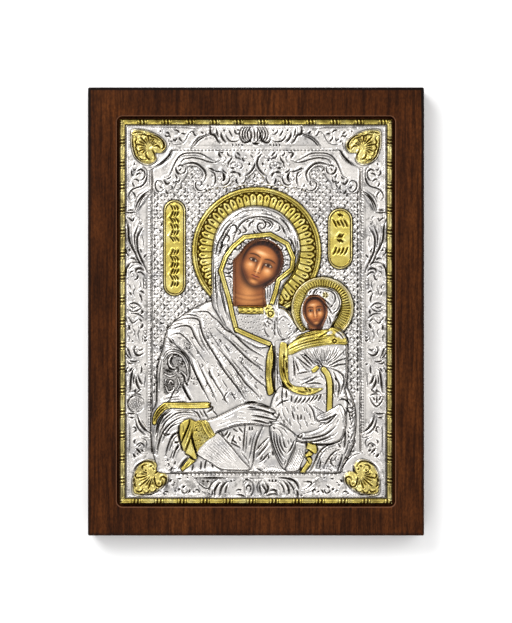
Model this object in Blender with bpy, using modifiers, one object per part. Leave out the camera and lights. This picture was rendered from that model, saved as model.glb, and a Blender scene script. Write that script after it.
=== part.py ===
"""A silver icon: a wooden board with a painted panel and a chased, partly gilded cover laid in its recess.

The icon lies on its back. +Z comes out of its face, +Y runs to its top and +X to the viewer's right.
The origin is the centre of the back. Outlines are written in millimetres and scaled by MM when built.
"""

import math

import bmesh
import bpy
from mathutils import Vector

MM = 0.001

# The board and the recess routed in its front.
BOARD_WIDTH = 180.0
BOARD_HEIGHT = 240.0
BOARD_THICK = 18.0
BOARD_EDGE_ROUND = 1.2
RECESS_WIDTH = 149.0
RECESS_HEIGHT = 209.0
RECESS_DEPTH = 3.4
RECESS_CORNER = 3.0
RECESS_LIP = 0.6

# The keyhole slot that hangs it, routed in the back.
KEYHOLE_Y = 88.0
KEYHOLE_HEAD_RADIUS = 5.0
KEYHOLE_SLOT_WIDTH = 5.0
KEYHOLE_SLOT_LENGTH = 12.0
KEYHOLE_DEPTH = 7.0
KEYHOLE_LIP = 3.0

# The painted panel and the silver cover lie on the recess floor, one over the other.
GAP = 0.3
RECESS_FLOOR = BOARD_THICK - RECESS_DEPTH
PANEL_WIDTH = 140.0
PANEL_HEIGHT = 200.0
PANEL_THICK = 1.2
COVER_WIDTH = 146.0
COVER_HEIGHT = 206.0
COVER_CORNER = 2.0
COVER_BACK = RECESS_FLOOR + GAP + PANEL_THICK + GAP
SHEET_THICK = 1.0
GROUND = COVER_BACK + SHEET_THICK
ROOT = COVER_BACK + 0.45

# Heights of the chased work above the ground of the sheet.
HEART_RISE = 0.35
HALO_RISE = 1.1
ROBE_RISE = 1.5
VEIL_RISE = 2.2
ARM_RISE = 2.5
CHILD_RISE = 2.8
HAND_RISE = 3.3

# The gilded bamboo edging.
EDGING_RADIUS = 1.45
EDGING_KNOT_PITCH = 12.7
EDGING_KNOT_HALF = 1.3
EDGING_KNOT_SWELL = 1.3

# A ridge's middle lies this far under the surface that it is raised on.
RIDGE_SINK = 0.07


def make_collection(name):
    collection = bpy.data.collections.new(name)
    bpy.context.scene.collection.children.link(collection)
    return collection


def make_material(name, colour, roughness, metallic):
    material = bpy.data.materials.new(name)
    material.use_nodes = True
    shader = material.node_tree.nodes["Principled BSDF"]
    shader.inputs["Base Color"].default_value = (*colour, 1.0)
    shader.inputs["Roughness"].default_value = roughness
    shader.inputs["Metallic"].default_value = metallic
    return material


def smooth_path(points, steps, closed=False):
    """Catmull-Rom curve through the points, with some steps from each one to the next."""
    corners = [Vector((*p, 0.0)) if len(p) == 2 else Vector(p) for p in points]
    count = len(corners)
    path = []
    for i in range(count if closed else count - 1):
        a, b, c, d = (
            corners[j % count] if closed else corners[min(max(j, 0), count - 1)]
            for j in (i - 1, i, i + 1, i + 2)
        )
        for k in range(steps):
            t = k / steps
            path.append(
                0.5 * (2 * b + (c - a) * t + (2 * a - 5 * b + 4 * c - d) * t**2
                       + (3 * b - a - 3 * c + d) * t**3)
            )
    if not closed:
        path.append(corners[-1])
    return path


def mirrored(points, across_x=False, across_y=False):
    """The same points seen in a mirror on the upright line, the level line or both."""
    sx = -1 if across_x else 1
    sy = -1 if across_y else 1
    return [(sx * x, sy * y) for x, y in points]


def arc(cx, cy, radius, start, end, count):
    """Points on an arc from one angle to another, in degrees."""
    angles = [math.radians(start + (end - start) * i / (count - 1)) for i in range(count)]
    return [(cx + radius * math.cos(a), cy + radius * math.sin(a)) for a in angles]


def rounded_rectangle(width, height, radius, count=5):
    x, y = width / 2 - radius, height / 2 - radius
    return (
        arc(x, y, radius, 0, 90, count)
        + arc(-x, y, radius, 90, 180, count)
        + arc(-x, -y, radius, 180, 270, count)
        + arc(x, -y, radius, 270, 360, count)
    )


def band(points, width, steps=2):
    """The outline of a strip of even width that follows the points."""
    path = smooth_path(points, steps)
    left, right = [], []
    for i, point in enumerate(path):
        run = (path[min(i + 1, len(path) - 1)] - path[max(i - 1, 0)]).normalized()
        side = Vector((-run.y, run.x, 0.0)) * width / 2
        left.append((point + side)[:2])
        right.append((point - side)[:2])
    return left + right[::-1]


def curve_to_mesh(name, curve, collection):
    """Turns a curve into a closed mesh object and removes the curve."""
    curve_object = bpy.data.objects.new(name + "_curve", curve)
    bpy.context.scene.collection.objects.link(curve_object)
    bpy.context.view_layer.update()
    graph = bpy.context.evaluated_depsgraph_get()
    mesh = bpy.data.meshes.new_from_object(curve_object.evaluated_get(graph))
    shape = bmesh.new()
    shape.from_mesh(mesh)
    bmesh.ops.remove_doubles(shape, verts=shape.verts, dist=0.00001)
    bmesh.ops.recalc_face_normals(shape, faces=shape.faces)
    shape.to_mesh(mesh)
    shape.free()
    solid = bpy.data.objects.new(name, mesh)
    solid.matrix_world = curve_object.matrix_world
    collection.objects.link(solid)
    bpy.data.objects.remove(curve_object)
    return solid


def pad(name, outline, bottom, top, collection, chamfer=0.0):
    """A flat-topped shape of this outline between two heights, its edges chamfered inward."""
    curve = bpy.data.curves.new(name, "CURVE")
    curve.dimensions = "2D"
    curve.fill_mode = "BOTH"
    curve.extrude = ((top - bottom) / 2 - chamfer) * MM
    curve.bevel_depth = chamfer * MM
    curve.bevel_resolution = 0
    curve.offset = -chamfer * MM
    spline = curve.splines.new("POLY")
    spline.points.add(len(outline) - 1)
    for point, place in zip(spline.points, outline):
        point.co = (place[0] * MM, place[1] * MM, 0.0, 1.0)
    spline.use_cyclic_u = True
    solid = curve_to_mesh(name, curve, collection)
    for vertex in solid.data.vertices:
        vertex.co.z += (top + bottom) / 2 * MM
    return solid


def ridge(name, points, surface, thick, collection, steps=2, closed=False, sides=0, swell=None):
    """A raised line of chasing on a surface; sides 0 gives it a four-sided section, 1 a six-sided one."""
    curve = bpy.data.curves.new(name, "CURVE")
    curve.dimensions = "3D"
    curve.bevel_depth = thick / 2 * MM
    curve.bevel_resolution = sides
    curve.use_fill_caps = not closed
    path = smooth_path(points, steps, closed)
    spline = curve.splines.new("POLY")
    spline.points.add(len(path) - 1)
    for i, (point, place) in enumerate(zip(spline.points, path)):
        point.co = (place.x * MM, place.y * MM, (surface - RIDGE_SINK) * MM, 1.0)
        point.radius = swell[i] if swell else 1.0
    spline.use_cyclic_u = closed
    return curve_to_mesh(name, curve, collection)


def turned(name, profile, centre, segments, collection):
    """A round shape turned from a profile of (radius, height) that starts and ends on the axis."""
    mesh = bpy.data.meshes.new(name)
    shape = bmesh.new()
    line = [shape.verts.new((radius * MM, 0.0, height * MM)) for radius, height in profile]
    for a, b in zip(line, line[1:]):
        shape.edges.new((a, b))
    shape.to_mesh(mesh)
    shape.free()
    lathe = bpy.data.objects.new(name + "_lathe", mesh)
    bpy.context.scene.collection.objects.link(lathe)
    screw = lathe.modifiers.new("turn", "SCREW")
    screw.steps = segments
    screw.render_steps = segments
    screw.use_merge_vertices = True
    screw.merge_threshold = 0.00001
    bpy.context.view_layer.update()
    graph = bpy.context.evaluated_depsgraph_get()
    solid = bpy.data.objects.new(name, bpy.data.meshes.new_from_object(lathe.evaluated_get(graph)))
    collection.objects.link(solid)
    bpy.data.objects.remove(lathe)
    shape = bmesh.new()
    shape.from_mesh(solid.data)
    bmesh.ops.recalc_face_normals(shape, faces=shape.faces)
    for vertex in shape.verts:
        vertex.co.x += centre[0] * MM
        vertex.co.y += centre[1] * MM
    shape.to_mesh(solid.data)
    shape.free()
    return solid


def combine(target, collection, operation):
    """Joins a whole collection to an object, or cuts it away."""
    boolean = target.modifiers.new(operation.lower(), "BOOLEAN")
    boolean.operation = operation
    boolean.operand_type = "COLLECTION"
    boolean.collection = collection
    boolean.solver = "EXACT"


def hide_tools(collection):
    for tool in collection.objects:
        tool.hide_render = True
        tool.display_type = "WIRE"


# The wooden board.
def build_board(parts, material):
    """The board, with a lipped recess in front and a keyhole slot behind."""
    bpy.ops.mesh.primitive_cube_add(size=1.0, location=(0.0, 0.0, BOARD_THICK / 2 * MM))
    board = bpy.context.object
    board.name = "wooden_board"
    board.scale = (BOARD_WIDTH * MM, BOARD_HEIGHT * MM, BOARD_THICK * MM)
    bpy.ops.object.transform_apply(location=True, scale=True)
    for collection in list(board.users_collection):
        collection.objects.unlink(board)
    parts.objects.link(board)
    board.data.materials.append(material)

    edges = board.modifiers.new("rounded_edges", "BEVEL")
    edges.width = BOARD_EDGE_ROUND * MM
    edges.segments = 3

    cuts = make_collection("board_cutters")
    opening = rounded_rectangle(RECESS_WIDTH, RECESS_HEIGHT, RECESS_CORNER)
    pad("recess_cutter", opening, RECESS_FLOOR, BOARD_THICK + 2.0, cuts)
    lip = rounded_rectangle(
        RECESS_WIDTH + 2 * RECESS_LIP, RECESS_HEIGHT + 2 * RECESS_LIP, RECESS_CORNER + RECESS_LIP
    )
    pad("lip_cutter", lip, BOARD_THICK - RECESS_LIP, BOARD_THICK + 2.5, cuts)

    head = arc(0, KEYHOLE_Y, KEYHOLE_HEAD_RADIUS, 0, 337.5, 16)
    pad("keyhole_head_cutter", head, -1.0, KEYHOLE_DEPTH, cuts)
    top = KEYHOLE_Y + KEYHOLE_SLOT_LENGTH
    half = KEYHOLE_SLOT_WIDTH / 2
    slot = arc(0, top, half, 0, 180, 7) + [(-half, KEYHOLE_Y), (half, KEYHOLE_Y)]
    pad("keyhole_slot_cutter", slot, -1.5, KEYHOLE_DEPTH - 0.5, cuts)
    wide = KEYHOLE_HEAD_RADIUS - 0.05
    channel = arc(0, top, wide, 0, 180, 9) + [(-wide, KEYHOLE_Y), (wide, KEYHOLE_Y)]
    pad("keyhole_channel_cutter", channel, KEYHOLE_LIP, KEYHOLE_DEPTH - 0.25, cuts)
    hide_tools(cuts)
    combine(board, cuts, "DIFFERENCE")


# The painted panel.
def build_panel(parts, material):
    """The thin painted sheet that shows only in the two face openings."""
    bottom = RECESS_FLOOR + GAP
    outline = rounded_rectangle(PANEL_WIDTH, PANEL_HEIGHT, 1.0, 3)
    panel = pad("painted_panel", outline, bottom, bottom + PANEL_THICK, parts)
    panel.data.materials.append(material)


# The frame of the silver cover.
def build_edging(shapes):
    """The bamboo edging: one rail round the cover, swollen at every knot."""
    x = COVER_WIDTH / 2 - EDGING_RADIUS - 0.05
    y = COVER_HEIGHT / 2 - EDGING_RADIUS - 0.05
    corners = [(x, y), (-x, y), (-x, -y), (x, -y)]
    ring = ((-EDGING_KNOT_HALF, 1.0), (0.0, EDGING_KNOT_SWELL), (EDGING_KNOT_HALF, 1.0))
    path, swell = [], []
    for i in range(4):
        start, end = Vector(corners[i]), Vector(corners[(i + 1) % 4])
        run = (end - start).normalized()
        length = (end - start).length
        knots = round(length / EDGING_KNOT_PITCH)
        path.append(tuple(start))
        swell.append(1.0)
        for knot in range(knots):
            middle = (knot + 0.5) * length / knots
            for offset, size in ring:
                path.append(tuple(start + run * (middle + offset)))
                swell.append(size)
    ridge("edging", path, GROUND, 2 * EDGING_RADIUS, shapes, 1, True, 0, swell)
    inner = rounded_rectangle(139.0, 198.0, 0.8, 2)
    ridge("edging_line", inner, GROUND, 0.9, shapes, 1, True)


def heart_outline():
    """The upper left heart: its point at the outer corner and its two lobes inward."""
    return [
        (-66.5, 97.0), (-57.0, 96.2), (-51.5, 93.0), (-48.8, 89.0), (-50.5, 85.6), (-54.4, 85.2),
        (-55.6, 82.0), (-57.5, 79.4), (-61.5, 79.6), (-65.0, 83.5), (-66.8, 89.0),
    ]


def build_corner(shapes, mark, across_x, across_y):
    """One corner of the frame: the gilded heart with its palmette, and the hood that holds it."""
    outline = mirrored(heart_outline(), across_x, across_y)
    edge = [tuple(p[:2]) for p in smooth_path(outline, 2, True)]
    pad(f"heart_{mark}", edge, ROOT, GROUND + HEART_RISE, shapes)
    ridge(f"heart_rim_{mark}", edge, GROUND, 1.8, shapes, 1, True)
    root = (-56.0, 86.6)
    for i in range(5):
        angle = math.radians(95.0 + 30.0 * i)
        reach = 6.6 + 1.6 * math.cos(angle - math.radians(135.0))
        tip = (root[0] + reach * math.cos(angle), root[1] + reach * math.sin(angle))
        rib = mirrored([root, tip], across_x, across_y)
        ridge(f"heart_rib_{mark}_{i}", rib, GROUND + HEART_RISE, 1.3 + 0.02 * i, shapes, 1)
    if across_y:
        hood = [(-56.0, 62.0), (-56.0, 75.5), (-50.5, 77.2), (-46.6, 81.5), (-45.2, 86.3), (-36.0, 87.4)]
    else:
        hood = [(-56.0, 62.0), (-56.2, 75.0), (-48.4, 79.4), (-43.6, 86.0), (-36.0, 87.4)]
    ridge(f"hood_{mark}", mirrored(hood, across_x, across_y), GROUND, 1.6, shapes)
    upper = [(-25.2, 98.6), (-25.6, 95.0), (-30.6, 92.2), (-35.4, 86.8)]
    ridge(f"panel_end_{mark}", mirrored(upper, across_x, across_y), GROUND, 1.3, shapes)
    side = [(-69.0, 53.4), (-64.8, 53.8), (-61.6, 60.4), (-56.4, 65.2)]
    ridge(f"panel_foot_{mark}", mirrored(side, across_x, across_y), GROUND, 1.3, shapes)


def build_side_border(shapes, across_x):
    """The leaf scrolls of one side: a bud on a stem above, two ring scrolls and hanging plumes."""
    mark = "right" if across_x else "left"
    stems = (
        [(-68.5, 50.5), (-67.8, 41.0), (-65.5, 33.0), (-59.2, 24.5)],
        [(-62.6, 50.8), (-64.8, 42.0), (-63.4, 33.0), (-59.0, 26.0)],
        [(-68.6, 27.5), (-64.5, 26.6), (-60.4, 22.8), (-62.2, 18.8), (-65.6, 20.4)],
        [(-68.0, -19.0), (-66.6, -23.6), (-61.6, -24.4), (-60.6, -20.4), (-64.0, -18.2)],
        [(-59.2, -22.0), (-64.2, -30.0), (-66.2, -42.5)],
        [(-62.8, -30.0), (-62.6, -36.0), (-60.0, -41.5)],
    )
    for i, stem in enumerate(stems):
        ridge(f"stem_{mark}_{i}", mirrored(stem, across_x), GROUND, 1.6, shapes)
    for i, (middle, half) in enumerate(((2.6, 2.3), (-5.2, 3.0))):
        ring = [
            (-65.4 + 3.6 * math.cos(a), middle + half * math.sin(a))
            for a in (math.pi * k / 5 for k in range(10))
        ]
        ridge(f"ring_{mark}_{i}", mirrored(ring, across_x), GROUND, 1.4, shapes, 1, True)


def build_end_ornament(shapes, across_y):
    """The pair of leaves with two eyes in the middle of the top or bottom border."""
    mark = "bottom" if across_y else "top"
    for across_x in (False, True):
        side = "right" if across_x else "left"
        leaf = [(-1.6, 90.8), (-7.6, 90.6), (-14.5, 91.0), (-19.0, 94.4), (-20.0, 98.4)]
        ridge(f"leaf_{mark}_{side}", mirrored(leaf, across_x, across_y), GROUND, 1.7, shapes)
        eye = [
            (-4.6 + 2.2 * math.cos(a), 94.6 + 3.2 * math.sin(a))
            for a in (math.pi * k / 4 for k in range(8))
        ]
        ridge(f"eye_{mark}_{side}", mirrored(eye, across_x, across_y), GROUND, 1.4, shapes, 1, True)


def build_upper_scrolls(shapes):
    """The stems that curl over the ground above the large halo."""
    stems = (
        [(-21.0, 80.5), (-35.5, 84.6), (-43.6, 77.0), (-47.6, 70.6), (-52.6, 69.6), (-52.2, 65.0)],
        [(-40.4, 76.8), (-33.4, 79.4), (-27.6, 74.0), (-29.2, 67.2), (-32.4, 67.6)],
        [(-24.8, 76.6), (-19.6, 74.6), (-15.8, 71.6), (-18.6, 68.6)],
        [(-3.4, 84.2), (-1.4, 79.6), (-5.6, 74.8), (-10.2, 72.4), (-8.6, 68.8)],
    )
    for across_x in (False, True):
        side = "right" if across_x else "left"
        for i, stem in enumerate(stems):
            ridge(f"scroll_{side}_{i}", mirrored(stem, across_x), GROUND, 1.7, shapes)


# The halos and the cartouches.
def build_halo(shapes, name, centre, radius, rim, petals, segments, rise):
    """A gilded halo: a raised rim, a sunk channel and a disc of pointed petals."""
    top = GROUND + rise
    inner = radius - rim
    profile = [
        (0.0, top - 0.5), (inner, top - 0.5), (inner + 0.3, top), (radius - 0.6, top),
        (radius, top - 0.5), (radius, ROOT), (0.0, ROOT),
    ]
    turned(name, profile, centre, segments, shapes)
    tips = []
    for i in range(petals):
        for step, reach in ((0.0, inner - 1.0), (0.5, inner - 3.0)):
            angle = 2 * math.pi * (i + step) / petals
            tips.append((centre[0] + reach * math.cos(angle), centre[1] + reach * math.sin(angle)))
    pad(name + "_petals", tips, ROOT, top - 0.25, shapes)


def build_cartouche(shapes, name, left, right, bottom, top):
    """A gilded plate with round ends inside a raised silver rim, at the given sides."""
    radius = (right - left) / 2
    cx = (left + right) / 2
    outline = arc(cx, top - radius, radius, 0, 180, 9) + arc(cx, bottom + radius, radius, 180, 360, 9)
    pad(name, outline, ROOT, GROUND + 0.3, shapes)
    ridge(name + "_rim", outline, GROUND, 2.0, shapes, 1, True)


def build_strokes(shapes, name, places, length, slant):
    """Rows of shallow raised strokes, none of them a letter."""
    for i, (x, y) in enumerate(places):
        lean = slant if i % 2 else -slant
        stroke = [(x - length / 2, y - lean), (x + length / 2, y + lean)]
        ridge(f"{name}_{i}", stroke, GROUND + 0.3, 1.1, shapes, 1)


# The two figures.
def build_mother(shapes):
    """The large figure: robe, veil, arm and hand, in steps of rising height."""
    robe = [
        (-24.0, 6.0), (-35.0, 1.0), (-44.0, -5.5), (-49.0, -14.0), (-52.0, -28.0), (-53.5, -44.0),
        (-55.4, -58.0), (-55.4, -74.5), (-50.0, -77.5), (-46.4, -82.0), (-44.0, -86.4), (44.0, -86.4),
        (46.4, -81.5), (51.0, -75.0), (53.4, -62.0), (52.6, -50.5), (48.6, -39.5), (49.0, -14.0),
        (44.5, -7.5), (24.0, -6.0), (16.0, 4.0), (0.0, 12.0), (-18.0, 12.0),
    ]
    pad("robe", robe, ROOT, GROUND + ROBE_RISE, shapes, 0.35)
    veil = [
        (-24.2, 4.0), (-24.0, 20.0), (-23.2, 36.0), (-18.0, 47.5), (-8.5, 55.0), (1.0, 57.0),
        (12.0, 54.0), (20.5, 46.5), (24.2, 35.5), (22.6, 27.0), (19.5, 19.5), (14.6, 12.6),
        (12.4, 3.0), (17.0, -5.0), (12.0, -13.0), (8.5, -22.0), (0.0, -23.5), (-10.0, -15.0), (-20.0, -5.0),
    ]
    pad("veil", veil, ROOT + 0.05, GROUND + VEIL_RISE, shapes, 0.5)
    upper_arm = [
        (-36.0, -2.5), (-45.0, -10.0), (-49.6, -22.0), (-51.6, -44.0), (-47.0, -50.2), (-26.0, -50.8),
        (-12.0, -49.0), (-8.0, -40.0), (-20.0, -22.0), (-26.0, -8.0),
    ]
    pad("upper_arm", upper_arm, ROOT + 0.1, GROUND + ARM_RISE, shapes, 0.6)
    sleeve = [
        (-53.6, -57.5), (-48.0, -52.6), (-26.0, -52.4), (-21.6, -58.0), (-22.4, -66.0), (-30.5, -74.6),
        (-34.0, -79.5), (-42.0, -84.6), (-44.0, -74.0), (-51.6, -70.0),
    ]
    pad("sleeve", sleeve, ROOT + 0.15, GROUND + VEIL_RISE + 0.15, shapes, 0.4)
    under_sleeve = [(-30.0, -75.4), (-20.0, -66.0), (-7.4, -79.4), (-3.4, -84.4), (-14.0, -84.0)]
    pad("under_sleeve", under_sleeve, ROOT + 0.2, GROUND + ROBE_RISE + 0.45, shapes, 0.3)
    hand = [
        (-24.5, -57.0), (-17.0, -53.4), (-10.0, -50.6), (-3.5, -48.8), (5.5, -50.4), (9.8, -53.4),
        (10.6, -58.0), (8.0, -61.8), (0.0, -60.8), (-8.0, -60.8), (-22.0, -64.2),
    ]
    pad("right_hand", hand, ROOT + 0.25, GROUND + HAND_RISE, shapes, 0.5)
    for i, y in enumerate((-50.8, -54.0, -56.8, -59.4)):
        finger = [(-5.0, y - 0.4), (1.0, y), (8.4 - 0.6 * i, y - 1.0)]
        ridge(f"right_finger_{i}", finger, GROUND + HAND_RISE, 1.7, shapes)


def build_child(shapes):
    """The small figure: wrapped body, mantle, veil and the hand that holds it."""
    body = [
        (13.5, -14.0), (24.0, -10.5), (41.0, -8.6), (47.6, -13.0), (48.6, -28.0), (47.6, -40.0),
        (42.0, -50.0), (34.0, -56.0), (31.0, -65.0), (18.0, -67.2), (9.0, -62.0), (9.4, -52.0),
        (13.0, -44.0), (13.0, -28.0),
    ]
    pad("child_body", body, ROOT + 0.3, GROUND + CHILD_RISE, shapes, 0.5)
    veil = [
        (24.4, -8.5), (24.0, 3.0), (26.6, 9.6), (33.0, 13.3), (40.4, 12.4), (45.2, 7.6), (46.2, 1.0),
        (43.6, -6.0), (38.0, -10.4), (30.0, -11.6),
    ]
    pad("child_veil", veil, ROOT + 0.35, GROUND + CHILD_RISE - 0.25, shapes, 0.4)
    mantle = [
        (18.5, -14.6), (25.0, -12.2), (32.0, -9.7), (41.5, -8.3), (47.4, -13.0), (48.2, -18.4),
        (42.0, -19.4), (33.0, -21.0), (25.0, -23.4), (19.4, -24.4),
    ]
    pad("mantle", mantle, ROOT + 0.4, GROUND + CHILD_RISE + 0.35, shapes, 0.3)
    lap = [
        (10.6, -49.0), (20.0, -45.0), (30.6, -47.6), (32.8, -56.0), (28.6, -64.6), (18.0, -66.6),
        (10.0, -61.4),
    ]
    pad("lap", lap, ROOT + 0.45, GROUND + HAND_RISE - 0.05, shapes, 0.6)
    cloth = [
        (7.8, -62.0), (7.5, -68.0), (9.6, -75.5), (15.0, -84.2), (26.4, -71.4), (22.0, -67.0), (14.0, -64.0),
    ]
    pad("cloth", cloth, ROOT + 0.5, GROUND + VEIL_RISE + 0.2, shapes, 0.3)
    hand = [
        (37.6, -53.4), (42.0, -50.6), (45.6, -49.8), (48.0, -55.0), (48.2, -62.0), (46.6, -66.2),
        (42.0, -69.0), (35.0, -71.0), (28.0, -70.6), (21.8, -68.4), (23.4, -64.6), (30.0, -62.6), (34.2, -60.0),
    ]
    pad("left_hand", hand, ROOT + 0.55, GROUND + HAND_RISE + 0.3, shapes, 0.5)
    for i, y in enumerate((-64.8, -67.0, -69.2)):
        finger = [(23.6 + 2.0 * i, y - 1.2), (31.0 + i, y + 0.1), (38.6, y + 2.4)]
        ridge(f"left_finger_{i}", finger, GROUND + HAND_RISE + 0.3, 1.6, shapes)
    thumb = [(32.6, -57.2), (36.2, -56.8), (41.0, -54.8)]
    ridge("left_thumb", thumb, GROUND + HAND_RISE + 0.3, 2.0, shapes)
    raised_hand = [(19.8, -25.4), (24.0, -26.4), (29.6, -29.0), (30.6, -33.6), (25.0, -32.6), (21.0, -30.6)]
    pad("raised_hand", raised_hand, ROOT + 0.6, GROUND + HAND_RISE + 0.1, shapes, 0.4)


def build_hems(shapes):
    """The gilded bands: hems of the veil, elbow and sash, and the folded cuffs."""
    bands = {
        "veil_hem": ([(-10.5, -9.8), (-18.8, 21.3), (-15.0, 29.5), (-5.8, 39.9), (7.3, 41.2), (17.0, 35.5),
                      (20.2, 28.0), (16.6, 21.4), (11.6, 16.6), (7.0, 4.5)], 2.5, VEIL_RISE + 0.3),
        "collar": ([(-9.8, 1.2), (-3.0, -0.4), (4.4, 1.0)], 3.0, VEIL_RISE + 0.25),
        "lower_hem": ([(-9.0, -9.8), (-1.0, -13.4), (7.0, -16.2)], 1.8, VEIL_RISE + 0.28),
        "elbow_hem": ([(-54.0, -56.6), (-51.6, -53.6), (-47.5, -51.6), (-25.0, -51.6)], 2.8, ARM_RISE + 0.2),
        "strip": ([(9.0, -17.5), (7.5, -26.0), (7.2, -35.0), (8.2, -44.0)], 3.8, ARM_RISE + 0.1),
        "sash": ([(15.4, -21.5), (15.4, -33.0), (17.4, -38.6), (24.0, -42.4), (35.0, -42.2)], 4.2, HAND_RISE),
        "sleeve_hem": ([(37.9, -31.8), (39.0, -40.0), (38.8, -50.0)], 2.6, HAND_RISE + 0.05),
    }
    for name, (points, width, rise) in bands.items():
        pad(name, band(points, width), ROOT, GROUND + rise, shapes)
    cuffs = {
        "cuff_a": [(-40.8, -60.6), (-37.0, -57.0), (-34.8, -57.6), (-36.0, -62.4), (-40.0, -70.6)],
        "cuff_b": [(-34.8, -57.4), (-32.0, -58.6), (-34.0, -64.6), (-38.0, -75.8), (-39.6, -71.0)],
        "cuff_c": [(-35.4, -67.6), (-33.6, -66.0), (-31.4, -78.2), (-37.4, -76.2)],
        "cuff_d": [(-34.8, -78.2), (-31.6, -79.2), (-36.0, -83.2), (-39.4, -85.4), (-42.2, -84.8)],
        "cuff_left": [(-32.2, -60.2), (-27.0, -58.2), (-22.4, -66.2), (-30.6, -74.6), (-33.4, -66.4)],
        "cuff_right": [(27.4, -70.0), (32.2, -71.2), (32.4, -76.4), (29.8, -80.6), (26.4, -85.8),
                       (23.6, -85.8), (27.2, -78.6), (26.6, -73.0)],
    }
    for i, (name, outline) in enumerate(cuffs.items()):
        pad(name, outline, ROOT, GROUND + VEIL_RISE + 0.45 + 0.06 * i, shapes)


def build_folds(shapes):
    """The raised lines of the drapery, laid on the part of the figure that each belongs to."""
    folds = (
        (ROBE_RISE, [(-44.5, -9.0), (-37.0, -7.6), (-33.0, -13.0), (-29.0, -19.0)]),
        (VEIL_RISE, [(-23.6, 4.0), (-17.5, -7.0), (-8.0, -15.6), (3.0, -22.2)]),
        (VEIL_RISE, [(-21.0, 22.0), (-17.8, 33.0), (-8.0, 46.0), (1.0, 50.6), (12.0, 47.4), (19.6, 36.0)]),
        (ROBE_RISE, [(-24.0, -2.0), (-14.0, -16.0), (-5.0, -25.2), (4.0, -33.0)]),
        (ROBE_RISE, [(-17.0, -18.5), (-8.0, -28.0), (2.0, -37.4), (6.0, -44.0)]),
        (ROBE_RISE, [(-17.6, -25.0), (-10.0, -33.0), (-1.0, -43.6), (2.4, -47.4)]),
        (ARM_RISE, [(-30.0, -8.0), (-23.6, -22.4), (-14.6, -36.6), (-9.0, -45.0)]),
        (ARM_RISE, [(-41.5, -17.5), (-33.8, -30.5), (-26.5, -44.0), (-24.0, -49.6)]),
        (ARM_RISE, [(-48.6, -23.0), (-43.0, -21.0), (-37.0, -26.6), (-36.6, -38.0)]),
        (VEIL_RISE, [(-52.4, -62.0), (-47.0, -56.0), (-38.0, -54.4), (-30.0, -57.0)]),
        (VEIL_RISE, [(-46.8, -66.0), (-46.2, -71.0), (-44.6, -79.0)]),
        (ROBE_RISE, [(-5.6, -61.5), (-6.0, -67.0), (-6.8, -75.6)]),
        (ROBE_RISE, [(3.4, -62.0), (0.0, -71.0), (-1.2, -79.0), (-2.6, -84.0)]),
        (ROBE_RISE, [(6.6, -70.4), (2.0, -76.0), (-0.6, -80.0)]),
        (VEIL_RISE + 0.2, [(9.8, -65.0), (10.8, -71.5), (14.0, -79.0)]),
        (VEIL_RISE + 0.2, [(22.6, -70.2), (19.4, -76.0), (15.6, -82.4)]),
        (ROBE_RISE, [(46.0, -69.8), (35.6, -74.8), (29.8, -84.6)]),
        (ROBE_RISE, [(45.4, -74.0), (39.4, -79.0), (36.0, -84.0)]),
        (CHILD_RISE, [(36.0, -30.0), (30.0, -26.0), (27.0, -24.6)]),
        (CHILD_RISE, [(37.0, -30.0), (41.0, -24.0), (45.6, -21.0)]),
        (CHILD_RISE, [(42.0, -31.0), (46.4, -34.4), (45.4, -45.0)]),
        (HAND_RISE - 0.1, [(20.0, -42.4), (28.0, -45.6), (36.0, -49.0)]),
        (HAND_RISE - 0.1, [(22.0, -52.0), (22.6, -56.0), (20.4, -60.4)]),
        (HAND_RISE - 0.1, [(28.0, -49.6), (30.4, -54.0), (30.6, -59.0)]),
        (CHILD_RISE - 0.25, [(33.5, 10.0), (41.0, 9.6), (42.4, 5.6), (39.8, 1.0)]),
    )
    for i, (rise, points) in enumerate(folds):
        ridge(f"fold_{i}", points, GROUND + rise, 1.3, shapes)


def face_opening(centre, half_width, half_height, tilt, neck):
    """An egg-shaped opening, leaning by a tilt in degrees, that runs down into a straight neck."""
    turn = math.radians(-tilt)
    outline = []
    for i in range(19):
        angle = math.radians(-50.0 + 280.0 * i / 18)
        taper = 1.0 - 0.1 * (1.0 - math.sin(angle))
        x = half_width * taper * math.cos(angle)
        y = half_height * math.sin(angle)
        outline.append((
            centre[0] + x * math.cos(turn) - y * math.sin(turn),
            centre[1] + x * math.sin(turn) + y * math.cos(turn),
        ))
    return outline + neck


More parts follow.
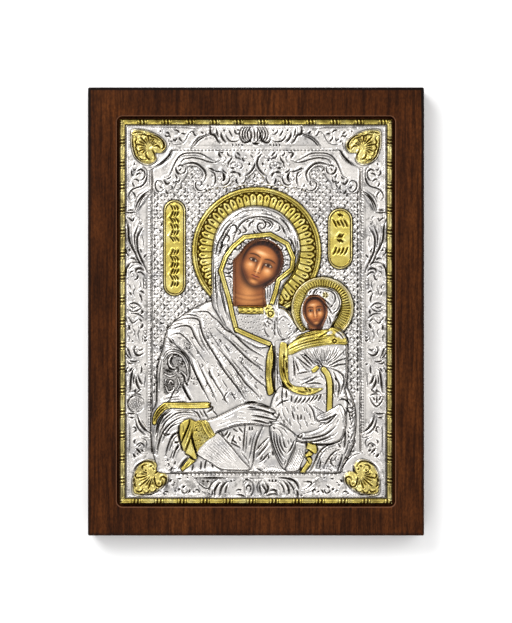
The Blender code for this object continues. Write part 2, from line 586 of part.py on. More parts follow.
def build_cover(parts, material):
    """The chased sheet: everything raised is joined to it, then its back and two faces are cut."""
    outline = rounded_rectangle(COVER_WIDTH, COVER_HEIGHT, COVER_CORNER, 4)
    cover = pad("silver_cover", outline, COVER_BACK - SHEET_THICK, GROUND, parts)
    cover.data.materials.append(material)

    shapes = make_collection("chased_shapes")
    build_edging(shapes)
    for mark, across_x, across_y in (
        ("top_left", False, False), ("top_right", True, False),
        ("bottom_left", False, True), ("bottom_right", True, True),
    ):
        build_corner(shapes, mark, across_x, across_y)
    for across_x in (False, True):
        build_side_border(shapes, across_x)
    for across_y in (False, True):
        build_end_ornament(shapes, across_y)
    build_upper_scrolls(shapes)
    field_line = [(-56.6, -86.8), (-56.6, 86.8), (56.6, 86.8), (56.6, -86.8)]
    ridge("field_line", field_line, GROUND, 1.1, shapes, 1, True)

    build_halo(shapes, "mother_halo", (0.3, 32.0), 34.8, 2.6, 32, 40, HALO_RISE)
    build_halo(shapes, "child_halo", (35.5, 1.8), 17.0, 1.6, 20, 28, HALO_RISE + 0.4)
    build_cartouche(shapes, "cartouche_left", -49.5, -37.5, 8.0, 59.8)
    build_cartouche(shapes, "cartouche_right", 38.3, 51.8, 22.5, 55.3)
    column = [(-43.6, y) for y in (54.0, 49.5, 45.0, 40.5, 31.0, 26.5, 22.0, 17.5)]
    build_strokes(shapes, "stroke_left", column, 4.6, 0.9)
    rows = [(x, y) for y in (50.5, 46.5, 39.5, 32.0) for x in (42.6, 47.4)]
    build_strokes(shapes, "stroke_right", rows, 3.4, 0.7)

    build_mother(shapes)
    build_child(shapes)
    build_hems(shapes)
    build_folds(shapes)
    hide_tools(shapes)
    combine(cover, shapes, "UNION")

    trims = make_collection("cover_cutters")
    mother = face_opening((2.0, 25.6), 12.0, 13.8, 22.0, [(-10.6, 13.0), (-10.6, 3.2), (4.6, 3.2), (5.6, 12.0)])
    child = face_opening((31.6, 0.0), 6.5, 8.0, -6.0, [(28.2, -6.9), (28.6, -10.2), (35.0, -10.2), (35.2, -6.9)])
    pad("mother_face_cutter", mother, COVER_BACK - 3.0, GROUND + 6.0, trims)
    pad("child_face_cutter", child, COVER_BACK - 3.1, GROUND + 6.1, trims)
    slab = rounded_rectangle(COVER_WIDTH + 20.0, COVER_HEIGHT + 20.0, 1.0, 2)
    pad("back_cutter", slab, COVER_BACK - 4.0, COVER_BACK, trims)
    hide_tools(trims)
    combine(cover, trims, "DIFFERENCE")
    flats = cover.modifiers.new("merge_flat_faces", "DECIMATE")
    flats.decimate_type = "DISSOLVE"
    flats.angle_limit = math.radians(1.0)


for leftover in list(bpy.data.objects):
    bpy.data.objects.remove(leftover)

icon_parts = make_collection("silver_icon")
build_board(icon_parts, make_material("lacquered_wood", (0.075, 0.022, 0.009), 0.35, 0.0))
build_panel(icon_parts, make_material("painted_faces", (0.40, 0.16, 0.07), 0.5, 0.0))
build_cover(icon_parts, make_material("parcel_gilt_silver", (0.80, 0.78, 0.74), 0.3, 1.0))
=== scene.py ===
import math

import bmesh
import bpy
import numpy as np
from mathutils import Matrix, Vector


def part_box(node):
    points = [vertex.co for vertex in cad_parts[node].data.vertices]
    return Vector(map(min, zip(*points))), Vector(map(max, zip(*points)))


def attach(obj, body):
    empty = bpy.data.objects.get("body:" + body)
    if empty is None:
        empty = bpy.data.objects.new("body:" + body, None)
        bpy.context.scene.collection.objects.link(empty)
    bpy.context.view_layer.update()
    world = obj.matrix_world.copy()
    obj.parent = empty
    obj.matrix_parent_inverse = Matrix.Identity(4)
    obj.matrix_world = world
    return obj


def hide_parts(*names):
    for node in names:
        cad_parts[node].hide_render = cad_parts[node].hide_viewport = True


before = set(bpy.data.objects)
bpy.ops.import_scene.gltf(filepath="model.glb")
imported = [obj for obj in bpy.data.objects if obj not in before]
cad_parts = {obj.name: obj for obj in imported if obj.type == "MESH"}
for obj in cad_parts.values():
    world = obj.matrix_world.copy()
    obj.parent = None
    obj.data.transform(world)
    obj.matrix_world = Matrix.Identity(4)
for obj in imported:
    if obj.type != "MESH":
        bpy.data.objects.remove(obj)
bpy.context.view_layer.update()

bpy.ops.object.select_all(action="DESELECT")


# ---------------------------------------------------------------- wooden board
# A plain dark board, stained red-brown and lacquered to a soft gloss. Its edges are eased with sandpaper,
# and a router has sunk a flat recess with rounded corners and a softened lip into its front. A keyhole slot
# in its back takes the screw that it hangs on.
board_low, board_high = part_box("wooden_board")
board_size = board_high - board_low
recess_width, recess_height, recess_depth, recess_corner = 0.149, 0.209, 0.0034, 0.003


def finish_piece(piece, name, material, slot_name, *nodes):
    """Names a finished piece, fixes its place, gives it its material and joins it to the frame."""
    piece.name = name
    bpy.ops.object.select_all(action="DESELECT")
    piece.select_set(True)
    bpy.context.view_layer.objects.active = piece
    bpy.ops.object.transform_apply(location=True, rotation=True, scale=True)
    piece.data.materials.clear()
    piece.data.materials.append(material)
    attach(piece, "root")
    if nodes:
        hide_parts(*nodes)
    bpy.ops.object.select_all(action="DESELECT")


def apply_modifiers(piece):
    """Applies every modifier of a piece, in order."""
    bpy.context.view_layer.objects.active = piece
    for modifier in list(piece.modifiers):
        bpy.ops.object.modifier_apply(modifier=modifier.name)


def rounded_block(width, height, low, high, corner, segments=10):
    """A block with rounded upright edges, to cut a recess with."""
    bpy.ops.mesh.primitive_cube_add(size=1.0, location=(0.0, 0.0, (low + high) / 2))
    block = bpy.context.object
    block.scale = (width, height, high - low)
    bpy.ops.object.transform_apply(scale=True)
    bpy.ops.object.mode_set(mode="EDIT")
    bpy.ops.mesh.select_mode(type="EDGE")
    bpy.ops.mesh.select_all(action="DESELECT")
    shape = bmesh.from_edit_mesh(block.data)
    for edge in shape.edges:
        a, b = edge.verts
        if math.hypot(a.co.x - b.co.x, a.co.y - b.co.y) < 1e-6:
            edge.select_set(True)
    bmesh.update_edit_mesh(block.data)
    bpy.ops.mesh.bevel(offset=corner, segments=segments, affect="EDGES")
    bpy.ops.mesh.select_mode(type="VERT")
    bpy.ops.object.mode_set(mode="OBJECT")
    return block


def cut_away(piece, cutter):
    """Cuts one shape out of a piece, then throws the cutter away."""
    cut = piece.modifiers.new("cut", "BOOLEAN")
    cut.operation = "DIFFERENCE"
    cut.solver = "EXACT"
    cut.object = cutter
    apply_modifiers(piece)
    bpy.data.objects.remove(cutter)


bpy.ops.mesh.primitive_cube_add(size=1.0, location=(board_low + board_high) / 2)
board = bpy.context.object
board.scale = board_size
bpy.ops.object.transform_apply(scale=True)
recess_floor = board_high.z - recess_depth
cut_away(board, rounded_block(recess_width, recess_height, recess_floor, board_high.z + 0.004, recess_corner))


def ease_edges(piece, width, segments):
    """Rounds every sharp edge of a piece, as sandpaper does."""
    soften = piece.modifiers.new("eased_edges", "BEVEL")
    soften.width = width
    soften.segments = segments
    soften.limit_method = "ANGLE"
    soften.angle_limit = math.radians(40)
    soften.harden_normals = False
    apply_modifiers(piece)


ease_edges(board, 0.0009, 4)

keyhole_y, slot_length = 0.088, 0.012
bpy.ops.mesh.primitive_cylinder_add(vertices=48, radius=0.005, depth=0.014, location=(0.0, keyhole_y, 0.0))
cut_away(board, bpy.context.object)
for slot_width, slot_low, slot_high in ((0.005, -0.001, 0.0065), (0.0099, 0.003, 0.00675)):
    slot_cutter = rounded_block(slot_width, slot_length + slot_width, slot_low, slot_high, slot_width / 2.02)
    slot_cutter.location.y = keyhole_y + slot_length / 2
    cut_away(board, slot_cutter)
ease_edges(board, 0.0001, 1)

# Fine lines near the outer edges bound the painted shade there.
bpy.ops.object.mode_set(mode="EDIT")
for inset in (0.0013, 0.0018):
    for facing in ((1, 0, 0), (-1, 0, 0), (0, 1, 0), (0, -1, 0), (0, 0, 1)):
        side = Vector(facing)
        corner = board_high if sum(facing) > 0 else board_low
        bpy.ops.mesh.select_all(action="SELECT")
        bpy.ops.mesh.bisect(plane_co=corner - side * inset, plane_no=side)
bpy.ops.object.mode_set(mode="OBJECT")
board.data.shade_smooth()
bpy.ops.object.shade_smooth_by_angle(angle=math.radians(35))

# Painted light on the lacquer: 1 for a painted highlight on the lip of the recess, and down to -1 for painted
# shade at the outer edges.
edge_shade_width, edge_shade_fade = 0.0018, 0.0005
lip_top, lip_foot = 0.0002, 0.0007
rubbed_and_painted_light = board.data.attributes.new("rubbed_and_painted_light", "FLOAT", "POINT")
for vertex, mark in zip(board.data.vertices, rubbed_and_painted_light.data):
    drop = board_high.z - vertex.co.z
    from_side = min(board_high.x - abs(vertex.co.x), board_high.y - abs(vertex.co.y))
    at_foot = vertex.co.y < board_low.y + edge_shade_width + 0.0001
    stain_and_edge_shade = max(0.0, min(1.0, (edge_shade_width - max(from_side, drop)) / edge_shade_fade))
    mark.value = -stain_and_edge_shade * (0.5 if at_foot else 1.0)
    if from_side > 0.01 and lip_top < drop < lip_foot:
        mark.value = 1.0


def new_material(name, roughness=0.5, metallic=0.0):
    """A material with its shader and its node tools: (material, nodes, links, shader)."""
    material = bpy.data.materials.new(name)
    material.use_nodes = True
    nodes, links = material.node_tree.nodes, material.node_tree.links
    shader = nodes["Principled BSDF"]
    shader.inputs["Roughness"].default_value = roughness
    shader.inputs["Metallic"].default_value = metallic
    return material, nodes, links, shader


def laid_noise_group():
    """A node group: noise laid on Object coordinates and drawn out along the axes by Stretch."""
    group = bpy.data.node_groups.new("laid_noise", "ShaderNodeTree")
    kinds = {"Stretch": "NodeSocketVector"}
    for label in ("Stretch", "Scale", "Detail", "Roughness", "Distortion"):
        kind = kinds.get(label, "NodeSocketFloat")
        group.interface.new_socket(label, in_out="INPUT", socket_type=kind)
    group.interface.new_socket("Noise", in_out="OUTPUT", socket_type="NodeSocketFloat")
    nodes, links = group.nodes, group.links
    given = nodes.new("NodeGroupInput")
    result = nodes.new("NodeGroupOutput")
    place = nodes.new("ShaderNodeTexCoord")
    mapping = nodes.new("ShaderNodeMapping")
    noise = nodes.new("ShaderNodeTexNoise")
    links.new(place.outputs["Object"], mapping.inputs["Vector"])
    links.new(given.outputs["Stretch"], mapping.inputs["Scale"])
    links.new(mapping.outputs["Vector"], noise.inputs["Vector"])
    for label in ("Scale", "Detail", "Roughness", "Distortion"):
        links.new(given.outputs[label], noise.inputs[label])
    links.new(noise.outputs["Fac"], result.inputs["Noise"])
    return group


laid_noise = laid_noise_group()


def noise_on(nodes, scale, stretch, detail, roughness=0.55, distortion=0.0):
    """The laid noise placed in a material, with its own values."""
    placed = nodes.new("ShaderNodeGroup")
    placed.node_tree = laid_noise
    placed.inputs["Stretch"].default_value = stretch
    placed.inputs["Scale"].default_value = scale
    placed.inputs["Detail"].default_value = detail
    placed.inputs["Roughness"].default_value = roughness
    placed.inputs["Distortion"].default_value = distortion
    return placed.outputs["Noise"]


def colour_ramp(nodes, links, factor, *stops):
    """A colour ramp through (place, colour) stops."""
    ramp = nodes.new("ShaderNodeValToRGB")
    while len(ramp.color_ramp.elements) < len(stops):
        ramp.color_ramp.elements.new(0.5)
    for element, (place, colour) in zip(ramp.color_ramp.elements, stops):
        element.position = place
        element.color = (*colour, 1.0)
    links.new(factor, ramp.inputs["Fac"])
    return ramp.outputs["Color"]


def mix_colours(nodes, links, factor, a, b, blend="MIX"):
    """Two colours mixed; each may be a socket or a plain colour."""
    mix = nodes.new("ShaderNodeMix")
    mix.data_type = "RGBA"
    mix.blend_type = blend
    for value, socket in ((factor, mix.inputs[0]), (a, mix.inputs[6]), (b, mix.inputs[7])):
        if isinstance(value, (int, float)):
            socket.default_value = value
        elif isinstance(value, tuple):
            socket.default_value = (*value, 1.0)
        else:
            links.new(value, socket)
    return mix.outputs[2]


def new_range(nodes, links, value, from_low, from_high, to_low, to_high):
    """A value moved from one range to another."""
    moved = nodes.new("ShaderNodeMapRange")
    moved.inputs["From Min"].default_value = from_low
    moved.inputs["From Max"].default_value = from_high
    moved.inputs["To Min"].default_value = to_low
    moved.inputs["To Max"].default_value = to_high
    links.new(value, moved.inputs["Value"])
    return moved.outputs["Result"]


def fine_bump(nodes, links, shader, height, strength, distance):
    """Lets a height stand out a little on a material."""
    bump = nodes.new("ShaderNodeBump")
    bump.inputs["Strength"].default_value = strength
    bump.inputs["Distance"].default_value = distance
    links.new(height, bump.inputs["Height"])
    links.new(bump.outputs["Normal"], shader.inputs["Normal"])


wood, nodes, links, shader = new_material("lacquered_wood", 0.42)
grain = noise_on(nodes, 560.0, (1.0, 0.055, 1.0), 6.0, 0.62)
bands = noise_on(nodes, 38.0, (1.0, 0.30, 1.0), 3.0, 0.55, 0.6)
ripple = noise_on(nodes, 120.0, (0.25, 1.0, 1.0), 2.0, 0.5, 0.4)
pores = noise_on(nodes, 1300.0, (1.0, 0.45, 1.0), 2.0, 0.5)
stain_and_edge_shade = colour_ramp(
    nodes, links, bands,
    (0.30, (0.040, 0.0106, 0.0020)), (0.52, (0.055, 0.0149, 0.0028)), (0.72, (0.072, 0.0206, 0.0042))
)
fine = colour_ramp(nodes, links, grain, (0.38, (0.34, 0.32, 0.30)), (0.60, (1.28, 1.28, 1.28)))
soft = colour_ramp(nodes, links, ripple, (0.30, (0.82, 0.82, 0.82)), (0.70, (1.14, 1.14, 1.14)))
pored = colour_ramp(nodes, links, pores, (0.40, (0.58, 0.56, 0.54)), (0.60, (1.16, 1.16, 1.16)))
wood_colour = mix_colours(nodes, links, 0.85, stain_and_edge_shade, fine, "MULTIPLY")
wood_colour = mix_colours(nodes, links, 0.7, wood_colour, pored, "MULTIPLY")
wood_colour = mix_colours(nodes, links, 0.8, wood_colour, soft, "MULTIPLY")
# A painted highlight makes the lacquer paler on the lip of the recess, and painted shade lies almost black at
# the outer edges.
edges = nodes.new("ShaderNodeAttribute")
edges.attribute_name = "rubbed_and_painted_light"
painted_lip_highlight = new_range(nodes, links, edges.outputs["Fac"], 0.0, 1.0, 0.0, 0.62)
painted_edge_shade = new_range(nodes, links, edges.outputs["Fac"], 0.0, -1.0, 0.0, 0.96)
wood_colour = mix_colours(nodes, links, painted_lip_highlight, wood_colour, (0.30, 0.135, 0.075))
wood_colour = mix_colours(nodes, links, painted_edge_shade, wood_colour, (0.003, 0.0012, 0.0008))
links.new(wood_colour, shader.inputs["Base Color"])
shader.inputs["Specular IOR Level"].default_value = 0.06
fine_bump(nodes, links, shader, grain, 0.12, 0.0002)
finish_piece(board, "board", wood, "lacquered_wood", "wooden_board")


# ---------------------------------------------------------------- painted panel
# A thin sheet under the silver, painted only where the two face openings show it. Each face is laid in
# with thin layers, from a dark ground to light touches, in the flat manner of such panels.
MM = 0.001
panel_low, panel_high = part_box("painted_panel")


def mound(u, v, cu, cv, wide, high):
    """A soft round spot of 1 at its centre."""
    return np.exp(-(((u - cu) / wide) ** 2) - ((v - cv) / high) ** 2)


def blend_in(colour, mask, tint):
    """Glazes a tint over a colour by a mask from 0 to 1."""
    return colour * (1 - mask[..., None]) + np.array(tint) * mask[..., None]


def soft_step(value, low, high):
    """A smooth step from 0 at the low limit to 1 at the high one."""
    t = np.clip((value - low) / (high - low), 0, 1)
    return t * t * (3 - 2 * t)


def painted_face(x, y, centre, half_width, half_height, tilt):
    """Colours of one face, worked out from its own middle line and the common thirds of a face."""
    turn = math.radians(tilt)
    u = ((x - centre[0]) * math.cos(turn) - (y - centre[1]) * math.sin(turn)) / half_width
    v = ((x - centre[0]) * math.sin(turn) + (y - centre[1]) * math.cos(turn)) / half_height
    dark, umber, flesh = (0.014, 0.004, 0.003), (0.075, 0.018, 0.006), (0.40, 0.125, 0.032)
    light, bright = (0.76, 0.32, 0.100), (1.0, 0.66, 0.36)
    red, white = (0.27, 0.040, 0.018), (0.60, 0.44, 0.32)
    colour = np.ones((*x.shape, 3)) * np.array(umber)

    # Neck first, then the head over it, with its shadow on the neck.
    neck = soft_step(0.72 - np.abs((x - centre[0]) / half_width + 0.50), 0.0, 0.20)
    colour = blend_in(colour, neck * 0.9, (0.27, 0.085, 0.024))
    colour = blend_in(colour, neck * mound(x, y, centre[0] - 0.55 * half_width,
                                           centre[1] - 1.25 * half_height, 0.30 * half_width,
                                           0.5 * half_height) * 0.6, light)
    for fold in (1.30, 1.48):
        crease = (y - centre[1]) / half_height + fold - 0.30 * ((x - centre[0]) / half_width + 0.4) ** 2
        colour = blend_in(colour, neck * np.exp(-((crease / 0.045) ** 2)) * 0.35, umber)
        colour = blend_in(colour, neck * np.exp(-(((crease + 0.10) / 0.07) ** 2)) * 0.22, light)

    jaw = 0.86 - 0.10 * np.clip(-v, 0, 1) - 0.36 * np.clip(-v - 0.15, 0, 1) ** 1.6
    head = soft_step(1.0 - np.hypot(u / np.clip(jaw, 0.2, 2), (v - 0.05) / 0.99), 0.0, 0.06)
    under_chin = soft_step(1.22 - np.hypot(u / 0.8, (v - 0.02) / 1.02), 0.0, 0.3)
    colour = blend_in(colour, under_chin * (1 - head) * 0.85, dark)
    rim = np.hypot(u / np.clip(jaw, 0.2, 2), (v - 0.05) / 0.99)
    skin = np.ones_like(colour) * np.array(flesh)
    skin = blend_in(skin, soft_step(rim, 0.60, 0.96) * 0.97, umber)
    skin = blend_in(skin, soft_step(u, -0.1, 0.95) * 0.42, umber)

    # Light touches on brow, nose, cheeks, lip and chin.
    skin = blend_in(skin, mound(u, v, -0.06, 0.44, 0.34, 0.13) * 0.85, light)
    skin = blend_in(skin, mound(u, v, -0.14, 0.46, 0.20, 0.06) * 0.70, bright)
    for side in (-1, 1):
        skin = blend_in(skin, mound(u, v, side * 0.40, -0.20, 0.19, 0.16) * 0.85, light)
        skin = blend_in(skin, mound(u, v, side * 0.39, -0.13, 0.10, 0.07) * 0.50, bright)
        skin = blend_in(skin, mound(u, v, side * 0.34, 0.10, 0.27, 0.13) * 0.80, umber)
        skin = blend_in(skin, mound(u, v, side * 0.34, 0.155, 0.17, 0.035) * 0.60, light)
        skin = blend_in(skin, mound(u, v, side * 0.145, -0.05, 0.05, 0.20) * (0.95 if side > 0 else 0.62),
                        dark)
    skin = blend_in(skin, mound(u, v, 0.0, -0.76, 0.16, 0.08) * 0.80, light)
    skin = blend_in(skin, mound(u, v, -0.01, -0.03, 0.055, 0.27) * 0.90, light)
    skin = blend_in(skin, mound(u, v, -0.015, -0.20, 0.030, 0.16) * 0.85, bright)
    skin = blend_in(skin, mound(u, v, 0.0, -0.305, 0.085, 0.050) * 0.75, light)
    skin = blend_in(skin, mound(u, v, 0.0, -0.640, 0.17, 0.045) * 0.85, umber)

    # Brows, lids, eyes, nostrils and a closed mouth.
    for side in (-1, 1):
        du = u * side - 0.35
        brow = 0.265 + 0.055 * (1 - (du / 0.27) ** 2)
        thick = 0.046 * np.clip(1 - np.abs(du / 0.29) ** 3, 0, 1)
        skin = blend_in(skin, np.exp(-((v - brow) / (thick + 1e-4)) ** 2) * (np.abs(du) < 0.28) * 0.92, dark)
        upper = 0.070 + 0.075 * (1 - (du / 0.175) ** 2)
        lower = 0.070 - 0.050 * (1 - (du / 0.175) ** 2)
        opened = (np.abs(du) < 0.175) * soft_step(v - lower, 0.0, 0.012) * soft_step(upper - v, 0.0, 0.012)
        skin = blend_in(skin, opened, white)
        iris = np.hypot(du * half_width, (v - 0.078) * half_height) / half_height
        skin = blend_in(skin, opened * soft_step(0.084 - iris, 0.0, 0.014), (0.045, 0.014, 0.007))
        skin = blend_in(skin, opened * soft_step(0.038 - iris, 0.0, 0.012), (0.008, 0.004, 0.003))
        near_lid = np.abs(du) < 0.195
        skin = blend_in(skin, np.exp(-((v - upper - 0.010) / 0.032) ** 2) * near_lid * 0.97, dark)
        skin = blend_in(skin, np.exp(-((v - lower + 0.006) / 0.017) ** 2) * near_lid * 0.75, dark)
        skin = blend_in(skin, np.exp(-((v - upper - 0.055) / 0.011) ** 2) * (np.abs(du) < 0.17) * 0.55, umber)
        skin = blend_in(skin, mound(u, v, side * 0.072, -0.350, 0.045, 0.024) * 0.95, dark)
        wing = np.exp(-((np.hypot((u - side * 0.115) / 0.045, (v + 0.315) / 0.040) - 1) / 0.30) ** 2)
        skin = blend_in(skin, wing * (u * side > 0.115) * 0.60, umber)
    lips = 1 - (u / 0.185) ** 2
    line = -0.520 - 0.008 * np.cos(u * 26)
    top_lip = line + 0.042 * np.clip(lips, 0, 1) * (1 - 0.35 * mound(u, v, 0, -0.48, 0.04, 0.2))
    low_lip = line - 0.055 * np.clip(lips, 0, 1) ** 0.7
    within = (lips > 0) * soft_step(top_lip - v, 0.0, 0.012) * soft_step(v - low_lip, 0.0, 0.012)
    skin = blend_in(skin, within * 0.92, red)
    skin = blend_in(skin, within * mound(u, v, -0.02, -0.548, 0.09, 0.016) * 0.6, (0.62, 0.20, 0.12))
    skin = blend_in(skin, np.exp(-((v - line) / 0.017) ** 2) * (np.abs(u) < 0.195) * 0.95, dark)

    # Hair at the edge of the cap, over the brow and beside the cheeks.
    hair = soft_step(rim + 0.16 * soft_step(v, 0.45, 0.95), 0.80, 0.96) * soft_step(v, -0.25, 0.2)
    skin = blend_in(skin, hair * 0.96, dark)
    parting = np.sin(26 * np.arctan2(v - 0.1, u)) * soft_step(v, 0.2, 0.6)
    skin = blend_in(skin, hair * soft_step(parting, 0.2, 0.9) * 0.5, umber)
    return blend_in(colour, head, (0, 0, 0)) + skin * head[..., None]


def fine_lines(low, high, fine_low, fine_high, fine, coarse):
    """Places of grid lines between two limits, close together in the fine stretch and wide elsewhere."""
    def stretch(a, b, step):
        """Even lines from one place up to, but not on, the next."""
        return np.linspace(a, b, max(int(round((b - a) / step)), 1), endpoint=False)
    return np.concatenate([stretch(low, fine_low, coarse), stretch(fine_low, fine_high, fine),
                           stretch(fine_high, high, coarse), [high]])


def read_triples(items, label):
    """Three numbers of each item of a mesh, such as the places of its vertices."""
    values = np.empty(len(items) * 3)
    items.foreach_get(label, values)
    return values.reshape(-1, 3)


def grid_numbers(grid, wide, tall):
    """Column and row numbers of the points of a fresh grid primitive, 1 across."""
    place = read_triples(grid.data.vertices, "co")
    return np.rint((place[:, 0] + 0.5) * wide).astype(int), np.rint((place[:, 1] + 0.5) * tall).astype(int)


def place_on_lines(grid, line_x, line_y, height):
    """Moves the points of a fresh grid primitive onto uneven lines, at one height."""
    column, row = grid_numbers(grid, len(line_x) - 1, len(line_y) - 1)
    place = np.column_stack([line_x[column], line_y[row], np.full(len(row), height)])
    grid.data.vertices.foreach_set("co", (place * MM).ravel())
    return place


mother_face = ((2.2, 25.2), 12.2, 12.9, 22.0)
child_face = ((31.6, 0), 6.5, 8.0, -6.0)
panel_half_x, panel_half_y = panel_high.x / MM, panel_high.y / MM
fine_gap, coarse_gap = 0.19, 9.0
line_x = fine_lines(-panel_half_x, panel_half_x, -12.5, 40.5, fine_gap, coarse_gap)
line_y = fine_lines(-panel_half_y, panel_half_y, -12.5, 41.0, fine_gap, coarse_gap)
bpy.ops.mesh.primitive_grid_add(x_subdivisions=len(line_x) - 1, y_subdivisions=len(line_y) - 1, size=1.0)
painted = bpy.context.object
place = place_on_lines(painted, line_x, line_y, panel_high.z / MM)
colour = painted_face(place[:, 0], place[:, 1], *mother_face)
by_child = place[:, 0] > 22.0
colour[by_child] = painted_face(place[by_child, 0], place[by_child, 1], *child_face)
attribute = painted.data.attributes.new("paint", "FLOAT_COLOR", "POINT")
attribute.data.foreach_set("color", np.column_stack([colour, np.ones(len(colour))]).ravel())


def close_below(sheet, floor_height):
    """Draws the rim of an open sheet straight down to a flat underside and closes it."""
    bpy.ops.object.mode_set(mode="EDIT")
    bpy.ops.mesh.select_all(action="DESELECT")
    shape = bmesh.from_edit_mesh(sheet.data)
    for edge in shape.edges:
        edge.select = edge.is_boundary
    bmesh.update_edit_mesh(sheet.data)
    bpy.ops.mesh.extrude_region_move()
    shape = bmesh.from_edit_mesh(sheet.data)
    for vertex in shape.verts:
        if vertex.select:
            vertex.co.z = floor_height
    bmesh.update_edit_mesh(sheet.data)
    bpy.ops.mesh.edge_face_add()
    bpy.ops.mesh.select_all(action="SELECT")
    bpy.ops.mesh.normals_make_consistent(inside=False)
    bpy.ops.object.mode_set(mode="OBJECT")


def flat_layout(piece):
    """A UV map that looks straight down on the piece, so that its colours can be baked evenly."""
    layout = piece.data.uv_layers.new(name="OFBake")
    corner = np.empty(len(piece.data.loops), int)
    piece.data.loops.foreach_get("vertex_index", corner)
    place = read_triples(piece.data.vertices, "co")[:, :2]
    low, span = place.min(0), np.ptp(place, axis=0)
    layout.data.foreach_set("uv", ((place[corner] - low) / span * 0.98 + 0.01).ravel())


close_below(painted, panel_low.z)
flat_layout(painted)

paint, nodes, links, shader = new_material("painted_faces", 0.42)
brushed = nodes.new("ShaderNodeAttribute")
brushed.attribute_name = "paint"
craze = noise_on(nodes, 1500.0, (1.0, 1.0, 1.0), 3.0)
wear = colour_ramp(nodes, links, craze, (0.35, (0.84, 0.84, 0.84)), (0.65, (1.08, 1.08, 1.08)))
links.new(mix_colours(nodes, links, 0.6, brushed.outputs["Color"], wear, "MULTIPLY"),
          shader.inputs["Base Color"])
fine_bump(nodes, links, shader, craze, 0.2, 0.0001)
shader.inputs["Specular IOR Level"].default_value = 0.25
finish_piece(painted, "painted_sheet", paint, "painted_faces", "painted_panel")


# ---------------------------------------------------------------- silver cover: the sheet
# One thin sheet of silver, chased from the front and pushed up from behind, partly gilded, its hollows
# darkened with oxide. Here it is a fine level net over the whole cover. Form is the broad shape pushed up
# from behind, chasing is the fine work, and gilding, oxide and painted shade are the finish, all in
# millimetres.
cover_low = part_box("silver_cover")[0]
sheet_width, sheet_height, spacing = 146.0, 206.0, 0.25
columns = int(sheet_width / spacing)
rows = int(sheet_height / spacing)
across, up = np.meshgrid(
    np.linspace(-sheet_width / 2, sheet_width / 2, columns + 1),
    np.linspace(-sheet_height / 2, sheet_height / 2, rows + 1),
)
form, chasing, gilding, oxide_and_shade = (np.zeros(across.shape) for _ in range(4))


def through(points, closed=False, step=0.45):
    """A smooth curve through a few given points."""
    p = np.array(points, float)
    if closed:
        p = np.vstack([p[-1:], p, p[:2]])
    else:
        p = np.vstack([2 * p[:1] - p[1:2], p, 2 * p[-1:] - p[-2:-1]])
    runs = []
    for a, b, c, d in zip(p, p[1:], p[2:], p[3:]):
        t = np.linspace(0, 1, max(int(np.hypot(*(c - b)) / step), 2), endpoint=False)[:, None]
        curve = 2 * b + (c - a) * t + (2 * a - 5 * b + 4 * c - d) * t**2 + (3 * b - a - 3 * c + d) * t**3
        runs.append(0.5 * curve)
    return np.vstack(runs + [p[-2:-1]])


def near(path, reach):
    """In a window round a path: how far each place is from it, how far along it and on which side."""
    edge = np.array([sheet_width, sheet_height]) / 2
    low = np.clip(((path.min(0) - reach + edge) / spacing).astype(int), 0, None)
    high = ((path.max(0) + reach + edge) / spacing).astype(int) + 2
    window = np.s_[low[1]:high[1], low[0]:high[0]]
    x, y = across[window], up[window]
    distance, along, side = np.full(x.shape, reach * 1.01), np.zeros(x.shape), np.ones(x.shape)
    lengths = np.hypot(*np.diff(path, axis=0).T)
    travelled = 0.0
    for a, b, run in zip(path, path[1:], lengths):
        if run < 1e-6:
            continue
        first = np.clip(((np.minimum(a, b) - reach + edge) / spacing).astype(int) - low, 0, None)
        last = ((np.maximum(a, b) + reach + edge) / spacing).astype(int) + 2 - low
        part = np.s_[first[1]:max(last[1], 0), first[0]:max(last[0], 0)]
        px, py = x[part] - a[0], y[part] - a[1]
        if px.size == 0:
            continue
        dx, dy = (b - a) / run
        t = np.clip(px * dx + py * dy, 0, run)
        qx, qy = px - t * dx, py - t * dy
        d = np.hypot(qx, qy)
        closer = d < distance[part]
        distance[part] = np.where(closer, d, distance[part])
        along[part] = np.where(closer, (travelled + t) / lengths.sum(), along[part])
        side[part] = np.where(closer, np.sign(dx * qy - dy * qx + 1e-12), side[part])
        travelled += run
    return window, distance, along, side


def enclosed(path, window):
    """Which places of a window lie inside a closed path."""
    x, y = across[window], up[window]
    inside = np.zeros(x.shape, bool)
    if x.size == 0:
        return inside
    level = y[:, 0]
    for a, b in zip(path, np.roll(path, -1, axis=0)):
        if a[1] == b[1]:
            continue
        passed = (a[1] > level) != (b[1] > level)
        crossing = a[0] + (b[0] - a[0]) * (level[passed] - a[1]) / (b[1] - a[1])
        inside[passed] ^= x[passed] < crossing[:, None]
    return inside


def taper(along, ends):
    """Full in the middle of a stroke and thinner at its two ends."""
    return np.interp(along, [0, 0.3, 0.7, 1], [ends[0], 1, 1, ends[1]])


def engrave(points, width=0.5, depth=0.22, dark=0.9, ends=(0.5, 0.5), lift=0.10, closed=False):
    """A dark line cut with the graver, finer at its ends, with metal pushed up on both its sides."""
    window, distance, along = near(through(points, closed), width * 3 + 0.3)[:3]
    swell = np.ones(along.shape) if closed else taper(along, ends)
    cut = np.clip(1.7 * np.exp(-((distance / (0.66 * width * swell)) ** 2)) - 0.25, 0, 1) * np.sqrt(swell)
    chasing[window] += lift * swell * np.exp(-(((distance - 1.5 * width) / (0.8 * width)) ** 2))
    chasing[window] -= depth * cut
    oxide_and_shade[window] = np.maximum(oxide_and_shade[window], dark * cut)


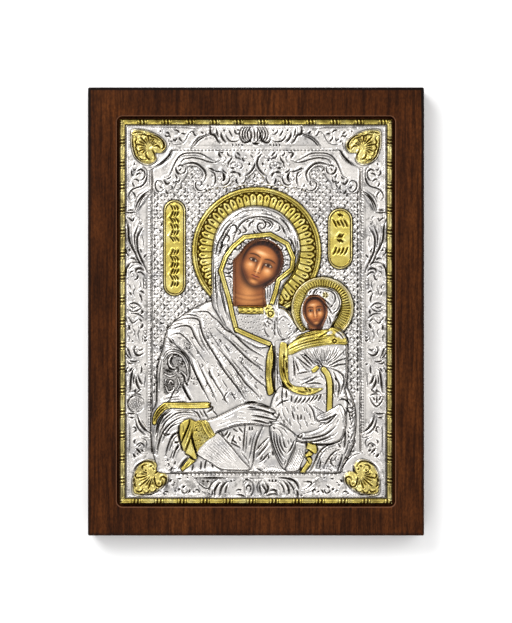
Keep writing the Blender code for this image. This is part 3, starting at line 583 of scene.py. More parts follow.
def emboss(points, width=1.4, rise=0.5, ends=(0.45, 0.45), outline=0.75, closed=False, smooth=True):
    """A rounded band pushed up along a curve, slimmer at its ends, with a dark line down both its sides."""
    path = through(points, closed) if smooth else np.array(points, float)
    window, distance, along = near(path, width / 2 + 1.0)[:3]
    swell = np.ones(along.shape) if closed else taper(along, ends)
    half = width / 2 * swell
    crown = rise * swell * np.sqrt(np.clip(1 - (distance / half) ** 2, 0, 1))
    beside = np.clip(1.6 * np.exp(-(((distance - half - 0.16) / 0.3) ** 2)) - 0.2, 0,
                     1) * (distance > half * 0.8)
    raised = chasing[window] > 0.15
    chasing[window] = np.maximum(chasing[window] - 0.14 * outline * beside * ~raised, crown)
    cleared = np.where(crown > 0.3 * rise, 0.15 * oxide_and_shade[window], oxide_and_shade[window])
    oxide_and_shade[window] = np.maximum(cleared, outline * beside * ~raised)


def fold(points, reach=2.4, rise=0.55, width=0.55, depth=0.4, side=1, dark=0.95, ends=(0.15, 0.15)):
    """A fold of cloth: a sharp dark valley with a rounded pleat rising on one side of it."""
    window, distance, along, which = near(through(points), reach * 1.7)
    swell = taper(along, ends)
    signed = distance * which * side
    pleat = swell * rise * np.exp(-(((signed - 0.62 * reach) / (0.5 * reach)) ** 2))
    chasing[window] += pleat * (signed > -0.4)
    cut = np.clip(1.7 * np.exp(-((distance / (0.72 * width * np.sqrt(swell))) ** 2)) - 0.25, 0,
                  1) * swell**0.5
    chasing[window] -= depth * cut
    oxide_and_shade[window] = np.maximum(oxide_and_shade[window], dark * cut)


def lay(points, level, edge=1.0, gold=0.0, dark=0.85, smooth=True):
    """A shape laid over what is there: it rounds up to its level over an edge, in a dark line."""
    path = through(points, True) if smooth else np.array(points + points[:1], float)
    window, distance = near(path, max(edge, 1.0))[:2]
    inside = enclosed(path[:-1], window)
    rounding = np.sqrt(1 - (1 - np.clip(distance / edge, 0, 1)) ** 2)
    before = form[window]
    form[window] = np.where(inside, before + (level - before) * rounding, before)
    chasing[window] = np.where(inside, 0, chasing[window])
    gilding[window] = np.where(inside, gold, gilding[window])
    outline = dark * np.clip(1.7 * np.exp(-((distance / 0.36) ** 2)) - 0.25, 0, 1)
    oxide_and_shade[window] = np.where(inside, outline * (distance < 0.3), np.maximum(oxide_and_shade[window], outline))


def bead(x, y, radius=0.6, rise=0.35, dark=0.5):
    """A round bead punched up, with a dark ring."""
    window, distance = near(np.array([[x, y], [x + 0.01, y]]), radius + 0.6)[:2]
    chasing[window] = np.maximum(chasing[window], rise * np.sqrt(np.clip(1 - (distance / radius) ** 2, 0, 1)))
    ring = np.exp(-(((distance - radius - 0.1) / 0.2) ** 2))
    oxide_and_shade[window] = np.maximum(oxide_and_shade[window] * (distance > radius), dark * ring)


def four_ways(work):
    """Does the same work in all four corners, mirrored, and tells it whether the corner is a lower one."""
    for flip_x in (1, -1):
        for flip_y in (1, -1):
            work(lambda points: [(x * flip_x, y * flip_y) for x, y in points], flip_y)


def both_sides(work):
    """Does the same work on the left and, mirrored, on the right, and tells it which side it is on."""
    for flip_x in (1, -1):
        work(lambda points: [(x * flip_x, y) for x, y in points], flip_x)


# ---------------------------------------------------------------- silver cover: the ground
# The field behind the figures is punched all over with rows of small round beads. The broad border round it
# stands a little higher, with a gilded rail like split bamboo at its outer edge, tied with double rings.
edge_x, edge_y = sheet_width / 2 - np.abs(across), sheet_height / 2 - np.abs(up)
from_edge = np.minimum(edge_x, edge_y)
field_x, field_y = 56.0, 86.4

row_gap, bead_gap = 1.95, 3.7
row = np.round(up / row_gap)
shifted = across - (row % 2) * bead_gap / 2
column = np.round(shifted / bead_gap)
bead_x = shifted - column * bead_gap - 0.28 * np.sin(12.9 * column + 7.3 * row)
bead_y = up - row * row_gap - 0.20 * np.sin(4.1 * column + 11.7 * row)
beaded = np.hypot(bead_x, bead_y)
bead_size = 1.02 + 0.14 * np.sin(5.7 * column + 3.1 * row)
chasing += 0.42 * np.sqrt(np.clip(1 - (beaded / bead_size) ** 2, 0, 1))
# Each bead has a painted shadow: a dark crescent on one side of it, turned a little differently from bead to
# bead.
shadow_turn = -0.8 + 1.1 * np.sin(8.3 * column + 5.9 * row)
facing = (bead_x * np.cos(shadow_turn) + bead_y * np.sin(shadow_turn)) / np.maximum(beaded, 0.1)
shadow_crescent = np.exp(-(((beaded - bead_size - 0.08) / 0.34) ** 2)) * soft_step(facing, -0.2, 0.7)
oxide_and_shade += (0.86 + 0.30 * np.sin(3.3 * column + 9.1 * row)) * shadow_crescent + 0.16 * soft_step(beaded, 0.9, 1.4)
chasing -= 0.16 * shadow_crescent

border = np.maximum(np.abs(across) - field_x, np.abs(up) - field_y)
on_border = soft_step(border, 0.0, 0.8)
form += 0.45 * on_border
chasing *= 1 - on_border
oxide_and_shade *= 1 - on_border
groove = 0.66 + 0.2 * np.sin(0.9 * up + 0.7 * across)
oxide_and_shade = np.maximum(oxide_and_shade, groove * np.exp(-(((border + 0.1) / 0.27) ** 2)))

# A string of beads runs down the border beside the field, with a plain line outside it.
string_at, string_wide, pearl_gap, pearl_size = 1.0, 0.75, 1.5, 0.64
pitch = np.where(np.abs(across) - field_x > np.abs(up) - field_y, up, across)
pearl = np.abs(pitch / pearl_gap - np.round(pitch / pearl_gap)) * pearl_gap
pearl_round = np.sqrt(np.clip(1 - (np.hypot(pearl, border - string_at) / pearl_size) ** 2, 0, 1))
on_string = np.abs(border - string_at) < string_wide
chasing = np.where(on_string, np.maximum(0.26 * pearl_round - 0.08, -0.08), chasing)
# Oxide lies dark between the pearls, with painted shade deepening it on the lower part of the border.
oxide_and_shade = np.maximum(oxide_and_shade, (0.52 + 0.36 * soft_step(-up, 38.0, 48.0)) * on_string * (1 - pearl_round))
oxide_and_shade = np.maximum(oxide_and_shade, 0.15 * soft_step(2.9 - border, 0.0, 0.5) * on_border)
oxide_and_shade = np.maximum(oxide_and_shade, 0.34 * np.exp(-(((border - 2.5) / 0.5) ** 2)))


def window_outline(centre, half_width, half_height, tilt, last, neck):
    """The outline of a face window: part of a tilted oval, narrow at the chin and open to the neck."""
    turn = math.radians(tilt)
    outline = []
    for angle in np.radians(np.linspace(-50, last, 57)):
        narrowing = 1 - 0.1 * (1 - math.sin(angle))
        x, y = half_width * narrowing * math.cos(angle), half_height * math.sin(angle)
        outline.append((centre[0] + x * math.cos(turn) + y * math.sin(turn),
                        centre[1] - x * math.sin(turn) + y * math.cos(turn)))
    return outline + list(neck)


mother_neck = [(-11.4, 27), (-11.4, 3.6), (4.9, 3.2), (3.9, 7.6), (4, 12)]
child_neck = [(28.2, -6.9), (28.8, -9.2), (34.4, -9.2), (35.2, -6.9)]
mother_window = window_outline(*mother_face, 168, mother_neck)
child_window = window_outline(*child_face, 225, child_neck)


def chase(strokes, place=list, **cut):
    """Engraves a group of strokes with one tool."""
    for points in strokes:
        engrave(place(points), **cut)


broad = dict(width=0.68, depth=0.42, dark=1.0, lift=0.24)
sharp = dict(width=0.50, depth=0.32, dark=1.0, lift=0.20)
faint = dict(width=0.46, depth=0.20, dark=0.72, lift=0.14)


def stipple(outline, pitch=1.2, depth=0.14, dark=0.8, fade=0.6, tint=0.0):
    """Fills a shape with small punched dots, unevenly placed, which fade out towards its edge."""
    path = through(outline, True)
    part, distance = near(path, fade + 0.2)[:2]
    inside = enclosed(path[:-1], part) * soft_step(distance, 0.0, fade)
    row = np.round(up[part] / pitch)
    shifted = across[part] - 0.5 * pitch * (row % 2)
    column = np.round(shifted / pitch)
    dot_x = shifted - column * pitch - 0.24 * pitch * np.sin(12.9 * column + 7.3 * row)
    dot_y = up[part] - row * pitch - 0.24 * pitch * np.sin(4.1 * column + 11.7 * row)
    strength = 0.6 + 0.4 * np.sin(5.7 * column + 3.1 * row)
    dots = np.clip(1.9 * strength * np.exp(-((np.hypot(dot_x, dot_y) / (0.28 * pitch)) ** 2)) - 0.15, 0, 1)
    chasing[part] -= inside * depth * dots
    oxide_and_shade[part] = np.maximum(oxide_and_shade[part], inside * (tint + (1 - tint) * dark * dots))


# ---------------------------------------------------------------- silver cover: corner panels
# Each corner is a raised panel with a stepped and hollowed edge, chased with acanthus scrolls. The lower two
# are closed by a plain round hood, and each carries a gilded heart with a small palm leaf in it.
upper_panel = [
    (-24.9, 99.2), (-25, 95.2), (-28.2, 94.2), (-31.4, 91.8), (-33.6, 89), (-34.8, 86.8), (-43.4, 86.5),
    (-44.4, 84.6), (-46.4, 81.8), (-49.8, 78.8), (-53.2, 76.8), (-56.3, 75.8),
    (-56.2, 65.4), (-57.6, 62.4), (-60, 58.6), (-62.8, 55.2), (-64.4, 53.4), (-69.3, 53), (-69.3, 99.2)
]
lower_panel = [
    (-25, 99.2), (-25, 95.2), (-27.5, 94), (-31.4, 90.4), (-34.6, 87.8), (-38, 86.9), (-45, 86.9),
    (-46.3, 83.6), (-48.6, 80), (-51.8, 77), (-56.3, 75.4),
    (-56.2, 67), (-57.6, 64.2), (-60, 60.4), (-62.8, 56.8), (-64.4, 54.8), (-69.3, 54.4), (-69.3, 99.2)
]
upper_broad = [
    [(-42, 86.3), (-45, 86), (-46.6, 83.4), (-50.2, 79.3), (-53.2, 77.2), (-56, 76)],
    [(-56.4, 64.8), (-59.4, 63), (-61.6, 60.6), (-63.6, 57.2), (-64.8, 53.6)],
]
upper_sharp = [
    [(-34.9, 87.2), (-34.2, 88.6), (-32.5, 91), (-30, 93.2), (-27, 94.4), (-25.3, 94.9)],
    [(-33.4, 87.6), (-32.6, 89.2), (-30.8, 91.4), (-28.4, 93), (-25.6, 94)],
    [(-50.8, 77.4), (-53, 76.2), (-55.4, 75.2)], [(-64.5, 52.8), (-70, 52.8)],
    [(-68.2, 54.4), (-65.6, 54.4)], [(-57, 63.6), (-59.5, 62), (-61.5, 59.5), (-63, 56), (-63.8, 53.6)],
    [(-48.4, 96.2), (-47, 95.6), (-46.3, 94.4)], [(-49, 94.6), (-47.8, 93.6), (-46.4, 94), (-45.4, 92.8)],
    [(-46, 91.4), (-45, 90.6)], [(-44.6, 92.6), (-43, 91.4), (-42.6, 93)],
    [(-41.2, 93.6), (-40.6, 92), (-39.4, 91.2), (-38.7, 91.6)], [(-40, 95.4), (-37.4, 94.9)],
    [(-43.8, 97.2), (-42, 96.8), (-40.8, 95.6)], [(-35, 95.8), (-33.8, 96.2), (-32.6, 94.2), (-31.4, 94.4)],
    [(-29.6, 96.4), (-28, 95.2)], [(-64.9, 79.6), (-65.2, 78.2)], [(-65.9, 76.6), (-65, 75.6), (-64, 76.4)],
    [(-66.4, 75.8), (-66.6, 73.6), (-65.4, 72.4)], [(-63.4, 75), (-61.6, 76.2), (-60.4, 75)],
    [(-61.4, 76.2), (-59.8, 75), (-59.5, 72.6), (-60.6, 70.6), (-62, 70)],
    [(-64, 72.6), (-62.6, 74), (-61.4, 73.6)], [(-65.4, 70.8), (-63.6, 70.6), (-62.4, 69.2)],
    [(-65.9, 69.4), (-65.8, 67.8), (-64.8, 66.6)],
    [(-60.6, 77.8), (-58.8, 76), (-58.4, 73), (-59, 69.6), (-61, 67.2), (-64, 66.2), (-66.4, 65),
     (-67.8, 63), (-68, 60.8), (-67, 59.6), (-65.8, 60.4)],
    [(-66.6, 64.4), (-65.4, 63.2), (-64.6, 61.6), (-65, 60.2)], [(-51.2, 97), (-51.2, 95.8)]
]
upper_faint = [
    [(-43.5, 86.2), (-32, 86.2), (-20, 86.2)], [(-46, 82), (-49, 79), (-52, 77.2)],
    [(-57, 75.5), (-57, 66.5)], [(-44.8, 86.6), (-46.5, 83.6), (-49.6, 80.6), (-53.6, 77.8), (-57.4, 76.8)],
    [(-55.6, 75), (-55.6, 65)], [(-58, 65.4), (-59.5, 64.4), (-62.5, 62.3), (-64.2, 59.5), (-65.2, 55)],
    [(-46.2, 90.8), (-44, 89.6), (-41.5, 89.4), (-39, 90.2), (-37.6, 91.8), (-36.4, 94), (-35.2, 95.6),
     (-33.6, 94.8)],
    [(-47.2, 92.6), (-46.4, 89.4), (-47.2, 86.4)], [(-54.6, 98.6), (-46, 98.5), (-38, 98.4), (-30, 97.6)]
]
lower_broad = [
    [(-63.4, 55.2), (-62, 60), (-59.6, 63), (-56, 65)], [(-68.8, 54.5), (-64, 54.7)],
    [(-60.4, 75), (-61.4, 73.8)], [(-61.6, 76), (-62.8, 74.6), (-64.2, 73.2)],
    [(-64.2, 78), (-65.2, 77.2), (-65.6, 76)], [(-35, 95.4), (-36.4, 97.2)],
    [(-64.3, 80.6), (-64.4, 79.6), (-65.4, 78.8)], [(-40.6, 95.6), (-41.8, 94.8)],
    [(-44, 93), (-44.8, 92.8)], [(-45.2, 90), (-46.4, 91.3)], [(-38, 93.2), (-39.4, 94.4)]
]
lower_sharp = [
    [(-65.2, 56.8), (-67.8, 56.8)], [(-64.8, 57.6), (-63.4, 62), (-61, 64.8), (-59, 66)],
    [(-61.6, 71), (-63, 72.4)], [(-66.4, 62), (-64.8, 62), (-64.2, 63.4), (-65.4, 65)],
    [(-64.2, 68.4), (-65.2, 69.6), (-65, 71)],
    [(-60, 73), (-60.2, 71.4), (-61.6, 70.4), (-63, 71), (-63.9, 72.2)], [(-63, 76.6), (-63.6, 75.6)],
    [(-51.6, 77.4), (-48.6, 79.6), (-46.8, 82), (-45.6, 84.6), (-45.2, 86.4)], [(-32.6, 96.8), (-34, 96)],
    [(-30.4, 97.2), (-30.4, 96), (-31.4, 95.3), (-32.4, 95.8)], [(-43.4, 91.9), (-43.6, 91.2)],
    [(-40, 89.4), (-41.8, 89.4)], [(-37.2, 95), (-36.8, 96.4), (-38, 97.2), (-39.4, 96.6), (-39.8, 95.2)],
    [(-36, 88.6), (-37, 89)], [(-46.6, 97.2), (-47.4, 96.4), (-48.6, 96.3), (-49.6, 97.2), (-48.6, 98)],
    [(-42.8, 96.4), (-43.8, 95.6)]
]
lower_faint = [
    [(-56.4, 67.6), (-58.6, 67.4), (-61, 66.8)], [(-58.8, 73.4), (-58.6, 70), (-60, 68.2), (-62.4, 67.4)],
    [(-57.5, 75.8), (-53.4, 76.4), (-50.5, 77.8)], [(-58, 77), (-59.6, 78.6)], [(-67.6, 60), (-67.6, 76)],
]


def corner_panel(place, flip_y):
    """One corner panel with its acanthus scrolls."""
    outline, deep, cuts, lines = upper_panel, upper_broad, upper_sharp, upper_faint
    if flip_y < 0:
        outline, deep, cuts, lines = lower_panel, lower_broad, lower_sharp, lower_faint
    lay(place(outline), 0.85, edge=0.7, dark=0.35, smooth=False)
    emboss(place(np.array(outline[:-1])), 1.2, 0.34, ends=(1, 1), outline=0.3, smooth=False)
    chase(deep, place, **broad)
    chase(cuts, place, **sharp)
    chase(lines, place, **faint)


four_ways(corner_panel)

heart = [(-65.8, 96.4), (-61.5, 96.9), (-57, 96), (-52.4, 93.6), (-49, 90.4), (-48.6, 87.2), (-50.6, 85),
         (-53.8, 84.8), (-53.4, 82.2), (-54.4, 80.2), (-57.3, 79), (-61.2, 79.9), (-64.4, 83),
         (-66.1, 87.6), (-66.5, 92.2)]
upper_leaf = [
    [(-65.8, 95.4), (-63, 96), (-60, 95.8)], [(-55.8, 86.8), (-54.7, 85), (-53.9, 83), (-54, 81)],
    [(-66, 94), (-66.1, 90), (-65.5, 86.6), (-64.6, 83.6), (-62.8, 81.4), (-60.4, 80.2), (-57.4, 79.6)],
    [(-56, 94.7), (-53.4, 94), (-51, 92.4), (-49.5, 90.4), (-49.1, 88.6), (-49.6, 87.2)],
    [(-50, 91.2), (-49.3, 89.6), (-49.3, 88), (-50.4, 86.4)],
    [(-54.6, 88.2), (-53, 88.7), (-51.8, 88), (-51, 86.6)],
    [(-58.6, 85.2), (-58.9, 83.8), (-58.4, 82.4), (-57.4, 81.6), (-55.8, 81.4)],
    [(-62.8, 83.2), (-61.8, 81.6), (-60, 80.9), (-58.4, 81.3)],
    [(-64.6, 93.8), (-63.8, 92.2), (-64.6, 90.8), (-64, 89), (-64.5, 87.4), (-63.4, 85.8), (-63.4, 84.2),
     (-61.8, 82.9)],
    [(-63, 95), (-61.6, 94.4), (-60, 94.9), (-58.4, 94), (-56.6, 94.1), (-55.2, 93), (-53.4, 92.7),
     (-52, 91.2)]
]
lower_leaf = [
    [(-66, 85), (-65, 83), (-63.4, 81.4), (-61, 80.1), (-58.8, 79.7), (-57, 80), (-55.6, 81.2),
     (-54.8, 82.6)],
    [(-61.4, 84.6), (-61.7, 83), (-60.8, 81.9), (-59, 81.6)], [(-61.2, 85.4), (-60, 85.9), (-58.6, 85.7)],
    [(-57.6, 82.7), (-56.4, 82.1)], [(-60, 84.4), (-59.4, 84.9)],
    [(-52.8, 82.6), (-53, 84.6), (-54, 85.8), (-55.2, 86.6)], [(-55.8, 83.6), (-55.4, 84.4)],
    [(-52, 90.2), (-51.6, 88.8), (-50.6, 88), (-49.4, 88.4), (-48.8, 89.4), (-49, 91), (-50, 93),
     (-51, 94.4)],
    [(-50.8, 90), (-50.8, 92), (-52, 93.4), (-53.6, 93.2), (-54.6, 91.6), (-55.2, 89)],
    [(-52.9, 91.4), (-52.5, 92)], [(-65.4, 95.3), (-63.6, 96.2), (-62, 95.8), (-61, 94.4)],
    [(-61, 95.8), (-59.8, 96.9), (-58.4, 96.3), (-57.7, 95)],
    [(-57.6, 95.8), (-56, 96.4), (-54.6, 95.7), (-53.8, 94)],
    [(-65, 97.3), (-60, 97.7), (-56, 97.3), (-52.4, 95.8)], [(-66, 88.6), (-66.2, 91.4)],
    [(-64.6, 86.2), (-65.4, 87.6), (-64.6, 88.8)], [(-65.2, 91), (-65.8, 92.4), (-65, 93.6)]
]


def palm_veins(place, foot, angles, reaches, count):
    """The veins of a palm leaf, fanned out from its foot, long and short by turns."""
    for i, angle in enumerate(np.linspace(angles[0], angles[-1], count)):
        along = np.array([math.cos(math.radians(angle)), math.sin(math.radians(angle))])
        aside = np.array([-along[1], along[0]])
        reach = np.interp(angle, angles, reaches) * (1.0, 0.82)[i % 2]
        start = (0.24, 0.42)[i % 2] * reach
        bow = 0.045 * (130 - angle) / 50 * reach
        points = [foot + start * along, foot + (start + reach) / 2 * along + bow * aside,
                  foot + reach * along]
        engrave(place(np.array(points)), 0.44, 0.42, (1, 0.8)[i % 2], ends=(0.1, 0.9), lift=0.3)


def corner_heart(place, flip_y):
    """One gilded heart with its palm leaf; the lower hearts lie on a plain round hood."""
    inward, drop = (0.0, 0.0) if flip_y > 0 else (0.8, 0.8)
    middle = np.array([-58.0, 88.2])

    def grown(size):
        """The heart's outline at another size."""
        return place(middle + (inward, drop) + (np.array(heart) - middle) * size)

    if flip_y < 0:
        lay(place([(-45.9, 89), (-46.1, 84.6), (-48.6, 79.9), (-53, 76.8), (-58, 75.8), (-63, 77.2),
                   (-67, 80.8), (-68, 86), (-68, 98.5), (-60, 98.6), (-50, 97.2), (-47.2, 93)]), 1.1,
            edge=2.2, dark=0.22)
    lay(grown(1.10), 1.30, edge=0.6, gold=0.35, dark=0.62)
    lay(grown(1.00), 1.55, edge=2.6, gold=0.9, dark=0.5)
    leaf = upper_leaf if flip_y > 0 else [np.array(points) + (inward, 0.3) for points in lower_leaf]
    chase(leaf, place, width=0.50, depth=0.42, dark=0.95, ends=(0.5, 0.5), lift=0.32)
    if flip_y > 0:
        palm_veins(place, (-56.4, 87.6), (38, 90, 145, 190, 214), (3.8, 5.6, 8.2, 6.6, 6.4), 12)
    else:
        palm_veins(place, (-54.4, 86.5), (84, 110, 140, 165, 178), (5.6, 8.6, 10.2, 9.6, 8.4), 8)


four_ways(corner_heart)


# ---------------------------------------------------------------- silver cover: border scrolls
# Leaf and scroll work fills the border between the corners: a plume rising to a bud and falling again down
# both sides, and at the top and the bottom a pair of bosses between bands and leaves.
side_broad = [
    [(-69.8, 49.2), (-68.8, 46.5), (-68.2, 43), (-68.1, 40), (-67.4, 37), (-66.4, 34.5), (-65, 31.8),
     (-63.6, 29), (-62.4, 26.8)],
    [(-60.5, 45), (-61.6, 43.4), (-62.8, 41.4), (-63.6, 39), (-63.7, 36), (-63.4, 33.5), (-62.6, 30.8),
     (-61.4, 28), (-60, 25), (-58.9, 22.6), (-58.2, 20.8)],
    [(-64.3, 20.5), (-64.3, 22), (-63.4, 23), (-62.2, 23.2), (-60.8, 22.6), (-59.9, 21.8)],
    [(-61, 0.9), (-60.8, -0.4), (-61.4, -1.2)], [(-60.6, -6.6), (-60.8, -7.8), (-61.8, -9.2)],
    [(-67.8, -7.4), (-67.8, -10)], [(-64.4, -18.6), (-65.2, -20), (-65.2, -21.6), (-64.2, -23),
                                    (-62.6, -23.5), (-61, -22.9), (-60, -22.2)],
    [(-64.9, -30.6), (-66, -31.6), (-66.5, -33.5), (-67, -37), (-67.3, -40), (-67.5, -42.5),
     (-67.9, -43.6)],
    [(-63.9, -35.2), (-64.1, -37.4), (-63.6, -39.4), (-62.6, -41.2), (-62, -42)],
    [(-63.2, -34.2), (-62.6, -36.2), (-61.4, -38.4), (-60.8, -39)],
    [(-69.6, 19), (-69.4, 22), (-68.6, 24.4), (-67, 26)]
]
side_sharp = [
    [(-69, 50.4), (-67.8, 49.8), (-66, 48.5), (-65.4, 49.6), (-64.5, 50.4)], [(-62.4, 46.8), (-61, 47.1)],
    [(-62.9, 46.2), (-64, 43.5), (-64.9, 41), (-65, 38), (-64.8, 36), (-64.4, 33)],
    [(-62.4, 33.6), (-61.6, 32.6), (-61.4, 31)],
    [(-68.2, 34.4), (-69.3, 33.6), (-69.5, 31.8), (-68.6, 30.4), (-67.8, 29.4)],
    [(-68, 33.6), (-67.4, 32.2)], [(-60, 28.8), (-59.2, 29.9), (-58.4, 30.6)],
    [(-67.6, 28.2), (-66, 28.6), (-64.6, 27.8), (-63.8, 26.8)],
    [(-64.2, 29.4), (-63.4, 27.6), (-62.2, 26.2), (-61, 25.2)],
    [(-67, 26), (-65, 26.4), (-63, 26.2), (-60.8, 24.8)],
    [(-64.2, 20), (-63, 20.8), (-61.8, 21.1), (-60.4, 20), (-59.4, 18.8)],
    [(-67.2, 20), (-66.8, 21.2), (-65.6, 21.6)],
    [(-65.4, 17.4), (-64.6, 17), (-63.6, 17.6), (-63.2, 19), (-63.6, 20)],
    [(-68, 10.2), (-67.2, 9.8), (-66.9, 8.4)], [(-62.6, 10.8), (-61.6, 11), (-60.6, 10.4), (-60, 9.4)],
    [(-62.8, 9.8), (-61.8, 8), (-61.2, 6), (-61.5, 4.4)],
    [(-67.9, 3.4), (-66.6, 4.3), (-64.8, 4.5), (-63, 3.6), (-61.6, 2.2)],
    [(-67.9, 3.2), (-66.6, 2.4), (-65.2, 2), (-63.6, 2.8)],
    [(-68.4, 0.9), (-66.8, 0.2), (-65, 0.1), (-63.4, 0.6), (-62, 1.4), (-61.4, 2.4)],
    [(-67, -1.2), (-65, -1), (-63, -1.4), (-61.4, -2.4), (-60, -3.8)],
    [(-68.4, -3), (-67.2, -4.8), (-66, -6.2), (-64.6, -5.4), (-63, -4.2)],
    [(-62.8, -3.8), (-61.6, -4.8), (-61, -5.6)], [(-60.2, -13.2), (-59.2, -14.1), (-58.3, -13.6)],
    [(-60.2, -15), (-59.2, -15.8), (-58.3, -15.2)],
    [(-63.3, -19.9), (-62.2, -20.8), (-61.2, -20.4), (-60, -19.8)], [(-66, -15.4), (-66.1, -16.3)],
    [(-70.2, -19), (-69, -19.6), (-67.9, -21.5), (-67.6, -23), (-66.4, -25.2)],
    [(-59.8, -27.8), (-58.8, -28.8)], [(-70, -21.6), (-69.2, -23), (-68.2, -24.2), (-66.8, -25.4)],
    [(-67.8, -26), (-66.4, -26.7), (-64.6, -26.8), (-63, -26.3)],
    [(-68.9, -26.8), (-67.8, -27.8), (-65.8, -28)], [(-69.4, -33), (-69.2, -31), (-68.2, -30)],
    [(-67.6, -32.6), (-66.8, -31), (-65.8, -30.1)], [(-65, -34), (-65.6, -36.5), (-65.4, -39)],
    [(-61.6, -29), (-61.2, -31.4), (-61.6, -33.6)],
    [(-66.8, -43.3), (-65.2, -42.6), (-64, -43.4), (-62.4, -42.4), (-61.4, -41.6)],
    [(-65, -41.6), (-64.2, -42.8)], [(-65.8, -44.4), (-64, -44.1), (-62.2, -44.4), (-61.4, -45.2)]
]
side_faint = [
    [(-66.6, 47), (-66.9, 44), (-66.8, 40), (-66.3, 37), (-65.6, 34)],
    [(-67.6, 22.6), (-66.6, 24), (-65, 24.6)],
    [(-64, 50.8), (-62.8, 50.6), (-62, 49), (-62.3, 47.5), (-63.2, 46.8)],
    [(-69.2, -2.6), (-69.5, -4.5), (-69, -6.5)], [(-60.4, 18.4), (-60.4, 11.8)],
    [(-60.9, -12), (-60.9, -16.5)], [(-68.4, 14.6), (-67.2, 12.8), (-67.4, 11.2)],
    [(-65.4, 14.4), (-64.8, 12.2), (-65.6, 10), (-65, 7.8)], [(-66.4, -9), (-65, -11), (-65.4, -13.6)],
    [(-63.4, -7.4), (-62.6, -10), (-63.2, -13), (-62.4, -16)], [(-69, -12), (-67.8, -14), (-68, -16.6)],
    [(-69.6, 44), (-69.8, 40), (-69.2, 36.6)], [(-61, 40.4), (-60.4, 37), (-60.6, 33.6)],
    [(-69.4, -37), (-69.6, -40.6)], [(-62.4, 16.4), (-61.8, 14), (-62.4, 12.4)],
    [(-59.6, -33), (-59.4, -36.4), (-59.8, -41)]
]


def beads(places, radius, rise, dark, place=list):
    """Beads of one size at several places."""
    for x, y in place(places):
        bead(x, y, radius, rise, dark)


def side_scrolls(place, flip_x):
    """The leaf and scroll work of one side of the border."""
    chase(side_broad, place, **broad)
    chase(side_sharp, place, **sharp)
    chase(side_faint, place, **faint)
    pods = [(-59.3, 17), (-59.3, 15), (-59.3, 13), (-59.3, -11), (-59.3, -13)]
    buds = [(-66.6, 1.3), (-65.8, -4), (-66.9, -44.9), (-61.8, 48.6), (-66.2, 19.4), (-64.2, -21.2)]
    beads(pods, 0.72, 0.4, 0.85, place)
    beads(buds, 0.66, 0.35, 0.75, place)


both_sides(side_scrolls)


def oval(x, y, wide, high, angles):
    """Points round an upright oval."""
    return [(x + wide * math.cos(a), y + high * math.sin(a)) for a in angles]


# The foot of the left plume is a stippled rosette, and of the right one an upturned bud.
rosette_x, rosette_y = -64.2, -49.5
engrave(oval(rosette_x, rosette_y, 4.4, 4.4, np.linspace(0, 5.8, 12)), 0.6, 0.32)
for i in range(26):
    angle, radius = 2.4 * i, 0.72 * math.sqrt(i)
    bead(rosette_x + radius * math.cos(angle), rosette_y + radius * math.sin(angle), 0.38, 0.2, 0.8)
chase([[(60.6, -45.6), (61.8, -48.4), (64.6, -50.8), (67.4, -48.2), (68.4, -45.4)],
       [(62.6, -45.8), (63.6, -47.8)], [(66.8, -45.6), (65.8, -47.8)], [(64.7, -45.4), (64.6, -49.2)]],
      **sharp)

end_broad = [
    [(-24.4, 99), (-24.3, 95.2), (-22.6, 94.6), (-21.5, 93.4), (-20.5, 91.3), (-19, 90)],
    [(-18.8, 96), (-18.5, 94), (-17.5, 92), (-16, 90.3)],
    [(-7.8, 93), (-7.3, 90.9), (-5, 90.5), (-3, 92), (-2.6, 95), (-3.5, 97.5)], [(-1.5, 89.9), (1.2, 89.9)],
]
end_sharp = [
    [(-21.2, 98), (-20.8, 95), (-20, 93)],
    [(-16.4, 95), (-15.5, 93), (-13.8, 91.3), (-11, 91), (-8.5, 91.8)], [(-17.5, 97.5), (-16.5, 96.5)],
    [(-11.5, 97.8), (-11.4, 96.2), (-10.2, 95), (-8.5, 95.2)], [(-10, 97), (-8.5, 97.3)],
    [(-14.8, 97.4), (-13.6, 95.2), (-12.6, 93.4)], [(-1.2, 97.8), (-0.6, 94), (-1, 91.4)]
]
# At the foot the two halves are chased freely, and differ.
foot_broad = [
    [(-22, -98.8), (-22.2, -96.6), (-21, -93.6), (-19.2, -91.6)],
    [(-19.4, -98.6), (-18.9, -96), (-18.2, -94), (-16.6, -92), (-15.2, -91)],
    [(-5.8, -89.8), (-4.2, -89.8)],
    [(14.4, -90.6), (16.4, -92.6), (17.4, -95), (17.6, -97.4), (16.2, -97.8)],
    [(17.8, -89), (21, -91), (22.4, -93.6), (23, -95.4)],
    [(12, -88.8), (16, -89.2), (20, -90.4), (20.8, -91.6)], [(21.2, -95.6), (22.2, -96.4), (22.4, -99.6)],
    [(5.2, -92), (6.4, -94), (6.2, -96), (5.2, -97.6)],
    [(8, -96), (9.2, -95.4), (10.4, -95.8), (11.2, -97.4)],
    [(3, -92.6), (4.4, -94.4), (5.4, -96.2), (4.4, -97.8)], [(-30, -89), (-22, -89), (-16, -89.1)],
    [(7.2, -90), (7.2, -91.1)], [(8.8, -89.8), (8.8, -91.4)], [(10.4, -90), (10.6, -91.2)]
]
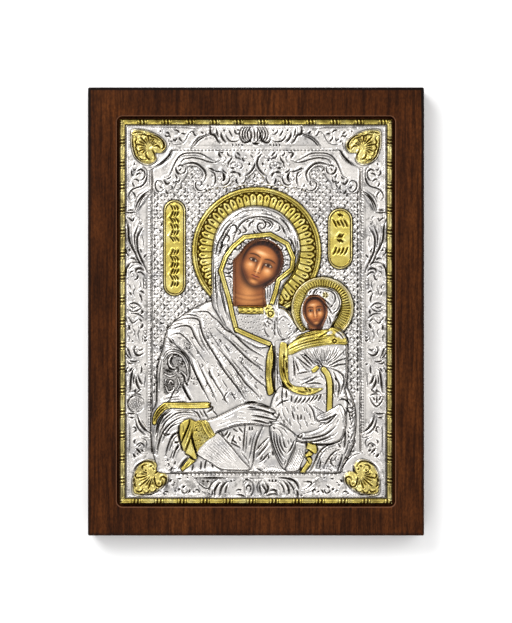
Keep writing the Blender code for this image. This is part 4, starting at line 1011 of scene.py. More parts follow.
foot_sharp = [
    [(-16.4, -97.4), (-16, -95), (-15.4, -93.4), (-14.8, -92.8)], [(-23.4, -98.4), (-23.2, -95.6)],
    [(-25.2, -96.8), (-25, -98.4)], [(-13.6, -90.2), (-13, -91.4)], [(-11.7, -90.4), (-11.6, -90.9)],
    [(-10.4, -96), (-9, -95.2), (-7.6, -95.8)], [(-10.4, -97.8), (-8.4, -98), (-6.8, -98.6), (-5.4, -99.2)],
    [(-5.2, -96), (-5, -94), (-3.6, -93), (-2.8, -94.6), (-3.2, -97)], [(2.2, -92.6), (2, -95), (2.8, -98)],
    [(12.2, -91.4), (13.8, -93), (14.8, -95.2), (15, -98)],
    [(16, -90.2), (18.4, -92.4), (20, -94.8), (20.4, -97.6)],
    [(5.6, -98.8), (7.4, -98), (9.6, -97.6), (12, -98)],
    [(25.4, -91), (29, -91), (29.6, -92.2), (27.6, -94)], [(24.2, -98.1), (24.3, -98.7)],
    [(-24.9, -95), (-24.6, -95.5)],
    [(-32.4, -90.2), (-28.6, -93.6), (-25.4, -94.8), (-24, -92.6), (-22.5, -91.2), (-20.4, -89.8)]
]
foot_faint = [
    [(-22.6, -96.4), (-21.6, -94.2), (-20, -92.2), (-18.8, -91.4)],
    [(23.4, -95.6), (27.4, -94.6), (30.6, -92), (31.8, -89.4)],
    [(-7, -94), (-6.6, -91.6), (-4.8, -90.2), (-2.4, -91), (-1.2, -94), (-1.4, -97), (-2.8, -99.2)],
    [(0.8, -97), (0.6, -94), (1.6, -91.6), (3.4, -90.4)], [(24.2, -97.8), (29, -96.6), (32.6, -94)],
    [(-9, -88.9), (0, -89.2), (7, -88.9)], [(-25, -97.6), (-29, -96.2), (-31.6, -93)]
]
fringe = (-12.7, -10.7, -9.4, -7.6, 7.5, 9.3, 10.7, 12.5)


def end_scrolls(place, flip_x):
    """Half of the leaf work at the top and bottom of the border; the bands at the top lean one way."""
    chase(end_broad, place, **broad)
    chase(end_sharp, place, **sharp)
    for i in range(4):
        x = -2.8 - 1.4 * i - 1.2 * flip_x
        arc = [(x + 0.9, 98.4), (x - 0.3, 96.4), (x - 0.6, 94.4), (x, 92.4), (x + 1.4, 90.8)]
        engrave(place(arc), 0.5, 0.34, (1, 0.8)[i % 2], ends=(0.7, 0.7), lift=0.24)
    boss = oval(-3.9, -94.8, 2.4, 4.2, np.linspace(0, 2 * math.pi, 9)[:-1])
    lay(place(boss), 0.7, edge=1.8, dark=0.5)


both_sides(end_scrolls)
stipple([(-33.4, -88.6), (-24.5, -88.5), (-17, -88.6), (-21, -90.6), (-24.4, -92.4), (-26, -94.2),
         (-29.4, -92.6)], pitch=2.4, depth=0.2, dark=0.8, tint=0.5)
chase(foot_broad, **broad)
chase(foot_sharp, **sharp)
chase(foot_faint, **faint)
for x in fringe:
    engrave([(x, 89.9), (x + 0.2, 88.3)], 0.5, 0.3, dark=0.9)


# ---------------------------------------------------------------- silver cover: edge of the field
# Just inside the string of beads the field is framed by a sharp groove, a plain band and a column of
# punched pits. Scrolls with leaves and a cluster of flowers hang from its top.
in_field = (np.abs(across) < field_x) & (np.abs(up) < 75.2)
side_band = soft_step(np.abs(across) - np.where(up < -44, 53.2, 54.9), 0.0, 0.4) * in_field
chasing = chasing * (1 - side_band) + 0.25 * side_band
oxide_and_shade = oxide_and_shade * (1 - side_band) + 0.12 * side_band
groove = np.exp(-(((np.abs(across) - 55.6) / 0.26) ** 2)) * in_field
chasing -= 0.4 * groove
oxide_and_shade = np.maximum(oxide_and_shade, 0.95 * groove)
for pit_x, lowest, deep in ((54.5, -42.6, 1.0), (-54.2, 9.0, 0.6)):
    for level in np.arange(lowest, 72.0, 3.1):
        part, distance = near(np.array([[pit_x, level], [pit_x, level + 1.1]]), 1.4)[:2]
        pit = deep * np.exp(-((distance / 0.55) ** 2))
        chasing[part] -= 0.35 * pit
        oxide_and_shade[part] = np.maximum(oxide_and_shade[part], 0.95 * pit)

scroll_broad = [
    [(-39.4, 78.2), (-37, 79.2), (-34, 79.6), (-31.6, 79), (-29.4, 77.4), (-27.6, 75.4), (-26.8, 73),
     (-27.2, 70.8), (-28, 69.4)],
    [(-18.4, 74.8), (-17.4, 73.4), (-16.9, 71.6), (-17.5, 70), (-18.8, 69.5)],
    [(-17.5, 73.2), (-17.1, 71.6), (-17.4, 70.4)], [(-25.5, 76.5), (-24.2, 76.4), (-22.4, 75.2)],
    [(-49.4, 70.4), (-48.4, 68.8), (-47.4, 68.2), (-45.8, 69.2)],
    [(-19.5, 85.5), (-19.8, 84.3), (-19.3, 83), (-18.5, 82.4)], [(-7.5, 82.5), (-6.8, 81), (-6.2, 80.2)],
    [(-10.4, 71.2), (-10.6, 69.6), (-9.8, 68)], [(-43, 77.2), (-42.6, 75.2), (-41.4, 73.8), (-39.8, 73.5)],
    [(-10, 74.4), (-8.9, 73.5), (-8.4, 72)], [(-13.4, 76.9), (-11.6, 76.7)], [(-3.4, 79.7), (-3.8, 78.2)],
    [(-3.2, 84), (-1.4, 82.2), (-0.5, 79.4), (-1.2, 76.8), (-3, 74.4), (-5.4, 72.6)]
]
scroll_sharp = [
    [(-49, 71.8), (-46.5, 72.6), (-45, 75.5), (-44, 78), (-42.4, 81), (-40.5, 83.2), (-38, 84.5),
     (-34, 84.9), (-30, 84.6), (-26, 82.6), (-23, 81), (-21, 80.3)],
    [(-40.6, 78.4), (-40, 79.8), (-38.2, 81.6), (-36, 82), (-33.4, 82.3), (-29, 81.4), (-25.5, 80.2),
     (-22, 79.8), (-19.4, 80.8), (-18, 81.2)],
    [(-39.8, 73.6), (-38.2, 74.4), (-37.6, 76), (-38, 77.4)],
    [(-41.6, 76.8), (-41.2, 78), (-39.8, 78.2), (-38.6, 77.4)], [(-41.2, 75.4), (-40.4, 75.8), (-40, 76.6)],
    [(-43.4, 73.4), (-42.6, 72), (-42.4, 70.8)], [(-45.4, 72.6), (-46, 71.6), (-47.6, 70.8)],
    [(-40.8, 72), (-40.8, 70.4), (-41.6, 69.2), (-42.8, 69.6), (-42.8, 68), (-43.6, 66)],
    [(-44.4, 69.6), (-43.6, 68.2)], [(-45.2, 67.4), (-44.6, 65.6)],
    [(-49.2, 65.6), (-50.2, 64.4), (-52, 64), (-53.4, 65.2), (-54, 67.2), (-53.4, 69.2), (-52, 70),
     (-50.4, 69.4), (-49.6, 68)],
    [(-51.8, 67.2), (-50.6, 66.2), (-49.6, 66.4)], [(-48.2, 65.2), (-47.8, 63.6), (-46.6, 62.7)],
    [(-28.4, 69), (-29.6, 69.7), (-31, 69.8), (-32.4, 68.4), (-32.2, 66.4), (-31, 65), (-29.4, 64.7),
     (-27.6, 65), (-26.6, 66)],
    [(-29.2, 69.8), (-29, 68), (-29.8, 67)], [(-26.1, 68), (-25.5, 66.7)],
    [(-22.6, 75.6), (-20.2, 74.9), (-18.6, 75)],
    [(-25.4, 76), (-24, 75), (-22.4, 74), (-21.8, 72), (-21.8, 69.4), (-22.4, 67.4), (-23.8, 66.4)],
    [(-18, 69), (-18.6, 68.2), (-17.4, 67.6), (-15.6, 68.2), (-14.4, 69.8), (-14.2, 71.6), (-14.8, 73)],
    [(-18.2, 76.2), (-17.2, 75), (-15.6, 74.2)],
    [(-15.4, 76.8), (-14.9, 78), (-14.8, 79.4), (-13.8, 80.8), (-13, 82), (-13.2, 83.6)],
    [(-19.4, 85.4), (-18, 85), (-17.2, 85.6)], [(-15.4, 85.4), (-15, 83.8), (-13.6, 83.3)],
    [(-11.4, 84), (-10.6, 82.4), (-9, 82), (-7.8, 81)], [(-10.6, 85.4), (-9.4, 84.4), (-8.2, 83)],
    [(-7.8, 79.2), (-7.5, 77.4), (-8.6, 76.2)], [(-11.2, 78.6), (-10.8, 78.1)], [(-10.2, 78), (-9.6, 77.4)],
    [(-12.8, 75.2), (-10.8, 74.8)], [(-5.8, 72.4), (-5.4, 70.8), (-6.2, 69), (-7.8, 68.2)],
    [(-12.2, 65.8), (-10, 66)], [(-8.8, 66.8), (-8, 66.2)], [(-13.8, 74.4), (-11.8, 74.4), (-10, 74.4)],
    [(-25, 65.8), (-24, 64.4)], [(-27, 65.2), (-26, 64)]
]
scroll_faint = [
    [(-35.2, 77.9), (-33.4, 77.4), (-31.4, 77.5)],
    [(-42, 79.6), (-40.6, 81.8), (-38, 83.4), (-33, 83.6), (-28, 82.8)], [(-24.2, 73.4), (-22.8, 72)],
    [(-5, 68.6), (-1, 68.6)], [(-17.4, 79.4), (-16, 81.6), (-17.2, 83.4)], [(-5.6, 76.4), (-4.4, 74.8)],
    [(-14, 78.4), (-12, 79.8), (-10, 80.4)], [(-14.4, 70.6), (-12.6, 72.4), (-11, 72.6)],
    [(-2.6, 85.6), (-0.6, 83.6)]
]
scroll_ground = [
    (-19, 86.8), (-30, 86.9), (-42.8, 86.6), (-46.2, 82.2), (-50.6, 78.6), (-55.2, 76.2), (-55.3, 70),
    (-55.2, 65), (-52, 63), (-48, 63.2), (-45, 65.4), (-41, 65.4), (-39.4, 69), (-36.8, 73), (-36.4, 76.8),
    (-33.6, 77.8), (-30, 76), (-28.8, 73), (-30, 70.8), (-33.2, 69.6), (-33.6, 66), (-30.6, 63.8),
    (-26.6, 64.2), (-22.4, 66), (-18, 66.2), (-13.6, 67.4), (-12, 70), (-9.6, 67), (-6.2, 67.6), (-4.2, 71),
    (-1.2, 74.6), (0, 77), (0.4, 86.6)
]


def field_scrolls(place, flip_x):
    """Half of the scrolls and flowers that hang from the top of the field."""
    lay(place(scroll_ground), 0.75, edge=1.2, dark=0.22)
    chase(scroll_broad, place, **broad)
    chase(scroll_sharp, place, **sharp)
    chase(scroll_faint, place, **faint)
    beads([(-19.6, 71.4)], 1.0, 0.5, 0.9, place)
    berries = [(-34.8, 76), (-32.4, 76), (-33.2, 73.6), (-35, 72), (-31, 74.4), (-51.4, 68.2), (-30.2, 68.2),
                 (-17.4, 78.8), (-9, 78.8), (-5.6, 82.6), (-21.2, 66.4)]
    beads(berries, 0.8, 0.35, 0.7, place)


both_sides(field_scrolls)

# Above and below the field the string of beads gives way to a plain band with a row of fine pricks.
plain_band = (np.abs(across) < 43) * soft_step(np.abs(up), 85.6, 86.4) * soft_step(-np.abs(up), -88.6, -88.2)
chasing *= 1 - plain_band
oxide_and_shade *= 1 - 0.8 * plain_band
prick_level = np.where(up > 0, 86.3, 87.4)
prick_width = np.where(up > 0, 0.42, 0.5)
row_of_pricks = np.exp(-(((np.abs(up) - prick_level) / prick_width) ** 2)) * (np.abs(across) < 43)
row_of_pricks *= 0.5 + 0.5 * np.cos(2 * np.pi * across / np.where(up > 0, 1.9, 2.15))
oxide_and_shade = np.maximum(oxide_and_shade, 0.85 * row_of_pricks)
oxide_and_shade = np.maximum(oxide_and_shade, 0.72 * np.exp(-(((up - 86.3) / 0.32) ** 2)) * (np.abs(across) < 43))
chasing -= 0.2 * row_of_pricks
foot_line = np.exp(-(((up + 85.9) / 0.34) ** 2)) * (np.abs(across) < 50)
foot_line *= 0.72 + 0.28 * np.sin(1.9 * across)
oxide_and_shade = np.maximum(oxide_and_shade, foot_line)
chasing -= 0.2 * foot_line


# ---------------------------------------------------------------- silver cover: name plates
# Two long gilded plates with round ends stand beside the large halo, each with a plain raised rim and a
# smooth floor. They are filled with rows of short slanting ticks.
smooth_floor = np.zeros(across.shape, bool)


def plate(x_low, x_high, y_low, y_high):
    """A long gilded plate with a raised rim."""
    middle, radius = (x_low + x_high) / 2, (x_high - x_low) / 2
    for inset, level, gold in ((0.0, 1.15, 0.8), (1.25, 0.75, 1.0)):
        angles = np.linspace(0, np.pi, 13)
        r = radius - inset
        outline = oval(middle, y_high - radius, r, r, angles) + oval(middle, y_low + radius, -r, -r, angles)
        lay(outline, level, edge=0.7, gold=gold, dark=0.95, smooth=False)
    smooth_floor[...] |= enclosed(np.array(outline), np.s_[:, :])


plate(-49.6, -37.6, 8.2, 59.9)
plate(38.4, 51.8, 22.5, 55.4)


def ticks(x, y, size, lean, count):
    """A little group of slanting, slightly curved ticks, side by side."""
    for i in range(count):
        middle = x + (i - (count - 1) / 2) * 1.25 * size
        length = size * (1.25, 0.85, 1.1)[i % 3]
        tick = [(middle - lean * length, y + length), (middle + 0.25, y),
                (middle + lean * length, y - length)]
        engrave(tick, 0.62, 0.36, 1.0, ends=(0.85, 0.5), lift=0.2)


for i, y in enumerate(np.linspace(55.4, 38.6, 6)):
    ticks(-43.6, y, 1.15, (0.45, -0.45, 0.7)[i % 3], 3)
for i, y in enumerate(np.linspace(31.6, 14.4, 6)):
    ticks(-43.6, y, 1.15, (-0.5, 0.6, -0.35)[i % 3], 3)
for y, size, lean, count in ((51.4, 0.6, 0.8, 3), (46.9, 1.6, 0.45, 4), (40.4, 0.75, -0.9, 3),
                             (37.6, 0.75, 0.9, 3), (32.2, 1.6, -0.45, 4)):
    ticks(45.1, y, size, lean, count)


# ---------------------------------------------------------------- silver cover: the rail
# The gilded rail at the outer edge, like split bamboo tied with double rings. Each length between two knots
# has a long shallow split in it, and a raised line and a row of pricked dots run along its inner side.
rail, rail_middle = 3.1, 1.55
on_rail = from_edge < rail
upright = edge_x < edge_y
knot_gap = np.where(upright, 12.1, np.where(up > 0, 12.9, 12.3))
first_knot = np.where(upright, 6.2, np.where(up > 0, 3.6, -2.6))
knot_at = (np.where(upright, up, across) - first_knot - 0.10 * (from_edge - rail_middle)) / knot_gap
from_knot = np.abs(knot_at - np.round(knot_at)) * knot_gap
crown = np.sqrt(np.clip(1 - ((from_edge - rail_middle) / 1.6) ** 2, 0, 1))
rung = np.exp(-((from_knot / 0.42) ** 2)) + np.exp(-(((from_knot - 1.75) / 0.36) ** 2))
notch = np.exp(-(((from_knot - 0.9) / 0.38) ** 2))
outer_notch = np.exp(-(((from_knot - 2.45) / 0.32) ** 2))
between = soft_step(from_knot, 2.6, 3.4)
split = np.exp(-(((from_edge - rail_middle) / 0.36) ** 2)) * between
lines = np.exp(-(((np.abs(from_edge - rail_middle) - 0.95) / 0.2) ** 2)) * between
wander = 0.5 + 0.5 * np.sin(0.61 * up + 2.3 * np.sin(0.37 * across) + 0.53 * across)
form = np.where(on_rail, 0.35, form)
cuts = 0.34 * notch + 0.20 * outer_notch + 0.26 * split + 0.08 * lines
chasing = np.where(on_rail, 1.15 * crown + 0.22 * rung - cuts, chasing)
gilding[on_rail] = np.where(upright, 0.86, 1.0)[on_rail]
# Painted shade darkens the outer half of the rail. The rail is also darker along the top and lighter up the
# sides, over the dark of its notches and split.
rail_shade = 0.14 + 0.22 * wander + 0.30 * soft_step(rail_middle - 0.2 - from_edge, 0.0, 0.9)
rail_shade += 0.16 * (up > 98) - 0.08 * upright
rail_shade = np.maximum(rail_shade, np.maximum(1.2 * notch, 0.8 * outer_notch))
rail_shade = np.maximum(rail_shade, np.maximum((0.45 + 0.35 * wander) * split, 0.42 * lines))
rail_shade *= 1 - 0.75 * np.clip(rung, 0, 1)
oxide_and_shade = np.where(on_rail, rail_shade, oxide_and_shade)
oxide_and_shade = np.maximum(oxide_and_shade, 0.95 * np.exp(-(((from_edge - rail) / 0.34) ** 2)))
# Painted shade along the outer edge of the sheet, lighter on the upright sides.
oxide_and_shade = np.maximum(oxide_and_shade, (0.95 - 0.4 * upright) * soft_step(0.8 - from_edge, 0.0, 0.7))

# Inside the rail: a thin raised line, then a line of fine pricked dots.
chasing += 0.40 * np.exp(-(((from_edge - 3.85) / 0.34) ** 2))
along_rail = 2 * np.pi * np.where(upright, up, across) / 0.95
pricks = np.exp(-(((from_edge - 4.9) / 0.3) ** 2)) * (0.5 + 0.5 * np.cos(along_rail))
chasing -= 0.15 * pricks
oxide_and_shade = np.maximum(oxide_and_shade, 0.55 * pricks)


# ---------------------------------------------------------------- silver cover: haloes
# Two gilded haloes, each a raised double rim round a ring of small pointed petals with a slot in each. They
# stand behind the heads, so the heads and shoulders are laid over them later.
def halo(centre, radius, rim, petals, petal_out, petal_in, level, worn):
    """A gilded halo: a broad rim, a thin ring inside it and flat pointed petals with a slot in each."""
    angles = np.linspace(0, 2 * np.pi, 73)[:-1]
    lay(oval(*centre, radius, radius, angles), level, edge=0.8, gold=1.0, dark=0.9, smooth=False)
    r = np.hypot(across - centre[0], up - centre[1])
    direction = np.arctan2(up - centre[1], across - centre[0])
    turn = direction * petals / (2 * np.pi)
    rubbed_and_painted_light = worn * (0.5 - 0.5 * np.cos(direction - 0.4))
    part = 2 * (turn - np.floor(turn)) - 1
    width = np.pi * np.maximum(r, 1) / petals
    within = r < radius - 0.3
    long = petal_out - petal_in

    # The broad rim slopes gently, with a line in it, and the thin ring stands sharp against the dark.
    rim_in = radius - rim
    rim_at = np.clip((r - rim_in) / rim, 0, 1)
    on_rim = soft_step(r, rim_in, rim_in + 0.25)
    ring_wide = 0.26 * rim
    ring = np.sqrt(np.clip(1 - ((r - rim_in + 0.6 * ring_wide) / (0.62 * ring_wide)) ** 2, 0, 1))
    line = np.exp(-(((r - rim_in - 0.12 * rim) / 0.20) ** 2))
    relief = on_rim * 0.62 * np.sin(np.pi * np.clip(rim_at, 0.08, 0.92)) + 0.60 * ring - 0.22 * line
    shade = np.maximum(0.72 * line, 0.10 * soft_step(rim_at, 0.45, 0.95))

    # Petals with a blunt point, a small leaf between each two points, and a slot that fades inwards.
    tip = petal_out - 0.24 * long * np.clip(np.abs(part) - 0.2, 0, 1) / 0.8
    body = soft_step(tip - r, 0.0, 0.32) * soft_step(r, petal_in - 0.3, petal_in + 0.3)
    split = soft_step((1 - np.abs(part)) * width, 0.12, 0.50)
    pocket = np.hypot((1 - np.abs(part)) * width / 0.85, (r - petal_out - 0.01 * long) / 0.45)
    slot_out, slot_in = petal_out - 0.19 * long, petal_out - 0.64 * long
    slot = np.exp(-((part * width / 0.33) ** 2))
    slot = slot * soft_step(slot_out - r, -0.1, 0.3) * soft_step(r, slot_in, slot_in + 0.28 * long)
    slot = np.clip(2.0 * slot, 0, 1) * (1 - worn)
    relief += 0.46 * body * split - 0.30 * slot * body + 0.16 * np.clip(1 - pocket, 0, 1)
    petal_shade = 1 - np.maximum(body * split, 0.8 * np.clip(1.3 - pocket, 0, 1))
    petal_shade = np.where(r > petal_in - 0.5, petal_shade, 0.15)
    petal_shade = np.where((np.abs(part) > 0.5) & (r < petal_in + 0.6 * long), 0.80 * petal_shade,
                           petal_shade)
    petal_shade = np.maximum(petal_shade * (1 - ring), slot * body)
    petal_shade = np.clip(petal_shade, 0, 1) * (1 - 0.75 * rubbed_and_painted_light) * (1 - 0.22 * worn) + 0.12 * worn
    shade = np.where(r > rim_in, shade * (1 - 0.8 * worn), petal_shade)
    chasing[within] = relief[within]
    oxide_and_shade[within] = shade[within]
    gilding[within & (r > rim_in)] = 1.0 - 0.42 * worn


mother_halo = ((0.3, 32), 34.8, 2.1, 48, 31.2, 23.6, 1.0, 0.0)
child_halo = ((35.5, 1.8), 17.0, 1.6, 62, 15.0, 10.6, 1.5, 1.0)
halo(*mother_halo)


# ---------------------------------------------------------------- silver cover: the mother's robe
# The seated half figure is pushed up from behind in one broad swelling, its cloth laid in long folds from
# the shoulder to the lap. Small curls are pricked over the cloth, and a scroll fills the upper sleeve.
robe = [
    (-24, 6), (-29.5, 3.6), (-35, 1), (-40, -2.4), (-44, -5.5), (-47.4, -9.2), (-48.6, -13), (-50.4, -21),
    (-52.6, -29), (-53.2, -38), (-53.6, -49), (-55.6, -53.4), (-56.4, -58), (-56.2, -68), (-55, -76),
    (-53, -82), (-50, -86.3), (-20, -86.5), (10, -86.5), (30, -86.5), (44.5, -86.3), (46.4, -82.6),
    (49.6, -77.6), (52.4, -70), (53.6, -60), (53, -51), (51, -45), (48.6, -39), (48, -30), (44, -18),
    (34, -10), (24, -4), (14, 3), (0, 8), (-12, 8)
]
lay(robe, 1.9, edge=5.0, dark=0.9)

folds_deep = [
    [(-24, -2), (-20, -5.5), (-16.5, -9.5), (-12, -12), (-8, -16), (-4, -19.5), (0, -22), (4.5, -24.5)],
    [(-18, -13), (-14, -16), (-10, -20), (-6, -24), (-2, -27.3), (1, -29.5), (4.2, -32.2)],
    [(-20, -20), (-15, -26), (-9.5, -33), (-6, -38), (-3, -41), (0, -44), (2.5, -47.2)],
    [(-21, -27), (-17, -32), (-13, -37), (-10, -41), (-8, -44), (-6, -47.3)],
    [(-43.5, -5), (-38, -3.8), (-33, -3.6), (-30.5, -5), (-29.5, -9), (-28, -13.5), (-25.5, -18),
     (-22, -23.5), (-18, -29)],
    [(-44, -9), (-39, -7.7), (-36, -7.9), (-34.5, -9.5), (-33, -13), (-30.5, -17.5), (-28, -21)],
    [(-47, -14.5), (-44, -17), (-41, -20), (-38, -22.5), (-36, -25), (-34, -30), (-31.5, -35), (-29, -40),
     (-26.5, -45), (-25, -48)]
]
folds_light = [
    [(-17, -18), (-14, -21.8)], [(-10, -26), (-6, -30), (-2, -34.5), (2, -38), (4.5, -40), (6, -44.3)],
    [(-24, -20), (-20, -27), (-16.5, -32)],
    [(-46.5, -13), (-42, -11.8), (-40, -12.2), (-37, -15), (-33.5, -19)],
    [(-33.5, 0), (-28, 0), (-25.5, -0.5), (-22.5, -4)],
    [(-40, -37), (-38, -42), (-36.5, -45.5), (-35, -47.5)], [(-15, -43), (-17, -46), (-16, -49)],
    [(-13.5, -43), (-11, -47.5)], [(-24.5, -30), (-25, -34), (-22, -37)],
    [(-26, -30), (-22.4, -37.6), (-18.6, -43.6), (-15.2, -49.6)],
    [(-37.6, -1.6), (-33.6, -1.9), (-29.4, -3.2)], [(-46.6, -48.4), (-44.4, -44), (-42.8, -40.6)],
    [(-31.6, -26), (-28.6, -33), (-24, -42), (-21, -48.6)]
]
for points in folds_deep:
    fold(points, reach=1.8, rise=0.46, width=0.50, depth=0.5, ends=(0.5, 0.4))
for points in folds_light:
    fold(points, reach=1.3, rise=0.34, width=0.42, depth=0.36, ends=(0.4, 0.3))
chase([
    [(-20, -1), (-16, -6), (-13, -10)], [(-22.5, -8), (-18.6, -11.6), (-15, -14)],
    [(-6, -14.4), (-1, -18.4), (3, -20.6)], [(-14, -14), (-9, -18.4), (-4.4, -22.4)],
    [(-26, -9), (-22, -15.4), (-17.6, -21.6)], [(-2.8, -25), (1, -27.6), (4.4, -29.4)],
    [(-13.6, -24.6), (-9.6, -29.6), (-5.6, -34.4)],
    [(-31.4, -8), (-30, -13), (-27.4, -18.4), (-24.4, -23.6)], [(-12.4, -31.4), (-9, -36.4), (-5.6, -41.4)],
    [(-16.4, -29.6), (-12.8, -34.6), (-10.4, -38.6)], [(1.4, -33.6), (4.6, -36.4)],
    [(-36.4, -12.4), (-33.6, -17.4), (-30, -23), (-26.4, -28.4)],
    [(-39, -17.6), (-35.4, -21.6), (-32, -26.4)], [(-33.6, -31), (-30.4, -37.6), (-27.6, -44)],
    [(-18.6, -36), (-15, -41.4)], [(-52, -23), (-53, -31), (-53.4, -41), (-53.2, -48)],
    [(-50.6, -17.4), (-51.4, -22)], [(-45.6, -7.6), (-41.6, -6.4), (-37, -6.2)], [(-8.6, -40), (-6, -44.4)],
    [(-1.4, -38.6), (1, -41.6)]
], **faint)
chase([
    [(-8.6, -24.4), (-7.2, -25.6), (-7.8, -27.4), (-6, -28.4)], [(-1.4, -24), (0.6, -24.8), (-0.4, -26.6)],
    [(-10.6, -32.4), (-9.4, -33.6), (-10.2, -34.8)], [(-3.8, -34.6), (-2.4, -35.4), (-3.2, -36.6)],
    [(-0.6, -37.4), (0.8, -38.4)], [(-34.6, -13.6), (-33.4, -14.8)],
    [(-36.8, -17.4), (-35.2, -18), (-35.8, -20)], [(-31.8, -20.6), (-30.8, -22), (-32, -23)],
    [(-26.8, -12.6), (-25.4, -13.6), (-26, -15)], [(-24, -16.4), (-22.6, -17.6)],
    [(-20.2, -14.6), (-18.8, -15.8), (-19.6, -17)], [(-27, -37.6), (-26, -39), (-27, -40.6)],
    [(-21, -32.6), (-19.8, -33.8), (-20.4, -35.2)], [(-35, -35), (-33.8, -36.4)],
    [(-5.8, -20.6), (-4.6, -21.4)], [(-12.6, -17.4), (-11.2, -18)], [(-18.4, -46.4), (-17.2, -47.4)],
    [(-23.8, -44), (-22.8, -46)], [(2.2, -44.4), (3.4, -45.6)],
    [(-29.6, -27.4), (-28.4, -29), (-29.2, -30.6)], [(-41.4, -14.6), (-39.8, -14.8)]
], width=0.42, depth=0.24, dark=0.85, lift=0.14)
for patch in (
    [(-39, -16), (-35, -15.6), (-33, -20), (-36, -22), (-39, -19.6)],
    [(-28.4, -3), (-24, -3.6), (-22.6, -12), (-26, -15), (-28.4, -8)],
    [(-37, -32.6), (-32.6, -33), (-30.6, -38), (-33, -40), (-36, -37)],
    [(-26, -39), (-22.6, -39.6), (-20.4, -44), (-24.6, -44)],
    [(-12, -25), (-8, -23), (0, -29), (1, -33), (-6, -29)], [(-15, -36), (-11, -33), (-4, -42), (-7, -46)]
):
    stipple(patch, pitch=1.3, tint=0.05)

# Scroll on the upper sleeve, in a darkened ground.
sleeve_field = [(-50.2, -24), (-47, -20.6), (-43, -20.4), (-39.4, -22.8), (-37.2, -27), (-36.2, -33),
                (-37.4, -39), (-41, -44), (-46, -45.4), (-50.4, -43.6), (-51.2, -36), (-50.8, -29)]
stipple(sleeve_field, pitch=1.4, fade=1.6, tint=0.36)
for patch, tint in (
    ([(-50.2, -29), (-47.6, -29.4), (-43.6, -31.4), (-43.4, -33.4), (-48, -34), (-50.4, -33)], 0.62),
    ([(-49.8, -36), (-46.4, -35.4), (-42.6, -36.6), (-43.4, -41), (-46, -44.6), (-49.6, -44)], 0.66),
    ([(-48.6, -24.6), (-46.6, -22), (-42.4, -21.8), (-43.6, -23.6), (-46.6, -25.4), (-47.6, -28.4)], 0.55),
    ([(-43.4, -25.6), (-40.6, -25), (-38.6, -28), (-40, -31), (-42.6, -29.4)], 0.45),
    ([(-42.8, -33.4), (-40.6, -34), (-39.6, -37), (-41.6, -38.4), (-43, -36)], 0.55),
):
    stipple(patch, pitch=1.3, fade=1.0, tint=tint)
for points, width in (
    ([(-42, -23.7), (-44.5, -23.9), (-46.4, -25.8), (-46.4, -28.2), (-45, -29.9), (-43, -30.2)], 1.3),
    ([(-49.4, -26.4), (-46.8, -22.8), (-43.4, -22), (-40.2, -23.4), (-37.9, -27), (-36.6, -31.4),
      (-36.4, -36.4)], 0.9), ([(-41, -31.6), (-39.4, -32.4), (-37.4, -35), (-37.2, -38.6)], 0.9),
    ([(-49, -33.4), (-46, -34.6), (-43, -33.8)], 0.9),
    ([(-46.8, -38.8), (-45.6, -36.9), (-44.2, -38.4)], 0.8),
    ([(-48.2, -40), (-47, -42.8), (-44.4, -42.4), (-43.8, -40.4)], 0.8),
    ([(-48, -36), (-48.8, -38.6)], 0.7), ([(-41, -26.8), (-39.2, -28.2)], 0.7),
    ([(-42, -35.4), (-41, -39), (-42.4, -42)], 0.9)
):
    emboss(points, width, 0.42, ends=(0.4, 0.4), outline=0.9)
chase([
    [(-50, -24.4), (-48.2, -21.6), (-45.4, -20.3), (-42, -20.6), (-39, -22.5), (-36.5, -26), (-35.5, -30),
     (-35.4, -35), (-36.6, -39.6)],
    [(-40.2, -25), (-42.4, -23.2), (-44.8, -24.4), (-45.4, -26.6), (-44.6, -28.2), (-43.4, -29.4)],
    [(-47.6, -26), (-47.1, -28.8), (-45.6, -30.8), (-43, -31.2)],
    [(-42.8, -29), (-41.6, -30.6), (-42, -32.6)],
    [(-41.8, -32.8), (-39.6, -33.6), (-38.4, -36), (-38.6, -38.4), (-39.6, -39.4)],
    [(-49.4, -31), (-46.6, -31.8), (-44.4, -32.4)], [(-45.2, -38.2), (-44, -39.4)],
    [(-46.4, -15.4), (-44.4, -17.4)], [(-45, -14.7), (-44.2, -16)], [(-37.4, -37.6), (-36.6, -39.8)],
    [(-39.6, -26), (-37.8, -28)], [(-40.4, -27.4), (-38.6, -28.4)]
], **sharp)
engrave([(-39.8, -39.2), (-37.6, -43), (-35.2, -47.2)], 0.8, 0.5, 1.0, ends=(0.5, 0.9), lift=0.2)
chase([
    [(-42, -17.6), (-40.4, -20.4), (-37.6, -24.4), (-36.2, -26.4)],
    [(-41, -18.6), (-38.4, -21.6), (-35.8, -25.4)], [(-34.8, -25), (-33, -31), (-30.6, -37), (-28, -42)],
    [(-48, -18), (-44.4, -18.4), (-41.4, -20)], [(-47.4, -19.6), (-44, -19.4)],
    [(-50.8, -48), (-47, -46.6), (-43, -45.6), (-38, -45)], [(-48, -48.4), (-44, -47.2), (-38.6, -46.6)],
    [(-44, -48.4), (-36, -48)], [(-42.6, -44.4), (-40.8, -42)], [(-49, -46.4), (-45.4, -45.6)],
    [(-53.3, -34), (-54.2, -41), (-54.2, -48)], [(-52, -33), (-52.9, -41), (-53, -49)],
    [(-50.6, -26), (-51.6, -33), (-51.9, -42)], [(-46.6, -16.4), (-45, -18.6)],
    [(-42.4, -13.4), (-39.8, -14.2)]
], **faint)
stipple([(-39.4, -15), (-36, -15.6), (-33.6, -20.6), (-36.2, -22.4), (-38.6, -19.4)], pitch=1.3, tint=0.3)
stipple([(-35, -33.8), (-31.6, -34.2), (-30.4, -38.6), (-34.2, -39.4)], pitch=1.5, dark=1.0, fade=0.3)


